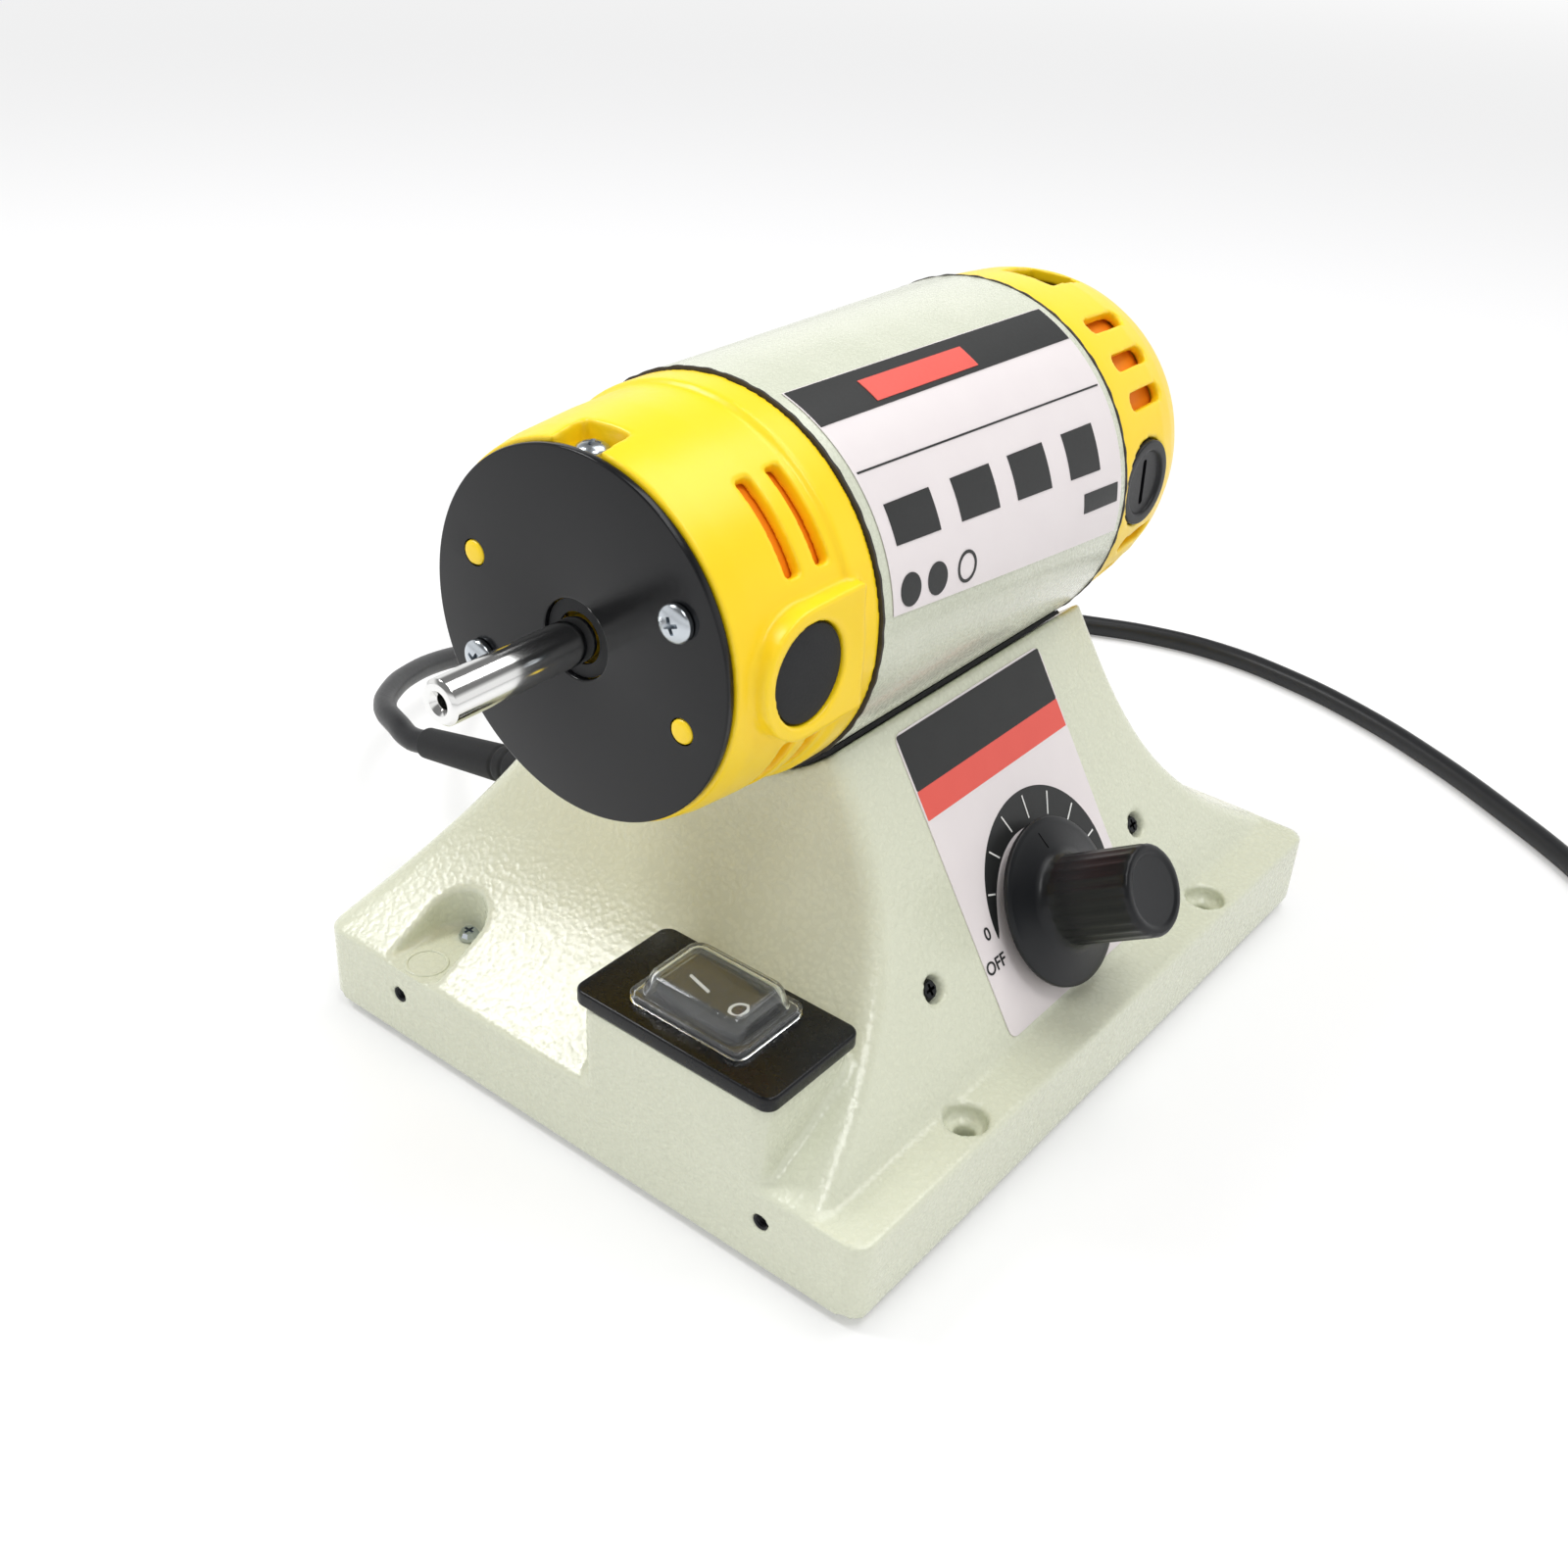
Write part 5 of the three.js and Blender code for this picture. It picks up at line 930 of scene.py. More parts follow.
    def plug(self, points: Sequence[Vector]) -> list[Piece]:
        """Makes the moulded plug and its two pins at the lead's end.

        Args:
            points: The points that the lead follows.

        Returns:
            The plug's pieces.
        """
        way = (points[-1] - points[-2]).normalized()
        side = UP.cross(way)
        turn = Matrix((side, way.cross(side), way)).transposed().to_4x4()
        place = Matrix.Translation(points[-1] + way * SEAT_GAP) @ turn
        wide, thick, length = self.plug_width, self.plug_thickness, self.plug_length
        neck = 2 * self.neck_radius
        rings = [self.plug_ring(neck * a, neck * b, self.neck_power, length * share)
                 for share, a, b in self.neck_stations]
        rings += [self.plug_ring(wide * a, thick * b, power, length * share)
                  for share, a, b, power in self.body_stations]
        plug = skin("plug_body", rings, place)
        finish_piece(plug, PVC_SHEATH, "cord_rubber", "mains_plug", angle=self.smooth_angle)
        pieces = [plug]
        for name, offset in (("plug_pin_near", -0.5), ("plug_pin_far", 0.5)):
            root = place @ moved(self.pin_spacing * offset, 0.0, length)
            radius, reach = self.pin_radius, self.pin_length
            profile = eased([(0, -self.pin_root), (radius, -self.pin_root), (radius, reach - self.pin_nose),
                             (radius * self.pin_blunt, reach), (0, reach)], self.pin_edge)
            pin = turned(name, profile, root, Axis.Z, self.pin_sides)
            pieces.append(finish_piece(pin, ZINC_PLATE, "cord_rubber"))
        return pieces

    def plug_ring(self, width: float, thickness: float, power: float, z: float) -> Ring:
        """Makes a ring between an ellipse and a rectangle.

        Args:
            width: The ring's width.
            thickness: Its thickness.
            power: 2 for an ellipse, and more for a squarer ring.
            z: Its distance along the plug.

        Returns:
            The ring's points.
        """
        ring = []
        for i in range(self.plug_sides):
            across, up = cos(tau * i / self.plug_sides), sin(tau * i / self.plug_sides)
            size = (abs(across) ** power + abs(up) ** power) ** (-1 / power)
            ring.append(Vector((width / 2 * across * size, thickness / 2 * up * size, z)))
        return ring

    def build(self) -> None:
        """Makes the lead and all that is on it."""
        self.cord()
        self.relief()


# The cast base


@dataclass
class CastBase:
    """The hollow casting, in the machine's frame."""

    bottom: float = 3.0
    ledge: float = 24.35
    half_length: float = 109.2
    left_reach: float = 79.75
    right_reach: float = 92.75
    corner: float = 5.0
    panel_height: float = 73.75
    panel_lean: float = 0.626
    wall_lean: float = 0.517
    saddle_front: float = 51.5
    saddle_rear: float = 61.0
    saddle_trim: float = 1.6
    front_power: float = 2.85
    rear_power: float = 3.3
    wall: float = 8.0
    cradle: float = 48.3
    roof: float = 75.55
    flange_top: float = 8.0
    cover_reach: Pair = (71.7, 87.7)
    cover_flange: float = 6.0
    boss: Quad = (11.0, 65.0, -109.2, -78.2)
    boss_top: float = 47.0
    boss_corner: float = 4.0
    well: Quad = (23.5, 51.5, -103.0, -83.0)
    pocket_x: float = -48.5
    pocket_radius: float = 8.5
    pocket_centre: float = 93.2
    pocket_wall: float = 4.5
    mark_radius: float = 5.6
    mark_y: float = 102.7
    ledge_hole_x: float = 85.35
    ledge_hole_y: float = 59.4
    front_holes: Pair = (-52.3, 65.3)
    front_hole_z: float = 15.6
    knob_down: float = 63.0
    screw_down: float = 62.3
    screw_y: float = 48.2
    skin_size: float = 1.0
    skin_passes: int = 2
    levels: int = 44
    # Levels lie closer together near the ledge, where the ramps are flattest
    level_power: float = 1.6
    # How far the tower and the boss reach down into the slab, and how far their foot is drawn in
    slab_overlap: float = 6.0
    foot_inset: float = 1.0
    room_step: float = 0.1
    cradle_half: float = 140.0
    cradle_sides: int = 160
    tool_top: float = 98.0
    # Radius and foot of the posts for the panel's screws
    post: Pair = (5.0, -18.7)
    mouth_corner: float = 4.0
    seat_top: float = 5.6
    well_foot: float = 20.0
    ledge_radii: Pair = (2.7, 5.3)
    ledge_seat: float = 4.0
    # Radius and depth of the front edge's holes, of the shaft's hole and of the lead's
    front_bore: Pair = (2.1, 6.5)
    shaft_bore: Pair = (4.8, 12.0)
    lead_bore: Pair = (4.9, 14.0)
    panel_radii: Pair = (2.0, 3.5)
    panel_levels: Pair = (-23.6, -3.9)
    mark_width: float = 0.9
    mark_levels: Pair = (-0.4, 0.3)
    mark_edge: float = 0.3
    mark_sides: int = 64
    # Radii of the threads' crest, root and sleeve, and where they start behind the edge
    thread_radii: Triple = (1.5, 1.8, 2.0)
    thread_from: float = 0.4
    thread_lead: float = 0.35
    thread_pitch: float = 0.8
    thread_turns: int = 6
    thread_depth: float = 5.8
    thread_floor: Pair = (0.4, 0.5)
    thread_sides: int = 32
    smooth_angle: float = 60.0

    def panel_frame(self) -> Matrix:
        """Returns the panel's frame: X down the panel, Y along the machine, Z out of it."""
        top = Vector((self.left_reach - self.panel_lean * self.panel_height, 0.0,
                      self.ledge + self.panel_height))
        return TO_ROW @ Matrix.Translation(top) @ Matrix.Rotation(pi / 2 - atan(self.panel_lean), 4, "Y")

    def reach(self, z: float, top_reach: float, power: float) -> float:
        """Returns how far a ramp reaches from the middle at a height."""
        climb = min(max((z - self.ledge) / self.panel_height, 0.0), 1.0)
        return top_reach + (self.half_length - top_reach) * (1 - climb) ** power

    def tower_ring(self, z: float, inset: float) -> Ring:
        """Returns the tower's outline at a height, drawn in by inset."""
        climb = max(z - self.ledge, 0.0)
        return rounded_ring(
            -(self.left_reach - self.wall_lean * climb - inset),
            self.left_reach - self.panel_lean * climb - inset,
            -(self.reach(z, self.saddle_front, self.front_power) - inset),
            self.reach(z, self.saddle_rear, self.rear_power) - inset, self.corner, z)

    def tower(self, foot: float, top: float, inset: float, foot_inset: float) -> Piece:
        """Lofts the tower, or the room in it, from its foot to its top.

        Args:
            foot: Lowest height.
            top: Highest height.
            inset: How far it is drawn in.
            foot_inset: How far its lowest ring is drawn in.

        Returns:
            The closed loft.
        """
        rings = [self.tower_ring(foot, foot_inset)]
        for i in range(self.levels + 1):
            share = (i / self.levels) ** self.level_power
            step = self.room_step * (i == 0)
            rings.append(self.tower_ring(self.ledge + (top - self.ledge) * share, inset + step))
        return skin("tower", rings)

    def pocket(self, side: int, radius: float, bottom: float) -> Piece:
        """Makes the slot that runs in from one edge.

        Args:
            side: -1 for the front edge, 1 for the rear.
            radius: The slot's half width and its end's radius.
            bottom: Its lowest height.

        Returns:
            The cutter.
        """
        inner = side * (self.pocket_centre - radius)
        outer = side * (self.half_length + 2 * radius)
        return rounded_block("cutter", (self.pocket_x - radius, self.pocket_x + radius,
                                        min(inner, outer), max(inner, outer)), radius, bottom, self.tool_top)

    def room(self) -> list[Piece]:
        """Makes the tools that hollow the casting out.

        Returns:
            The room with its posts left standing, its mouth, the cover's seat and the switch's well.
        """
        room = self.tower(self.flange_top, self.roof, self.wall, self.wall)
        panel = self.panel_frame()
        posts = [bored(*self.post, 0.0, panel @ moved(self.screw_down, y))
                 for y in (-self.screw_y, self.screw_y)]
        pockets = [self.pocket(side, self.pocket_radius + self.pocket_wall, self.bottom) for side in (-1, 1)]
        carve(room, [*posts, *pockets])
        reach_x, reach_y = self.cover_reach
        mouth_x, mouth_y = reach_x - self.cover_flange, reach_y - self.cover_flange
        mouth = rounded_block("cutter", (-mouth_x, mouth_x, -mouth_y, mouth_y), self.mouth_corner, 0,
                              self.flange_top + OVERRUN)
        seat = rounded_block("cutter", (-reach_x - SEAT_GAP, reach_x + SEAT_GAP, -reach_y - SEAT_GAP,
                                        reach_y + SEAT_GAP), self.mouth_corner, 0, self.seat_top)
        left, right, front, back = self.well
        well = plain_block("cutter", (left, right), (front, back), (self.well_foot, self.boss_top + OVERRUN))
        return [room, mouth, seat, well]

    def holes(self) -> list[Piece]:
        """Makes the tools for every hole and pocket."""
        levels = (0.0, self.ledge - self.ledge_seat, self.ledge + OVERRUN)
        tools = [sunk(self.ledge_radii, levels, TO_ROW @ moved(self.ledge_hole_x, y))
                 for y in (-self.ledge_hole_y, self.ledge_hole_y)]
        radius, depth = self.front_bore
        tools += [bored(radius, -self.half_length - OVERRUN, -self.half_length + depth,
                        TO_ROW @ moved(x, 0.0, self.front_hole_z), Axis.Y) for x in self.front_holes]
        tools += [self.pocket(side, self.pocket_radius, self.ledge - SEAT_GAP) for side in (-1, 1)]
        panel = self.panel_frame()
        tools += [sunk(self.panel_radii, (*self.panel_levels, OVERRUN), panel @ moved(self.screw_down, y))
                  for y in (-self.screw_y, self.screw_y)]
        radius, depth = self.shaft_bore
        tools.append(bored(radius, -depth, OVERRUN, panel @ moved(self.knob_down)))
        return tools

    def relief_hole(self) -> Piece:
        """Makes the tool for the lead's hole in the left wall."""
        radius, depth = self.lead_bore
        return bored(radius, -depth, OVERRUN, MainsLead().wall_frame())

    def marks(self) -> None:
        """Makes the pockets' faint round pads and the threads of the front holes."""
        inner, outer = self.mark_radius - self.mark_width, self.mark_radius
        low, high = self.mark_levels
        profile = eased([(inner, low), (inner, high), (outer, high), (outer, low)], self.mark_edge)
        for name, side in (("front", -1), ("rear", 1)):
            place = TO_ROW @ moved(self.pocket_x, side * self.mark_y, self.ledge - SEAT_GAP)
            pad = turned(f"pocket_pad_{name}", [*profile, profile[0]], place, Axis.Z, self.mark_sides)
            finish_piece(pad, HAMMERTONE, "hammered_paint")
        mouth, depth = -self.half_length + self.thread_from, self.thread_depth
        crest, root, outside = self.thread_radii
        sleeve = [(0, mouth + depth), (outside, mouth + depth), (outside, mouth)]
        for i in range(self.thread_turns):
            at = mouth + self.thread_lead + i * self.thread_pitch
            sleeve += [(crest, at), (root, at + self.thread_pitch / 2)]
        floor, rim = self.thread_floor
        sleeve += [(crest, mouth + depth - rim), (0, mouth + depth - floor)]
        for name, x in zip(("left", "right"), self.front_holes):
            place = TO_ROW @ moved(x, 0.0, self.front_hole_z)
            thread = turned(f"front_thread_{name}", sleeve, place, Axis.Y, self.thread_sides)
            finish_piece(thread, BLACK_STEEL, "hammered_paint")

    def build(self) -> None:
        """Makes the casting with its cast, painted skin."""
        body = rounded_block("base_shell", (-self.left_reach, self.right_reach, -self.half_length,
                                            self.half_length), self.corner, self.bottom, self.ledge)
        foot = self.ledge - self.slab_overlap
        tower = self.tower(foot, self.ledge + self.panel_height - self.saddle_trim, 0.0, self.foot_inset)
        left, right, front, back = self.boss
        boss = skin("boss", [rounded_ring(left, right, front, back, self.boss_corner, z)
                             for z in (foot, self.boss_top)])
        carve(body, [tower, boss], "UNION")
        cradle = bored(self.cradle, -self.cradle_half, self.cradle_half, TO_MOTOR, Axis.Y, self.cradle_sides)
        carve(body, [*self.room(), cradle, *self.holes(), self.relief_hole()])
        soften(body, self.skin_size, self.skin_passes)
        finish_piece(body, HAMMERTONE, "hammered_paint", "base_casting", angle=self.smooth_angle)
        self.marks()


# The motor's casing


@dataclass(frozen=True)
class PanScrew:
    """The sizes of a pan-head screw with a tapered cross recess."""

    head: float
    height: float
    shank: float
    length: float
    # Shares of the head's height: its straight rim and the recess's depth
    rim: float = 0.35
    recess: float = 0.35
    # Shares of the head's radius: its foot and the recess's reach and arm
    foot: float = 0.97
    reach: float = 0.55
    arm: float = 0.13
    # The recess's size at its floor and above the head
    taper: Pair = (0.45, 1.15)
    recess_top: float = 1.0
    tip: float = 0.7
    tip_length: float = 0.6
    dome_step: int = 10
    sides: int = 64

    def build(self, name: str, place: Matrix, turn: float, node: str) -> None:
        """Makes one screw.

        Args:
            name: The screw's name.
            place: Its frame, with Z out of the head and zero on its seat.
            turn: How the cross is turned, in degrees.
            node: The CAD node that it replaces.
        """
        head, height, shank = self.head, self.height, self.shank
        dome = [(head * cos(radians(a)), height * self.rim + height * (1 - self.rim) * sin(radians(a)))
                for a in range(0, 90, self.dome_step)]
        profile = [(0, -self.length), (shank * self.tip, -self.length),
                   (shank, -self.length + self.tip_length), (shank, 0), (head * self.foot, 0), *dome,
                   (0, height)]
        screw = turned(name, profile, place, Axis.Z, self.sides)
        cross = place @ Matrix.Rotation(radians(turn), 4, "Z")
        reach, arm = head * self.reach, head * self.arm
        levels = tuple(zip((height * self.recess, height + self.recess_top), self.taper))
        tools = []
        for wide, deep in ((reach, arm), (arm, reach)):
            rings = [[Vector((x * wide * s, y * deep * s, z))
                      for x, y in ((-1, -1), (1, -1), (1, 1), (-1, 1))] for z, s in levels]
            tools.append(skin("cutter", rings, cross))
        carve(screw, tools)
        finish_piece(screw, ZINC_PLATE, "zinc_steel", node)


@dataclass(frozen=True)
class BlindPlug:
    """The sizes of the slightly domed rubber plug in a side boss."""

    radius: float
    top: float
    dome: tuple[float, ...] = (0.97, 0.92, 0.8, 0.55, 0.3)
    drop: float = 0.55
    rim: float = 1.2
    thickness: float = 3.4

    def build(self, name: str, place: Matrix) -> None:
        """Makes one plug.

        Args:
            name: The side of the motor that it is on.
            place: Its frame, with X out of the motor.
        """
        radius, top = self.radius, self.top
        dome = [(radius * share, top - self.drop * share ** 4) for share in self.dome]
        profile = [(0, top - self.thickness), (radius, top - self.thickness), (radius, top - self.rim),
                   *dome, (0, top)]
        plug = turned(f"blind_plug_{name}", profile, place, Axis.X)
        finish_piece(plug, RUBBER, "rubber", f"side_plug_{name}")


@dataclass(frozen=True)
class BrushCap:
    """The sizes of the screwed cap over a brush, with its raised rim and driver slot."""

    radius: float
    top: float
    thickness: float = 3.2
    stub_radius: float = 3.8
    stub_length: float = 3.0
    # The rim's inner radius at its top and at the cap's floor, and the floor's depth
    rim: Pair = (8.4, 8.0)
    floor: float = 0.9
    edge: float = 0.5
    slot_half: Pair = (6.0, 0.9)
    slot_corner: float = 0.85
    slot_depth: float = 2.0
    slot_height: float = 4.0

    def build(self, name: str, place: Matrix) -> None:
        """Makes one cap.

        Args:
            name: The side of the motor that it is on.
            place: Its frame, with X out of the motor.
        """
        radius, top, stub = self.radius, self.top, self.stub_radius
        seat, floor = top - self.thickness, top - self.floor
        profile = eased([(0, seat - self.stub_length), (stub, seat - self.stub_length), (stub, seat),
                         (radius, seat), (radius, top), (self.rim[0], top), (self.rim[1], floor), (0, floor)],
                        self.edge)
        cap = turned(f"brush_screw_cap_{name}", profile, place, Axis.X)
        long, wide = self.slot_half
        outward = moved(top - self.slot_depth) @ Matrix.Rotation(pi / 2, 4, "Y")
        slot = rounded_block("cutter", (-long, long, -wide, wide), self.slot_corner, 0, self.slot_height,
                             place @ outward)
        carve(cap, [slot])
        finish_piece(cap, BLACK_ABS, "black_plastic", f"brush_cap_{name}")


@dataclass
class MotorCasing:
    """Barrel, end caps, face plate and what is fixed to them, in the motor's frame."""

    barrel_radius: float = 46.7
    barrel_bore: float = 44.5
    barrel_front: float = -53.5
    barrel_rear: float = 49.9
    cap_turn: float = 2.0
    front_face: float = -95.5
    boss_y: float = -78.0
    boss_radius: float = 14.5
    boss_reach: float = 46.9
    plug_radius: float = 11.0
    plate_front: float = -97.8
    plate_radius: float = 41.5
    plate_hole: float = 9.0
    peg: Pair = (29.3, -11.2)
    peg_radius: float = 2.9
    screw: Pair = (28.8, 13.1)
    notch_half: float = 6.5
    notch_floor: float = 37.6
    front_slots: tuple[float, ...] = (-76.0, -67.0)
    slot_angles: Pair = (25.0, 54.0)
    rear_slots: tuple[float, ...] = (55.5, 41.0, 27.5, -22.0, -36.0, -50.0)
    brush_y: float = 64.2
    brush_boss_radius: float = 13.5
    brush_cap_radius: float = 11.0
    brush_cap_reach: float = 44.9
    skin_size: float = 0.6
    skin_passes: int = 4
    fine_sides: int = 192
    shell_sides: int = 160
    round_sides: int = 96
    bolt_bore: float = 2.8
    bolts_y: Pair = (-25.0, 30.0)
    barrel_edge: float = 0.5
    # The caps' bore, where the side bosses start and end, and how far the cutting tools reach
    cap_bore: float = 41.4
    boss_foot: float = 38.0
    boss_back: float = -60.0
    boss_bore: Pair = (-90.5, -46.0)
    tool_reach: float = 60.0
    # The block round the notch: its wall, its back, its heights, and the outside that trims it
    notch_wall: float = 1.5
    notch_block_back: float = -82.5
    notch_block: Pair = (29.0, 44.0)
    notch_trim: Triple = (42.4, -96.0, -82.0)
    notch_span: Pair = (-99.0, -86.5)
    notch_top: float = 50.0
    notch_screw_y: float = -91.0
    notch_bore: Triple = (2.1, 31.0, 45.0)
    peg_stand: float = 0.5
    peg_root: float = -90.8
    peg_gap: float = 0.2
    screw_hole: float = 1.9
    screw_span: Pair = (-99.0, -84.5)
    slot_width: float = 4.2
    slot_radii: Pair = (38.0, 50.0)
    slot_steps: int = 16
    vent_radii: Pair = (33.0, 50.0)
    vent_span: Pair = (59.5, 77.0)
    vent_half: float = 2.3
    vent_round: float = 0.9
    window_angle: float = 86.0
    window_span: Pair = (66.0, 81.0)
    window_half: float = 7.5
    brush_boss: Pair = (30.0, 47.0)
    brush_bore: Pair = (6.3, 50.0)
    cap_front: float = 50.2
    small_sides: int = 24
    tool_sides: int = 128
    # Edges of the caps flatter than this, in degrees, are shaded smooth
    smooth_angle: float = 70.0
    # The dark bands of painted shade at the barrel's seams: height, count and start of their waves, and their
    # ring
    seam_waves: tuple[tuple[float, int, float], ...] = ((0.08, 37, 0.0), (0.07, 61, 1.3))
    seam_reach: Pair = (0.28, 0.5)
    seam_wall: float = 1.4
    seam_stand: float = 0.2
    seam_edge: float = 0.12
    seam_sides: int = 256
    # The walls behind the vents: cap, radii and span along the motor, and side and angles
    vent_walls: tuple[tuple[str, Pair, Pair], ...] = (
        ("front", (39.8, 41.1), (-80.3, -62.5)), ("rear", (38.7, 39.9), (57.0, 78.4)))
    wall_angles: tuple[tuple[str, float, float], ...] = (("right", -70.0, 70.0), ("left", 110.0, 250.0))
    wall_steps: int = 48
    # A black ring of painted shade round the spindle: its bore, its gap to the disc's hole and how far it is
    # sunk
    shade_ring_bore: float = 5.9
    shade_ring_gap: float = 0.2
    shade_ring_sink: float = 1.2
    plate_thickness: float = 2.0
    plate_edge: float = 0.5
    disc_screw: PanScrew = PanScrew(4.2, 2.6, 1.6, 11.0)
    # Name, side and turn of the disc's screws
    disc_screws: tuple[tuple[str, int, float], ...] = (("right", 1, 18.0), ("left", -1, -33.0))
    notch_screw: PanScrew = PanScrew(3.9, 3.4, 1.8, 6.0)
    notch_turn: float = 30.0
    plug_sink: float = 0.4
    front_profile: Pairs = (
        (9, -95.5), (42.3, -95.5), (43.4, -90), (44.6, -75), (45, -62.8), (46.2, -62.2), (46.2, -53.8),
        (44.2, -53.8), (44.2, -49), (41.4, -49), (41.4, -90.5), (19, -90.5), (19, -80.5), (15.3, -80.5),
        (15.3, -90.8), (9, -90.8), (9, -95.5))
    rear_outer: Pairs = (
        (46, 50.2), (45.9, 55), (45.6, 60), (45.1, 67), (44.5, 74), (43.2, 80.5), (41.2, 86), (38.6, 91),
        (35, 95), (30.4, 98), (24, 100), (14, 101.1), (0, 101.3))
    rear_inner: Pairs = (
        (0, 93.3), (8, 93.3), (8, 89.6), (11.3, 89.6), (11.3, 81), (15, 81), (15, 94.2), (28.5, 94.2),
        (36.8, 87.5), (40.7, 78.8), (41.4, 68.6), (41.4, 45.4), (44.2, 45.4), (44.2, 50.2))

    @property
    def capped(self) -> Matrix:
        """The end caps' frame, clocked a little about the motor's axis."""
        return TO_MOTOR @ Matrix.Rotation(radians(-self.cap_turn), 4, "Y")

    def opposite(self, place: Pair) -> list[Matrix]:
        """Returns the frames of two opposite places on the front cap's face."""
        x, z = place
        return [self.capped @ moved(side * x, 0.0, side * z) for side in (1, -1)]

    def barrel(self) -> None:
        """Makes the drawn steel barrel."""
        outer, inner = self.barrel_radius, self.barrel_bore
        front, rear = self.barrel_front, self.barrel_rear
        corners = [(inner, front), (outer, front), (outer, rear), (inner, rear)]
        profile = eased(corners, self.barrel_edge, closed=True)
        piece = turned("barrel_shell", [*profile, profile[0]], TO_MOTOR, Axis.Y, self.fine_sides)
        holes = [bored(self.bolt_bore, -outer - OVERRUN, -inner + OVERRUN,
                       TO_MOTOR @ moved(y=y)) for y in self.bolts_y]
        carve(piece, holes)
        finish_piece(piece, BARREL_ENAMEL, "hammered_paint", "motor_barrel")

    def arc_tool(self, y: float, width: float, start: float, end: float, radii: Pair,
                 steps: int) -> Piece:
        """Makes a curved bar round the motor's axis, to cut a vent with or as a wall.

        Args:
            y: The bar's middle along the motor.
            width: Its width along the motor.
            start: First angle from +X, in degrees.
            end: Last angle.
            radii: Its inner and outer radius.
            steps: Facets along it.

        Returns:
            The closed bar.
        """
        outline = []
        for radius, order in ((radii[1], range(steps + 1)), (radii[0], range(steps, -1, -1))):
            for i in order:
                angle = radians(start + (end - start) * i / steps)
                outline.append((radius * cos(angle), radius * sin(angle)))
        rings = [[Vector((x, at, z)) for x, z in outline] for at in (y - width / 2, y + width / 2)]
        return skin("cutter", rings, self.capped)

    def side_boss(self, side: int) -> Piece:
        """Makes the boss round a side plug, square at the back.

        Args:
            side: -1 for the left side, 1 for the right.

        Returns:
            The closed boss.
        """
        low, high = sorted((side * self.boss_foot, side * self.boss_reach))
        radius, y = self.boss_radius, self.boss_y
        place = self.capped @ moved(y=y)
        body = bored(radius, low, high, place, Axis.X, self.round_sides)
        square = plain_block("square", (low, high), (y, self.boss_back), (-radius, radius), self.capped)
        carve(body, [square], "UNION")
        return carve(body, [bored(self.cap_bore, *self.boss_bore, self.capped, Axis.Y, self.tool_sides)])

    def front_cap(self) -> None:
        """Makes the front end cap, with its vents, notch, pegs and side bosses."""
        cap = turned("front_cap_shell", self.front_profile, self.capped, Axis.Y, self.shell_sides)
        half = self.notch_half + self.notch_wall
        block = plain_block("block", (-half, half), (self.front_face, self.notch_block_back),
                            self.notch_block, self.capped)
        carve(block, [bored(*self.notch_trim, self.capped, Axis.Y, self.round_sides)], "INTERSECT")
        pegs = [bored(self.peg_radius, self.plate_front - self.peg_stand, self.peg_root, place, Axis.Y)
                for place in self.opposite(self.peg)]
        carve(cap, [self.side_boss(1), self.side_boss(-1), block, *pegs], "UNION")
        place = self.capped @ moved(y=self.boss_y)
        hole, foot, far = self.plug_radius + SEAT_GAP, self.boss_foot, self.tool_reach
        tools = [bored(hole, low, high, place, Axis.X, self.round_sides)
                 for low, high in ((foot, far), (-far, -foot))]
        tools.append(plain_block("cutter", (-self.notch_half, self.notch_half), self.notch_span,
                                 (self.notch_floor, self.notch_top), self.capped))
        tools += [bored(self.screw_hole, *self.screw_span, place, Axis.Y, self.small_sides)
                  for place in self.opposite(self.screw)]
        place = self.capped @ moved(y=self.notch_screw_y)
        tools.append(bored(*self.notch_bore, place, Axis.Z, self.small_sides))
        low, high = self.slot_angles
        for y in self.front_slots:
            for start, end in ((low, high), (-high, -low), (180 + low, 180 + high), (180 - high, 180 - low)):
                tools.append(self.arc_tool(y, self.slot_width, start, end, self.slot_radii, self.slot_steps))
        carve(cap, tools)
        soften(cap, self.skin_size, self.skin_passes)
        finish_piece(cap, YELLOW_ABS, "yellow_plastic", "front_end_cap",
                     angle=self.smooth_angle)

    def vent_tool(self, turn: Matrix) -> Piece:
        """Makes the tool for a round-ended slot that runs along the motor, out from its axis."""
        outward, half = turn @ Matrix.Rotation(pi / 2, 4, "Y"), self.vent_half
        return rounded_block("cutter", (-half, half, *self.vent_span), half * self.vent_round,
                             *self.vent_radii, outward)

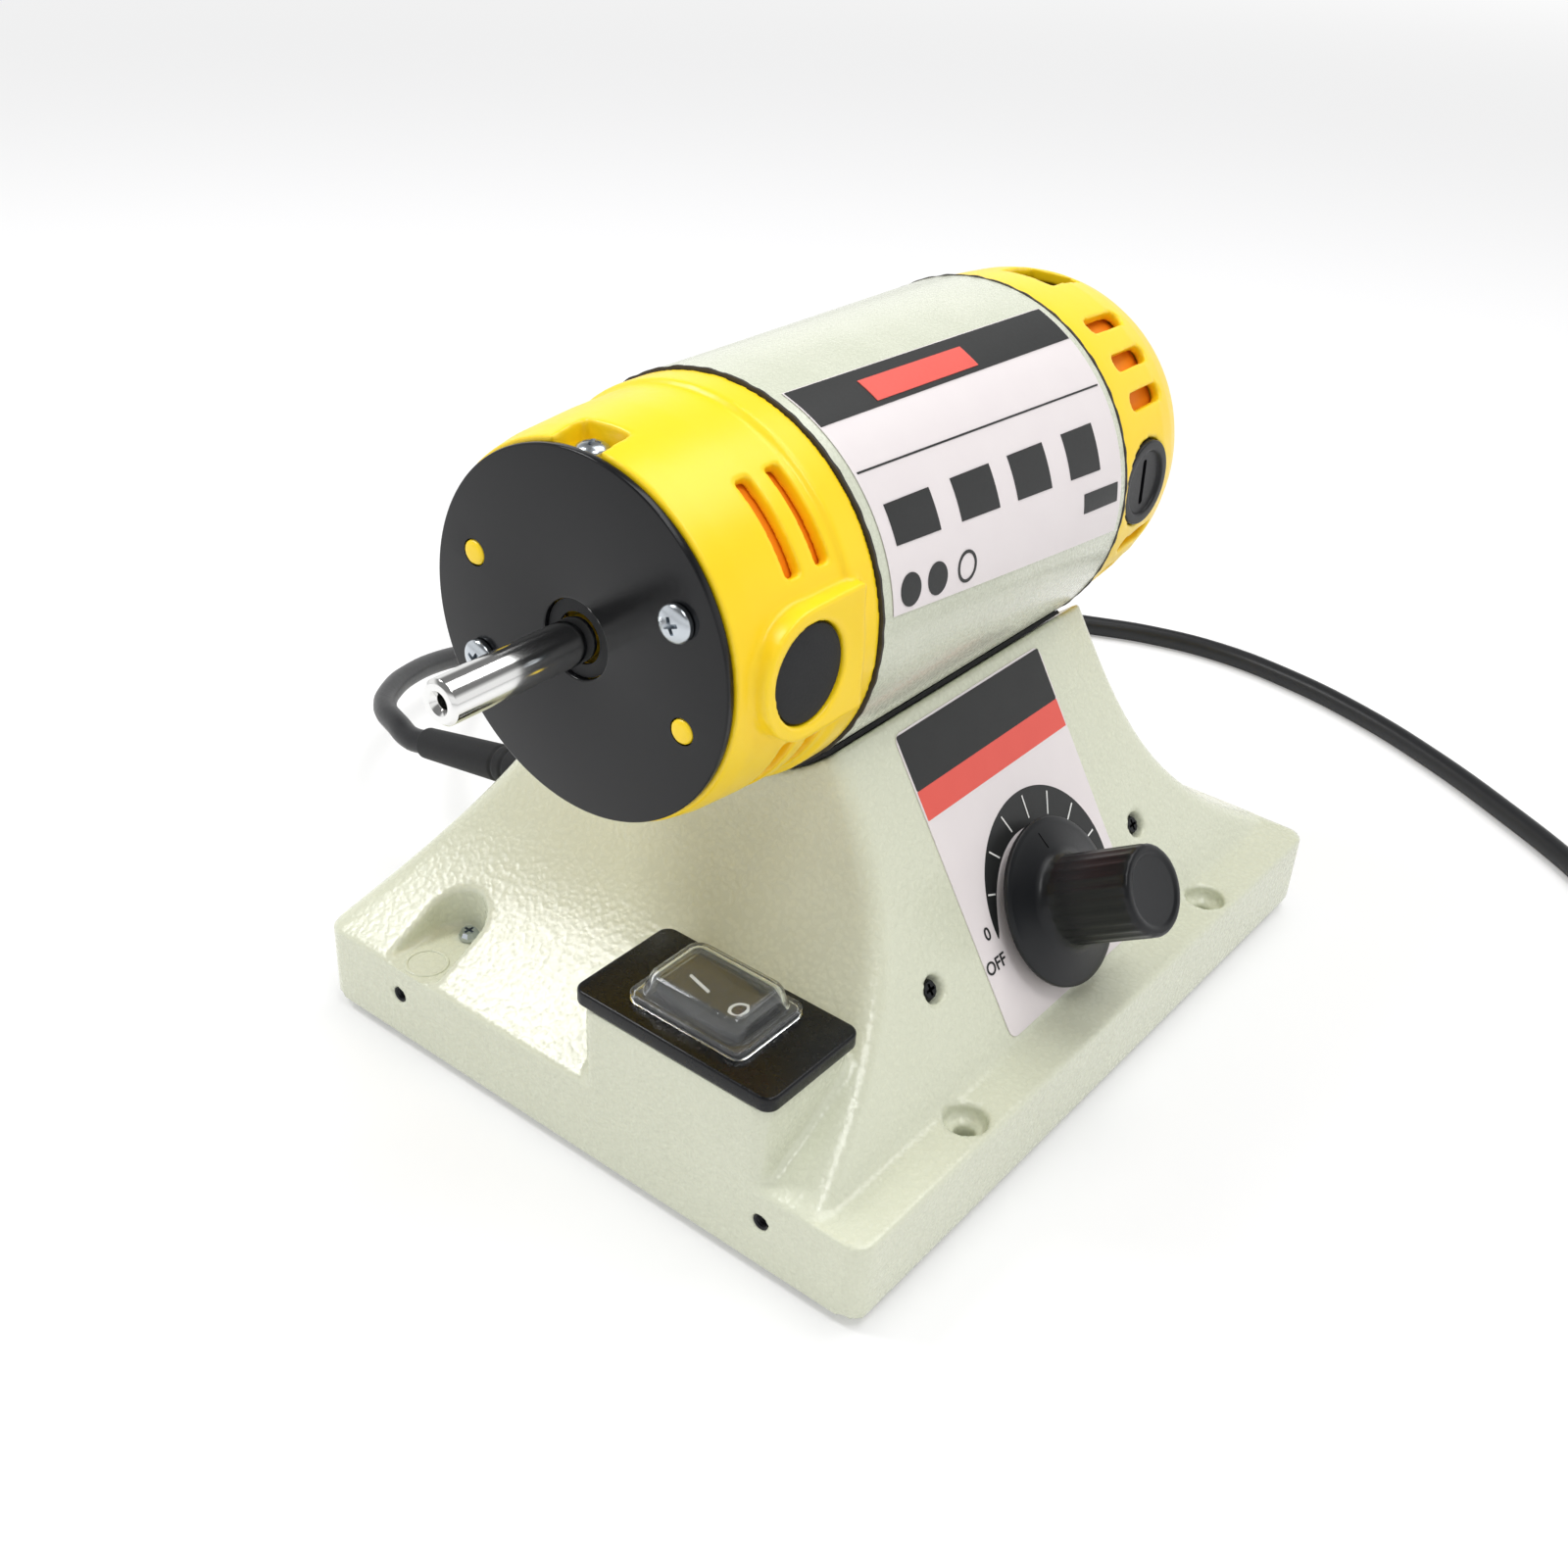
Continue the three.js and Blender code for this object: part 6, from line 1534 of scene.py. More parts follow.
    def rear_cap(self) -> None:
        """Makes the domed rear end cap, with its vents and brush bosses."""
        cap = turned("rear_cap_shell", [*self.rear_inner, *self.rear_outer], self.capped, Axis.Y,
                     self.shell_sides)
        envelope = [(0, self.cap_front), *self.rear_outer]
        bosses, tools = [], []
        place = self.capped @ moved(y=self.brush_y)
        hole = self.brush_cap_radius + SEAT_GAP
        foot, head = self.brush_boss
        for low, high in ((foot, head), (-head, -foot)):
            boss = bored(self.brush_boss_radius, low, high, place, Axis.X, self.round_sides)
            trim = turned("cutter", envelope, self.capped, Axis.Y, self.tool_sides)
            bosses.append(carve(boss, [trim], "INTERSECT"))
        for low, high in ((self.cap_bore, self.tool_reach), (-self.tool_reach, -self.cap_bore)):
            tools.append(bored(hole, low, high, place, Axis.X, self.round_sides))
        radius, reach = self.brush_bore
        tools.append(bored(radius, -reach, reach, place, Axis.X))
        carve(cap, bosses, "UNION")
        for angle in self.rear_slots:
            for way in (angle, 180 - angle):
                tools.append(self.vent_tool(self.capped @ Matrix.Rotation(radians(-way), 4, "Y")))
        top = self.capped @ Matrix.Rotation(radians(-self.window_angle), 4, "Y")
        tools.append(plain_block("cutter", self.vent_radii, self.window_span,
                                 (-self.window_half, self.window_half), top))
        carve(cap, tools)
        soften(cap, self.skin_size, self.skin_passes)
        finish_piece(cap, YELLOW_ABS, "yellow_plastic", "rear_end_cap",
                     angle=self.smooth_angle)

    def seams(self) -> None:
        """Makes dark, slightly wavy bands at the barrel's ends, where the caps meet it: painted shade in the
        seams.
        """
        radius = self.barrel_radius

        def wave(angle: float, height: float) -> float:
            """Returns how far the band's edge wanders."""
            return sum(size * sin(count * angle + start) for size, count, start in self.seam_waves)

        inner, outer = radius - self.seam_wall, radius + self.seam_stand
        before, behind = self.seam_reach
        for name, at in (("front", self.barrel_front), ("rear", self.barrel_rear)):
            near, far = at - before, at + behind
            outline = eased([(inner, near), (outer, near), (outer, far), (inner, far)], self.seam_edge,
                            closed=True, steps=2)
            edge = turned(f"barrel_edge_{name}", [*outline, outline[0]], TO_MOTOR, Axis.Y, self.seam_sides,
                          wave)
            # Dark brown: painted shade in the seam
            finish_piece(edge, SEAM_SHADE, "hammered_paint")

    def baffles(self) -> None:
        """Makes the curved walls inside the caps, seen through the vents, in a deep orange that paints their
        shade.
        """
        for cap, radii, y in self.vent_walls:
            for side, start, end in self.wall_angles:
                wall = self.arc_tool((y[0] + y[1]) / 2, y[1] - y[0], start, end, radii, self.wall_steps)
                wall.name = wall.data.name = f"{cap}_vent_wall_{side}"
                # Deep orange: painted shade inside the vents
                finish_piece(wall, SHADED_YELLOW_ABS, "yellow_plastic")

    def spindle_recess_shade(self) -> None:
        """Makes a black ring round the spindle, behind the disc's hole: painted shade in the recess there."""
        low, high = self.plate_front + self.shade_ring_sink, self.front_face - SEAT_GAP
        bore, rim = self.shade_ring_bore, self.plate_hole - self.shade_ring_gap
        outline = [(bore, low), (rim, low), (rim, high), (bore, high)]
        ring = turned("spindle_shade_ring", [*outline, outline[0]], self.capped)
        # Black rubber finish: painted shade round the spindle
        finish_piece(ring, RUBBER, "rubber")

    def face_plate(self) -> None:
        """Makes the black disc with its holes for the spindle, screws and pegs."""
        front, back = self.plate_front, self.plate_front + self.plate_thickness
        outline = eased([(self.plate_hole, front), (self.plate_radius, front), (self.plate_radius, back),
                         (self.plate_hole, back)], self.plate_edge, closed=True)
        disc = turned("face_disc", [*outline, outline[0]], self.capped, Axis.Y, self.fine_sides)
        spots = ((self.peg, self.peg_radius + self.peg_gap), (self.screw, self.screw_hole))
        carve(disc, [bored(radius, front - OVERRUN, back + OVERRUN, place, Axis.Y)
                     for spot, radius in spots for place in self.opposite(spot)])
        finish_piece(disc, BLACK_LACQUER, "black_plastic", "face_plate")

    def fittings(self) -> None:
        """Makes the screws, side plugs and brush caps."""
        forward = Matrix.Rotation(pi / 2, 4, "X")
        x, z = self.screw
        for name, side, turn in self.disc_screws:
            seat = moved(side * x, self.plate_front - SEAT_GAP, side * z)
            self.disc_screw.build(f"disc_screw_{name}", self.capped @ seat @ forward, turn,
                                  f"face_plate_screw_{name}")
        seat = moved(0.0, self.notch_screw_y, self.notch_floor + SEAT_GAP)
        self.notch_screw.build("notch_screw", self.capped @ seat, self.notch_turn, "cap_screw")
        plug = BlindPlug(self.plug_radius, self.boss_reach - self.plug_sink)
        brush_cap = BrushCap(self.brush_cap_radius, self.brush_cap_reach)
        for name, turn in (("right", 0.0), ("left", pi)):
            place = self.capped @ Matrix.Rotation(turn, 4, "Y")
            plug.build(name, place @ moved(y=self.boss_y))
            brush_cap.build(name, place @ moved(y=self.brush_y))

    def build(self) -> None:
        """Makes the whole casing."""
        self.barrel()
        self.seams()
        self.baffles()
        self.spindle_recess_shade()
        self.front_cap()
        self.rear_cap()
        self.face_plate()
        self.fittings()


@dataclass
class BarrelLabel:
    """The foil on the barrel and its bare printed fields; no words are drawn."""

    radius: float = 46.85
    foil: float = 0.14
    front: float = -50.0
    rear: float = 47.0
    low: Pair = (5.6, -7.0)
    high: Pair = (73.0, 69.0)
    banner: Pair = (59.0, 55.5)
    line: Pair = (43.9, 38.9)
    boxes: Pairs = ((-46.0, -30.0), (-22.0, -7.0), (0.5, 15.0), (23.5, 37.0))
    red_bar: Pair = (-29.0, 9.0)
    dots: tuple[float, ...] = (-43.5, -33.5, -22.0)
    dot_radius: float = 3.7
    dot_edge: Pair = (11.2, 2.4)
    pill: Pair = (29.0, 45.0)
    box_low: Pair = (23.5, 15.0)
    box_high: Pair = (34.5, 29.5)
    # How far the printed fields lie over the foil, and their margins in millimetres and degrees
    ink_lift: float = 0.01
    margin: float = 0.4
    line_margin: float = 1.0
    line_width: float = 0.55
    red_margins: Pair = (1.6, -4.4)
    pill_margins: Pair = (1.0, 7.0)
    rows: int = 12
    columns: int = 28
    dot_sides: int = 32
    # The rings that a dot or a hollow dot is made of, as shares of its radius
    dot_rings: tuple[float, ...] = (0.02, 0.35, 0.7, 1.0)
    hollow_rings: tuple[float, ...] = (0.8, 0.9, 1.0)

    def patch(self, name: str, finish: Finish, slot: str, lift: float,
              ends: tuple[Triple, Triple]) -> None:
        """Makes a thin curved sheet on the barrel.

        Args:
            name: The sheet's name.
            finish: Its material.
            slot: The record's slot.
            lift: Height of its underside over the barrel.
            ends: For its front and rear edges, Y and the lower and upper angle.
        """
        across, around = self.rows, self.columns
        (y0, low0, high0), (y1, low1, high1) = ends
        points = []
        for radius in (self.radius + lift, self.radius + lift + self.foil):
            for i in range(across + 1):
                t = i / across
                low, high = low0 + (low1 - low0) * t, high0 + (high1 - high0) * t
                for j in range(around + 1):
                    angle = radians(low + (high - low) * j / around)
                    points.append(Vector((radius * cos(angle), y0 + (y1 - y0) * t, radius * sin(angle))))
        row, sheet = around + 1, (across + 1) * (around + 1)
        faces = []
        for i in range(across):
            for j in range(around):
                a = i * row + j
                faces.append((a, a + 1, a + row + 1, a + row))
                faces.append((a + sheet, a + row + sheet, a + row + 1 + sheet, a + 1 + sheet))
        rim = [*range(row), *(row * i + around for i in range(1, across + 1)),
               *(row * across + j for j in range(around - 1, -1, -1)),
               *(row * i for i in range(across - 1, 0, -1))]
        for a, b in zip(rim, [*rim[1:], rim[0]]):
            faces.append((a, b, b + sheet, a + sheet))
        sheet_piece = put_mesh(name, points, faces, TO_MOTOR)
        finish_piece(sheet_piece, finish, slot)

    def dot(self, name: str, y: float, lift: float, hollow: bool) -> None:
        """Makes a plain round printed field, or a ring, that follows the barrel.

        Args:
            name: The field's name.
            y: Its middle along the motor.
            lift: Height of its underside over the barrel.
            hollow: Whether it is a ring.
        """
        middle, count = self.at(y, self.dot_edge), self.dot_sides
        shares = self.hollow_rings if hollow else self.dot_rings
        layers = [(share, lift) for share in shares]
        layers += [(share, lift + self.foil) for share in reversed(shares)]
        if hollow:
            layers.append(layers[0])
        rings = []
        for share, height in layers:
            ring = []
            for i in range(count):
                reach, turn = share * self.dot_radius, tau * i / count
                angle = radians(middle) + reach * sin(turn) / self.radius
                radius = self.radius + height
                ring.append(Vector((radius * cos(angle), y + reach * cos(turn), radius * sin(angle))))
            rings.append(ring)
        piece = skin(name, rings, TO_MOTOR)
        if hollow:
            work = bmesh.new()
            work.from_mesh(piece.data)
            caps = [face for face in work.faces if len(face.verts) > 4]
            bmesh.ops.delete(work, geom=caps, context="FACES_ONLY")
            work.to_mesh(piece.data)
            work.free()
        finish_piece(piece, DARK_INK, "hammered_paint")

    def at(self, y: float, edge: Pair) -> float:
        """Returns the angle of a slanted edge at a place along the label."""
        return edge[0] + (edge[1] - edge[0]) * (y - self.front) / (self.rear - self.front)

    @staticmethod
    def shifted(edge: Pair, by: float) -> Pair:
        """Returns a slanted edge, turned by some degrees round the barrel."""
        return edge[0] + by, edge[1] + by

    def strip(self, name: str, finish: Finish, y: Pair, low: Pair,
              high: Pair, lift: float) -> None:
        """Makes a printed field between two slanted edges, each given at the label's front and rear."""
        ends = tuple((at, self.at(at, low), self.at(at, high)) for at in y)
        self.patch(name, finish, "hammered_paint", lift, ends)

    def build(self) -> None:
        """Makes the foil and its fields."""
        self.strip("barrel_foil", LABEL_FOIL, (self.front, self.rear), self.low, self.high, 0.0)
        over = self.foil + self.ink_lift
        self.strip("barrel_foil_banner", DARK_INK, (self.front + self.margin, self.rear - self.margin),
                   self.banner, self.shifted(self.high, -self.margin), over)
        rise, drop = self.red_margins
        self.strip("barrel_foil_red_bar", RED_INK, self.red_bar, self.shifted(self.banner, rise),
                   self.shifted(self.high, drop), 2 * over)
        ends = (self.front + self.line_margin, self.rear - self.line_margin)
        self.strip("barrel_foil_line", DARK_INK, ends, self.line, self.shifted(self.line, self.line_width),
                   over)
        for i, span in enumerate(self.boxes):
            self.strip(f"barrel_foil_box_{i + 1}", DARK_INK, span, self.box_low, self.box_high, over)
        for i, y in enumerate(self.dots):
            self.dot(f"barrel_foil_dot_{i + 1}", y, over, i == len(self.dots) - 1)
        low, high = self.pill_margins
        self.strip("barrel_foil_pill", DARK_INK, self.pill, self.shifted(self.dot_edge, low),
                   self.shifted(self.dot_edge, high), over)


# Rotor, speed control and switch


@dataclass
class Rotor:
    """The spindle, in the motor's frame."""

    tip: float = -135.5
    radius: float = 5.0
    chamfer: float = 0.8
    bore: float = 1.6
    sink: float = 2.7
    # Depth of the centre hole and of its cone
    bore_depth: float = 12.0
    cone_depth: float = 1.3
    shoulder: float = 82.0
    journal: float = 4.0
    rear: float = 92.5
    edge: float = 0.12
    smooth_angle: float = 25.0

    def build(self) -> None:
        """Makes the ground spindle with its centre hole."""
        tip, radius, bore = self.tip, self.radius, self.bore
        profile = [(0, tip + self.bore_depth), (bore, tip + self.bore_depth), (bore, tip + self.cone_depth),
                   (self.sink, tip), (radius - self.chamfer, tip), (radius, tip + self.chamfer),
                   (radius, self.shoulder), (self.journal, self.shoulder), (self.journal, self.rear),
                   (0, self.rear)]
        spindle = turned("spindle_bar", eased(profile, self.edge, steps=2), TO_MOTOR)
        finish_piece(spindle, POLISHED_STEEL, "polished_steel", "spindle", body=Body.ROTOR,
                     angle=self.smooth_angle)


@dataclass
class SpeedControl:
    """The panel's foil, dial and knob, in the panel's frame."""

    foil_y: Pair = (-30.0, 34.0)
    foil_down: Pair = (5.3, 85.5)
    foil: float = 0.3
    header_end: float = 20.0
    band_end: float = 27.5
    dial_centre: Pair = (60.5, 4.4)
    dial_radius: float = 26.0
    band_width: float = 8.8
    band_growth: float = 0.65
    ticks: int = 12
    sweep: float = 270.0
    first_tick: float = -94.2
    knob_down: float = 63.0
    ribs: int = 24
    rib_height: float = 0.13
    zero: Pair = (59.7, -24.7)
    off: Pair = (67.4, -25.7)
    # How far the foil lies over the casting, the fields over the foil, and the ticks over both
    foil_lift: float = 0.05
    ink_lift: float = 0.02
    tick_lift: float = 0.18
    ink: float = 0.05
    dial_ink: float = 0.06
    margin: float = 0.5
    foil_corner: float = 2.5
    header_corner: float = 0.6
    red_corner: float = 0.2
    # The band's width at zero, the turn over which it widens, and its steps
    band_start: float = 0.3
    band_turn: float = 90.0
    band_steps: int = 90
    tick_half: float = 0.22
    tick_gap: float = 0.16
    mark_height: float = 3.4
    # The font's size for a height of 1, and the letters' relief, swelling and lift
    mark_scale: float = 1.35
    mark_relief: float = 0.04
    mark_swell: float = 0.06
    mark_lift: float = 0.45
    # The knob's outline: its hollow and skirt, the skirt's slope, the grip with its foot and its crown
    skirt: Pairs = (
        (0, 22.3), (3.3, 22.3), (3.3, 2.2), (9.5, 2.2), (10.0, 3.6), (20.4, 4.2), (21.2, 4.3), (21.4, 4.5),
        (21.4, 5.4))
    slope_from: Pair = (21.2, 5.6)
    slope_by: Pair = (8.6, 2.6)
    slope_power: float = 1.25
    slope_shares: tuple[float, ...] = (0.0, 0.15, 0.3, 0.5, 0.7, 0.85, 1.0)
    grip_foot: Pairs = ((12.0, 8.9), (11.5, 9.8))
    grip_radius: float = 11.3
    grip_levels: tuple[float, ...] = (10.2, 14.0, 18.0, 22.0, 26.0, 30.0, 31.6)
    crown: Pairs = (
        (11.2, 32.4), (10.7, 33.0), (10.0, 33.1), (9.2, 33.1), (8.8, 32.75), (8.2, 32.7), (0, 32.7))
    # Where the ribs start and end, how soon they rise, and how deep the valleys between them go
    rib_span: Pair = (9.5, 32.6)
    rib_fade: float = 1.5
    rib_valley: float = -0.6
    knob_sides: int = 288
    smooth_angle: float = 50.0
    # The pointer line: its radii and heights down the skirt, and its section
    pointer_line: Pairs = ((18.6, 6.18), (16.6, 6.78), (14.4, 7.55))
    pointer_section: Pairs = ((-0.17, -0.3), (0.17, -0.3), (0.17, 0.03), (-0.17, 0.03))
    pointer_lean: float = 0.3

    def dial_way(self, share: float) -> Vector:
        """Returns the direction, down and along the panel, at a share of the knob's sweep."""
        angle = radians(self.first_tick + self.sweep * share)
        return Vector((-cos(angle), sin(angle)))

    def band_inner(self, share: float) -> float:
        """Returns the inner radius of the band, which widens from zero and then stays."""
        growth = min(share * self.sweep / self.band_turn, 1.0) ** self.band_growth
        return self.dial_radius - self.band_start - (self.band_width - self.band_start) * growth

    @staticmethod
    def flat(name: str, finish: Finish, outline: Profile, lift: float, thickness: float) -> None:
        """Makes a thin flat sheet over the panel from an outline of distances down and along it."""
        rings = [[Vector((*spot, height)) for spot in outline] for height in (lift, lift + thickness)]
        finish_piece(skin(name, rings, CastBase().panel_frame()), finish, "hammered_paint")

    @staticmethod
    def box(down: Pair, along: Pair, corner: float) -> list[Pair]:
        """Returns the outline of a rectangle with round corners, between edges down and along the panel."""
        return [(point.x, point.y) for point in rounded_ring(*down, *along, corner, 0.0)]

    def label(self) -> None:
        """Makes the foil with its bare header, red band, dial and marks."""
        along, over = self.foil_y, self.foil + self.ink_lift
        self.flat("panel_foil", LABEL_FOIL, self.box(self.foil_down, along, self.foil_corner),
                  self.foil_lift, self.foil)
        inner = (along[0] + self.margin, along[1] - self.margin)
        header = self.box((self.foil_down[0] + self.margin, self.header_end), inner, self.header_corner)
        self.flat("panel_foil_header", DARK_INK, header, self.foil_lift + over, self.ink)
        red = self.box((self.header_end, self.band_end), inner, self.red_corner)
        self.flat("panel_foil_band", RED_INK, red, self.foil_lift + over, self.ink)
        down, middle = self.dial_centre
        shares = [i / self.band_steps for i in range(self.band_steps + 1)]
        outer = [self.dial_way(share) * self.dial_radius for share in shares]
        inner = [self.dial_way(share) * self.band_inner(share) for share in reversed(shares)]
        band = [(down + point.x, middle + point.y) for point in (*outer, *inner)]
        self.flat("panel_dial", DARK_INK, band, self.foil_lift + over, self.dial_ink)
        for i in range(1, self.ticks):
            share = i / (self.ticks - 1)
            way = self.dial_way(share)
            side = Vector((-way.y, way.x)) * self.tick_half
            gap = self.tick_gap * (self.dial_radius - self.band_inner(share))
            ends = [way * (self.band_inner(share) + gap), way * (self.dial_radius - gap)]
            corners = [ends[0] - side, ends[1] - side, ends[1] + side, ends[0] + side]
            outline = [(down + corner.x, middle + corner.y) for corner in corners]
            self.flat(f"dial_tick_{i + 1}", WHITE_INK, outline, self.tick_lift + over, self.ink)

    def word(self, name: str, text: str, place: Pair) -> None:
        """Draws one of the dial's plain marks.

        Args:
            name: The piece's name.
            text: "0" or "OFF".
            place: Distance down and along the panel of its middle.
        """
        data = bpy.data.curves.new(name, "FONT")
        data.body = text
        data.size = self.mark_height * self.mark_scale
        data.align_x = "CENTER"
        data.align_y = "CENTER"
        data.extrude = self.mark_relief
        data.offset = self.mark_swell
        text_object = bpy.data.objects.new(name, data)
        bpy.context.scene.collection.objects.link(text_object)
        graph = bpy.context.evaluated_depsgraph_get()
        mesh = bpy.data.meshes.new_from_object(text_object.evaluated_get(graph))
        bpy.data.objects.remove(text_object)
        upright = Matrix(((0, -1, 0), (1, 0, 0), (0, 0, 1))).to_4x4()
        seat = moved(*place, self.mark_lift) @ upright
        mesh.transform(Matrix.Scale(MM, 4) @ CastBase().panel_frame() @ seat)
        piece = bpy.data.objects.new(name, mesh)
        bpy.context.scene.collection.objects.link(piece)
        finish_piece(piece, DARK_INK, "hammered_paint")

    def knob(self) -> None:
        """Makes the skirted knob with its ribbed grip and pointer line."""
        place = CastBase().panel_frame() @ moved(self.knob_down)
        (radius, rise), (inward, upward) = self.slope_from, self.slope_by
        slope = [(radius - inward * t, rise + upward * t ** self.slope_power) for t in self.slope_shares]
        grip = [(self.grip_radius, level) for level in self.grip_levels]
        profile = [*self.skirt, *slope, *self.grip_foot, *grip, *self.crown]
        foot, top = self.rib_span

        def flute(angle: float, height: float) -> float:
            """Returns the ribs' height, which fades at both ends of the grip."""
            fade = min(max((height - foot) / self.rib_fade, 0.0), 1.0) * min(max(top - height, 0.0), 1.0)
            return self.rib_height * fade * max(cos(self.ribs * angle), self.rib_valley)

        knob = turned("knob_body", profile, place, Axis.Z, self.knob_sides, flute)
        finish_piece(knob, PHENOLIC, "knob_plastic", "speed_knob", body=Body.KNOB, angle=self.smooth_angle)
        points = [Vector((-radius - lift * self.pointer_lean, along, height + lift))
                  for radius, height in self.pointer_line for along, lift in self.pointer_section]
        sides = len(self.pointer_section)
        faces = [(level + i, level + (i + 1) % sides, level + sides + (i + 1) % sides, level + sides + i)
                 for level in range(0, len(points) - sides, sides) for i in range(sides)]
        faces += [tuple(range(sides)), tuple(range(len(points) - sides, len(points)))]
        pointer = put_mesh("knob_pointer", points, faces, place)
        # The pointer line is near black: painted shade in its groove
        finish_piece(pointer, GROOVE_SHADE, "knob_plastic", body=Body.KNOB)

    def build(self) -> None:
        """Makes the foil, its marks and the knob."""
        self.label()
        self.word("dial_zero", "0", self.zero)
        self.word("dial_off", "OFF", self.off)
        self.knob()


@dataclass
class RockerSwitch:
    """The plate, clear boot and rocker of the mains switch."""

    plate: Quad = (9.1, 66.6, -109.6, -77.4)
    plate_bottom: float = 47.3
    plate_top: float = 51.3
    centre: Pair = (37.5, -93.0)
    well: Pair = (28.0, 20.0)
    boot_base: Pair = (33.4, 23.6)
    boot_foot: Pair = (29.0, 20.4)
    boot_head: Pair = (27.0, 18.6)
    boot_base_height: float = 2.0
    boot_height: float = 7.4
    boot_wall: float = 0.9
    half_length: float = 11.4
    width: float = 14.0
    rest_tilt: float = 7.0
    plate_corner: float = 3.2
    plate_edge: float = 0.7
    window_reach: float = 10.0
    # The boot's corner radii, and the least that is left of them inside
    base_corner: float = 3.0
    foot_corner: float = 3.4
    head_corner: float = 3.8
    inner_corner: float = 0.4
    # The base's edge and the foot of the boot's wall: height from the base's top, and how far drawn in
    base_steps: Pairs = ((-0.4, 0.0), (-0.1, 0.15), (0.0, 0.5))
    foot_steps: Pairs = ((0.0, -0.4), (0.2, -0.1), (0.7, 0.0))
    shoulder: float = 2.0
    head_swell: float = 0.3
    smooth_angle: float = 50.0
    # The rocker's section: its belly, the heights of its waist, rim and valley, and its edges
    belly: Pair = (5.2, 4.2)
    belly_steps: int = 12
    waist: float = 1.2
    rim: float = 4.6
    valley: float = 1.9
    section_edge: float = 0.7
    edge_steps: int = 3
    # Distance in from each side, and how far the section is drawn in there
    side_steps: Pairs = ((0.0, 0.5), (0.15, 0.15), (0.5, 0.0))
    draw_above: float = 2.0
    draw_down: float = 0.5
    key_rise: float = 2.7
    # The line and the ring on the rocker
    line_place: Triple = (-5.4, 0.0, 3.2)
    line_half: Pair = (2.9, 0.42)
    line_corner: float = 0.2
    ring_place: Triple = (6.2, 0.0, 3.4)
    ring_radii: Pair = (1.9, 2.6)
    ring_sides: int = 48
    mark_levels: Pair = (-0.1, 0.12)

    @property
    def unit(self) -> Matrix:
        """The switch's frame: zero in the middle of the plate's top."""
        return TO_ROW @ moved(*self.centre, self.plate_top)

    def mount_plate(self) -> None:
        """Makes the moulded plate with its window."""
        plate = rounded_block("switch_mount_plate", self.plate, self.plate_corner, self.plate_bottom,
                              self.plate_top, edge=self.plate_edge)
        length, width = self.well
        window = plain_block("cutter", (-length / 2, length / 2), (-width / 2, width / 2),
                             (-self.window_reach, self.window_reach), self.unit)
        carve(plate, [window])
        finish_piece(plate, GLOSS_ABS, "black_plastic", "switch_plate")

    def shell(self, name: str, inset: float, bottom: float) -> Piece:
        """Makes the boot's outer or inner form.

        Args:
            name: The solid's name.
            inset: How far it is drawn in from the outer form.
            bottom: Its lowest height over the plate.

        Returns:
            The closed solid.
        """
        def level(size: Pair, corner: float, z: float, draw: float = 0.0) -> Ring:
            """Returns one ring of the boot, drawn in from the outer form's size."""
            x, y = size[0] / 2 - inset - draw, size[1] / 2 - inset - draw
            return rounded_ring(-x, x, -y, y, max(corner - inset - draw, self.inner_corner), z)

        base = SEAT_GAP + self.boot_base_height - inset
        top = SEAT_GAP + self.boot_height - inset
        rings = [level(self.boot_base, self.base_corner, bottom)]
        rings += [level(self.boot_base, self.base_corner, base + rise, draw)
                  for rise, draw in self.base_steps]
        rings += [level(self.boot_foot, self.foot_corner, base + rise, draw)
                  for rise, draw in self.foot_steps]
        for i in range(EDGE_STEPS + 1):
            turn = radians(90 * i / EDGE_STEPS)
            rings.append(level(self.boot_head, self.head_corner, top - self.shoulder * (1 - sin(turn)),
                               self.shoulder * (1 - cos(turn)) - self.head_swell))
        return skin(name, rings, self.unit)

    def boot(self) -> None:
        """Makes the clear boot over the rocker."""
        boot = self.shell("clear_boot", 0.0, SEAT_GAP)
        carve(boot, [self.shell("cutter", self.boot_wall, -OVERRUN)])
        finish_piece(boot, CLEAR_PVC, "clear_plastic", "switch_cover", angle=self.smooth_angle)

    def rocker(self) -> None:
        """Makes the rocker with its line and ring."""
        place = Matrix.Translation(ROCKER_PLACE) @ Matrix.Rotation(radians(self.rest_tilt), 4, "Y")
        half, wide = self.half_length, self.width / 2
        reach, depth = self.belly
        turns = [pi * i / self.belly_steps for i in range(self.belly_steps + 1)]
        belly = [(-reach * cos(turn), -depth * sin(turn)) for turn in turns]
        outline = eased([(-half, self.waist), *belly, (half, self.waist), (half, self.rim), (0, self.valley),
                         (-half, self.rim)], self.section_edge, closed=True, steps=self.edge_steps)
        near = [(step - wide, draw) for step, draw in self.side_steps]
        rings = []
        for y, draw in (*near, *((-y, draw) for y, draw in reversed(near))):
            shrink = 1 - draw / half
            rings.append([Vector((x * shrink, y, z - draw * self.draw_down * (z > self.draw_above)))
                          for x, z in outline])
        rocker = skin("rocker_key", rings, place)
        finish_piece(rocker, NYLON, "black_plastic", "switch_rocker", body=Body.ROCKER,
                     angle=self.smooth_angle)
        slope = atan(self.key_rise / half)
        low, high = self.mark_levels
        long, thick = self.line_half
        left = place @ Matrix.Translation(self.line_place) @ Matrix.Rotation(slope, 4, "Y")
        bar = rounded_block("rocker_line", (-long, long, -thick, thick), self.line_corner, low, high, left)
        finish_piece(bar, WHITE_INK, "black_plastic", body=Body.ROCKER)
        inner, outer = self.ring_radii
        right = place @ Matrix.Translation(self.ring_place) @ Matrix.Rotation(-slope, 4, "Y")
        section = [(inner, low), (outer, low), (outer, high), (inner, high), (inner, low)]
        ring = turned("rocker_ring", section, right, Axis.Z, self.ring_sides)
        finish_piece(ring, WHITE_INK, "black_plastic", body=Body.ROCKER)

    def build(self) -> None:
        """Makes the whole switch."""
        self.mount_plate()
        self.boot()
        self.rocker()


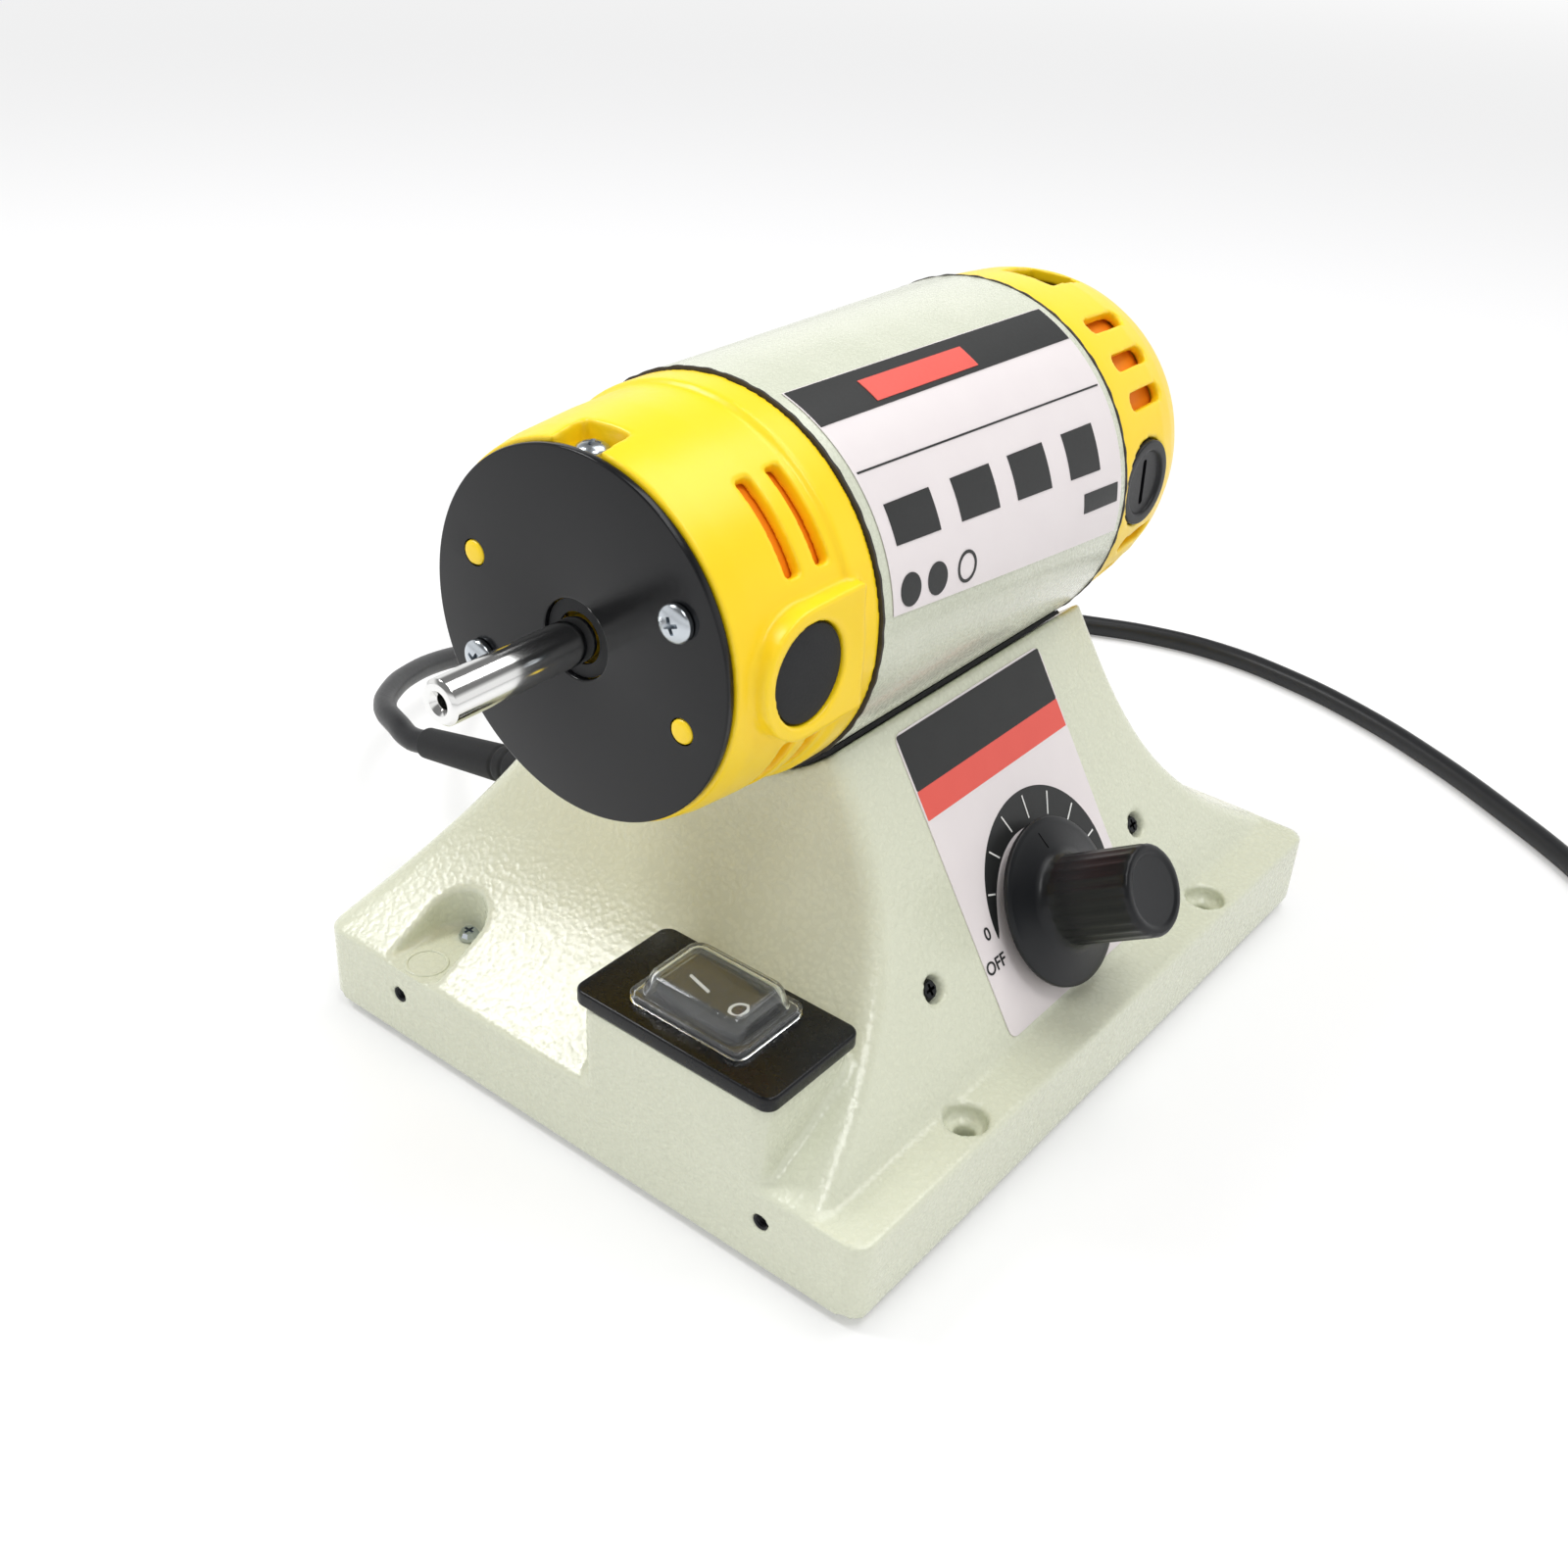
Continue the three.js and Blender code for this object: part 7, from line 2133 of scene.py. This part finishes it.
def dress_nodes() -> None:
    """Gives every CAD node the finish of its slot."""
    slots = {part["node"]: part["material_slot"] for part in RECORD["subparts"]}
    for name, node in frame["nodes"].items():
        finish = SLOT_FINISHES[slots[name]]
        node.data.materials.clear()
        node.data.materials.append(finish.material())
        LOG.info("dressed %s as %s", name, finish.name)


def main() -> None:
    """Builds the studio and then each sub-assembly."""
    logging.basicConfig(level=logging.INFO, format="%(name)s: %(message)s")
    Studio().build()
    MainsLead().build()
    dress_nodes()
    CastBase().build()
    MotorCasing().build()
    BarrelLabel().build()
    Rotor().build()
    SpeedControl().build()
    RockerSwitch().build()


if __name__ == "__main__":
    main()
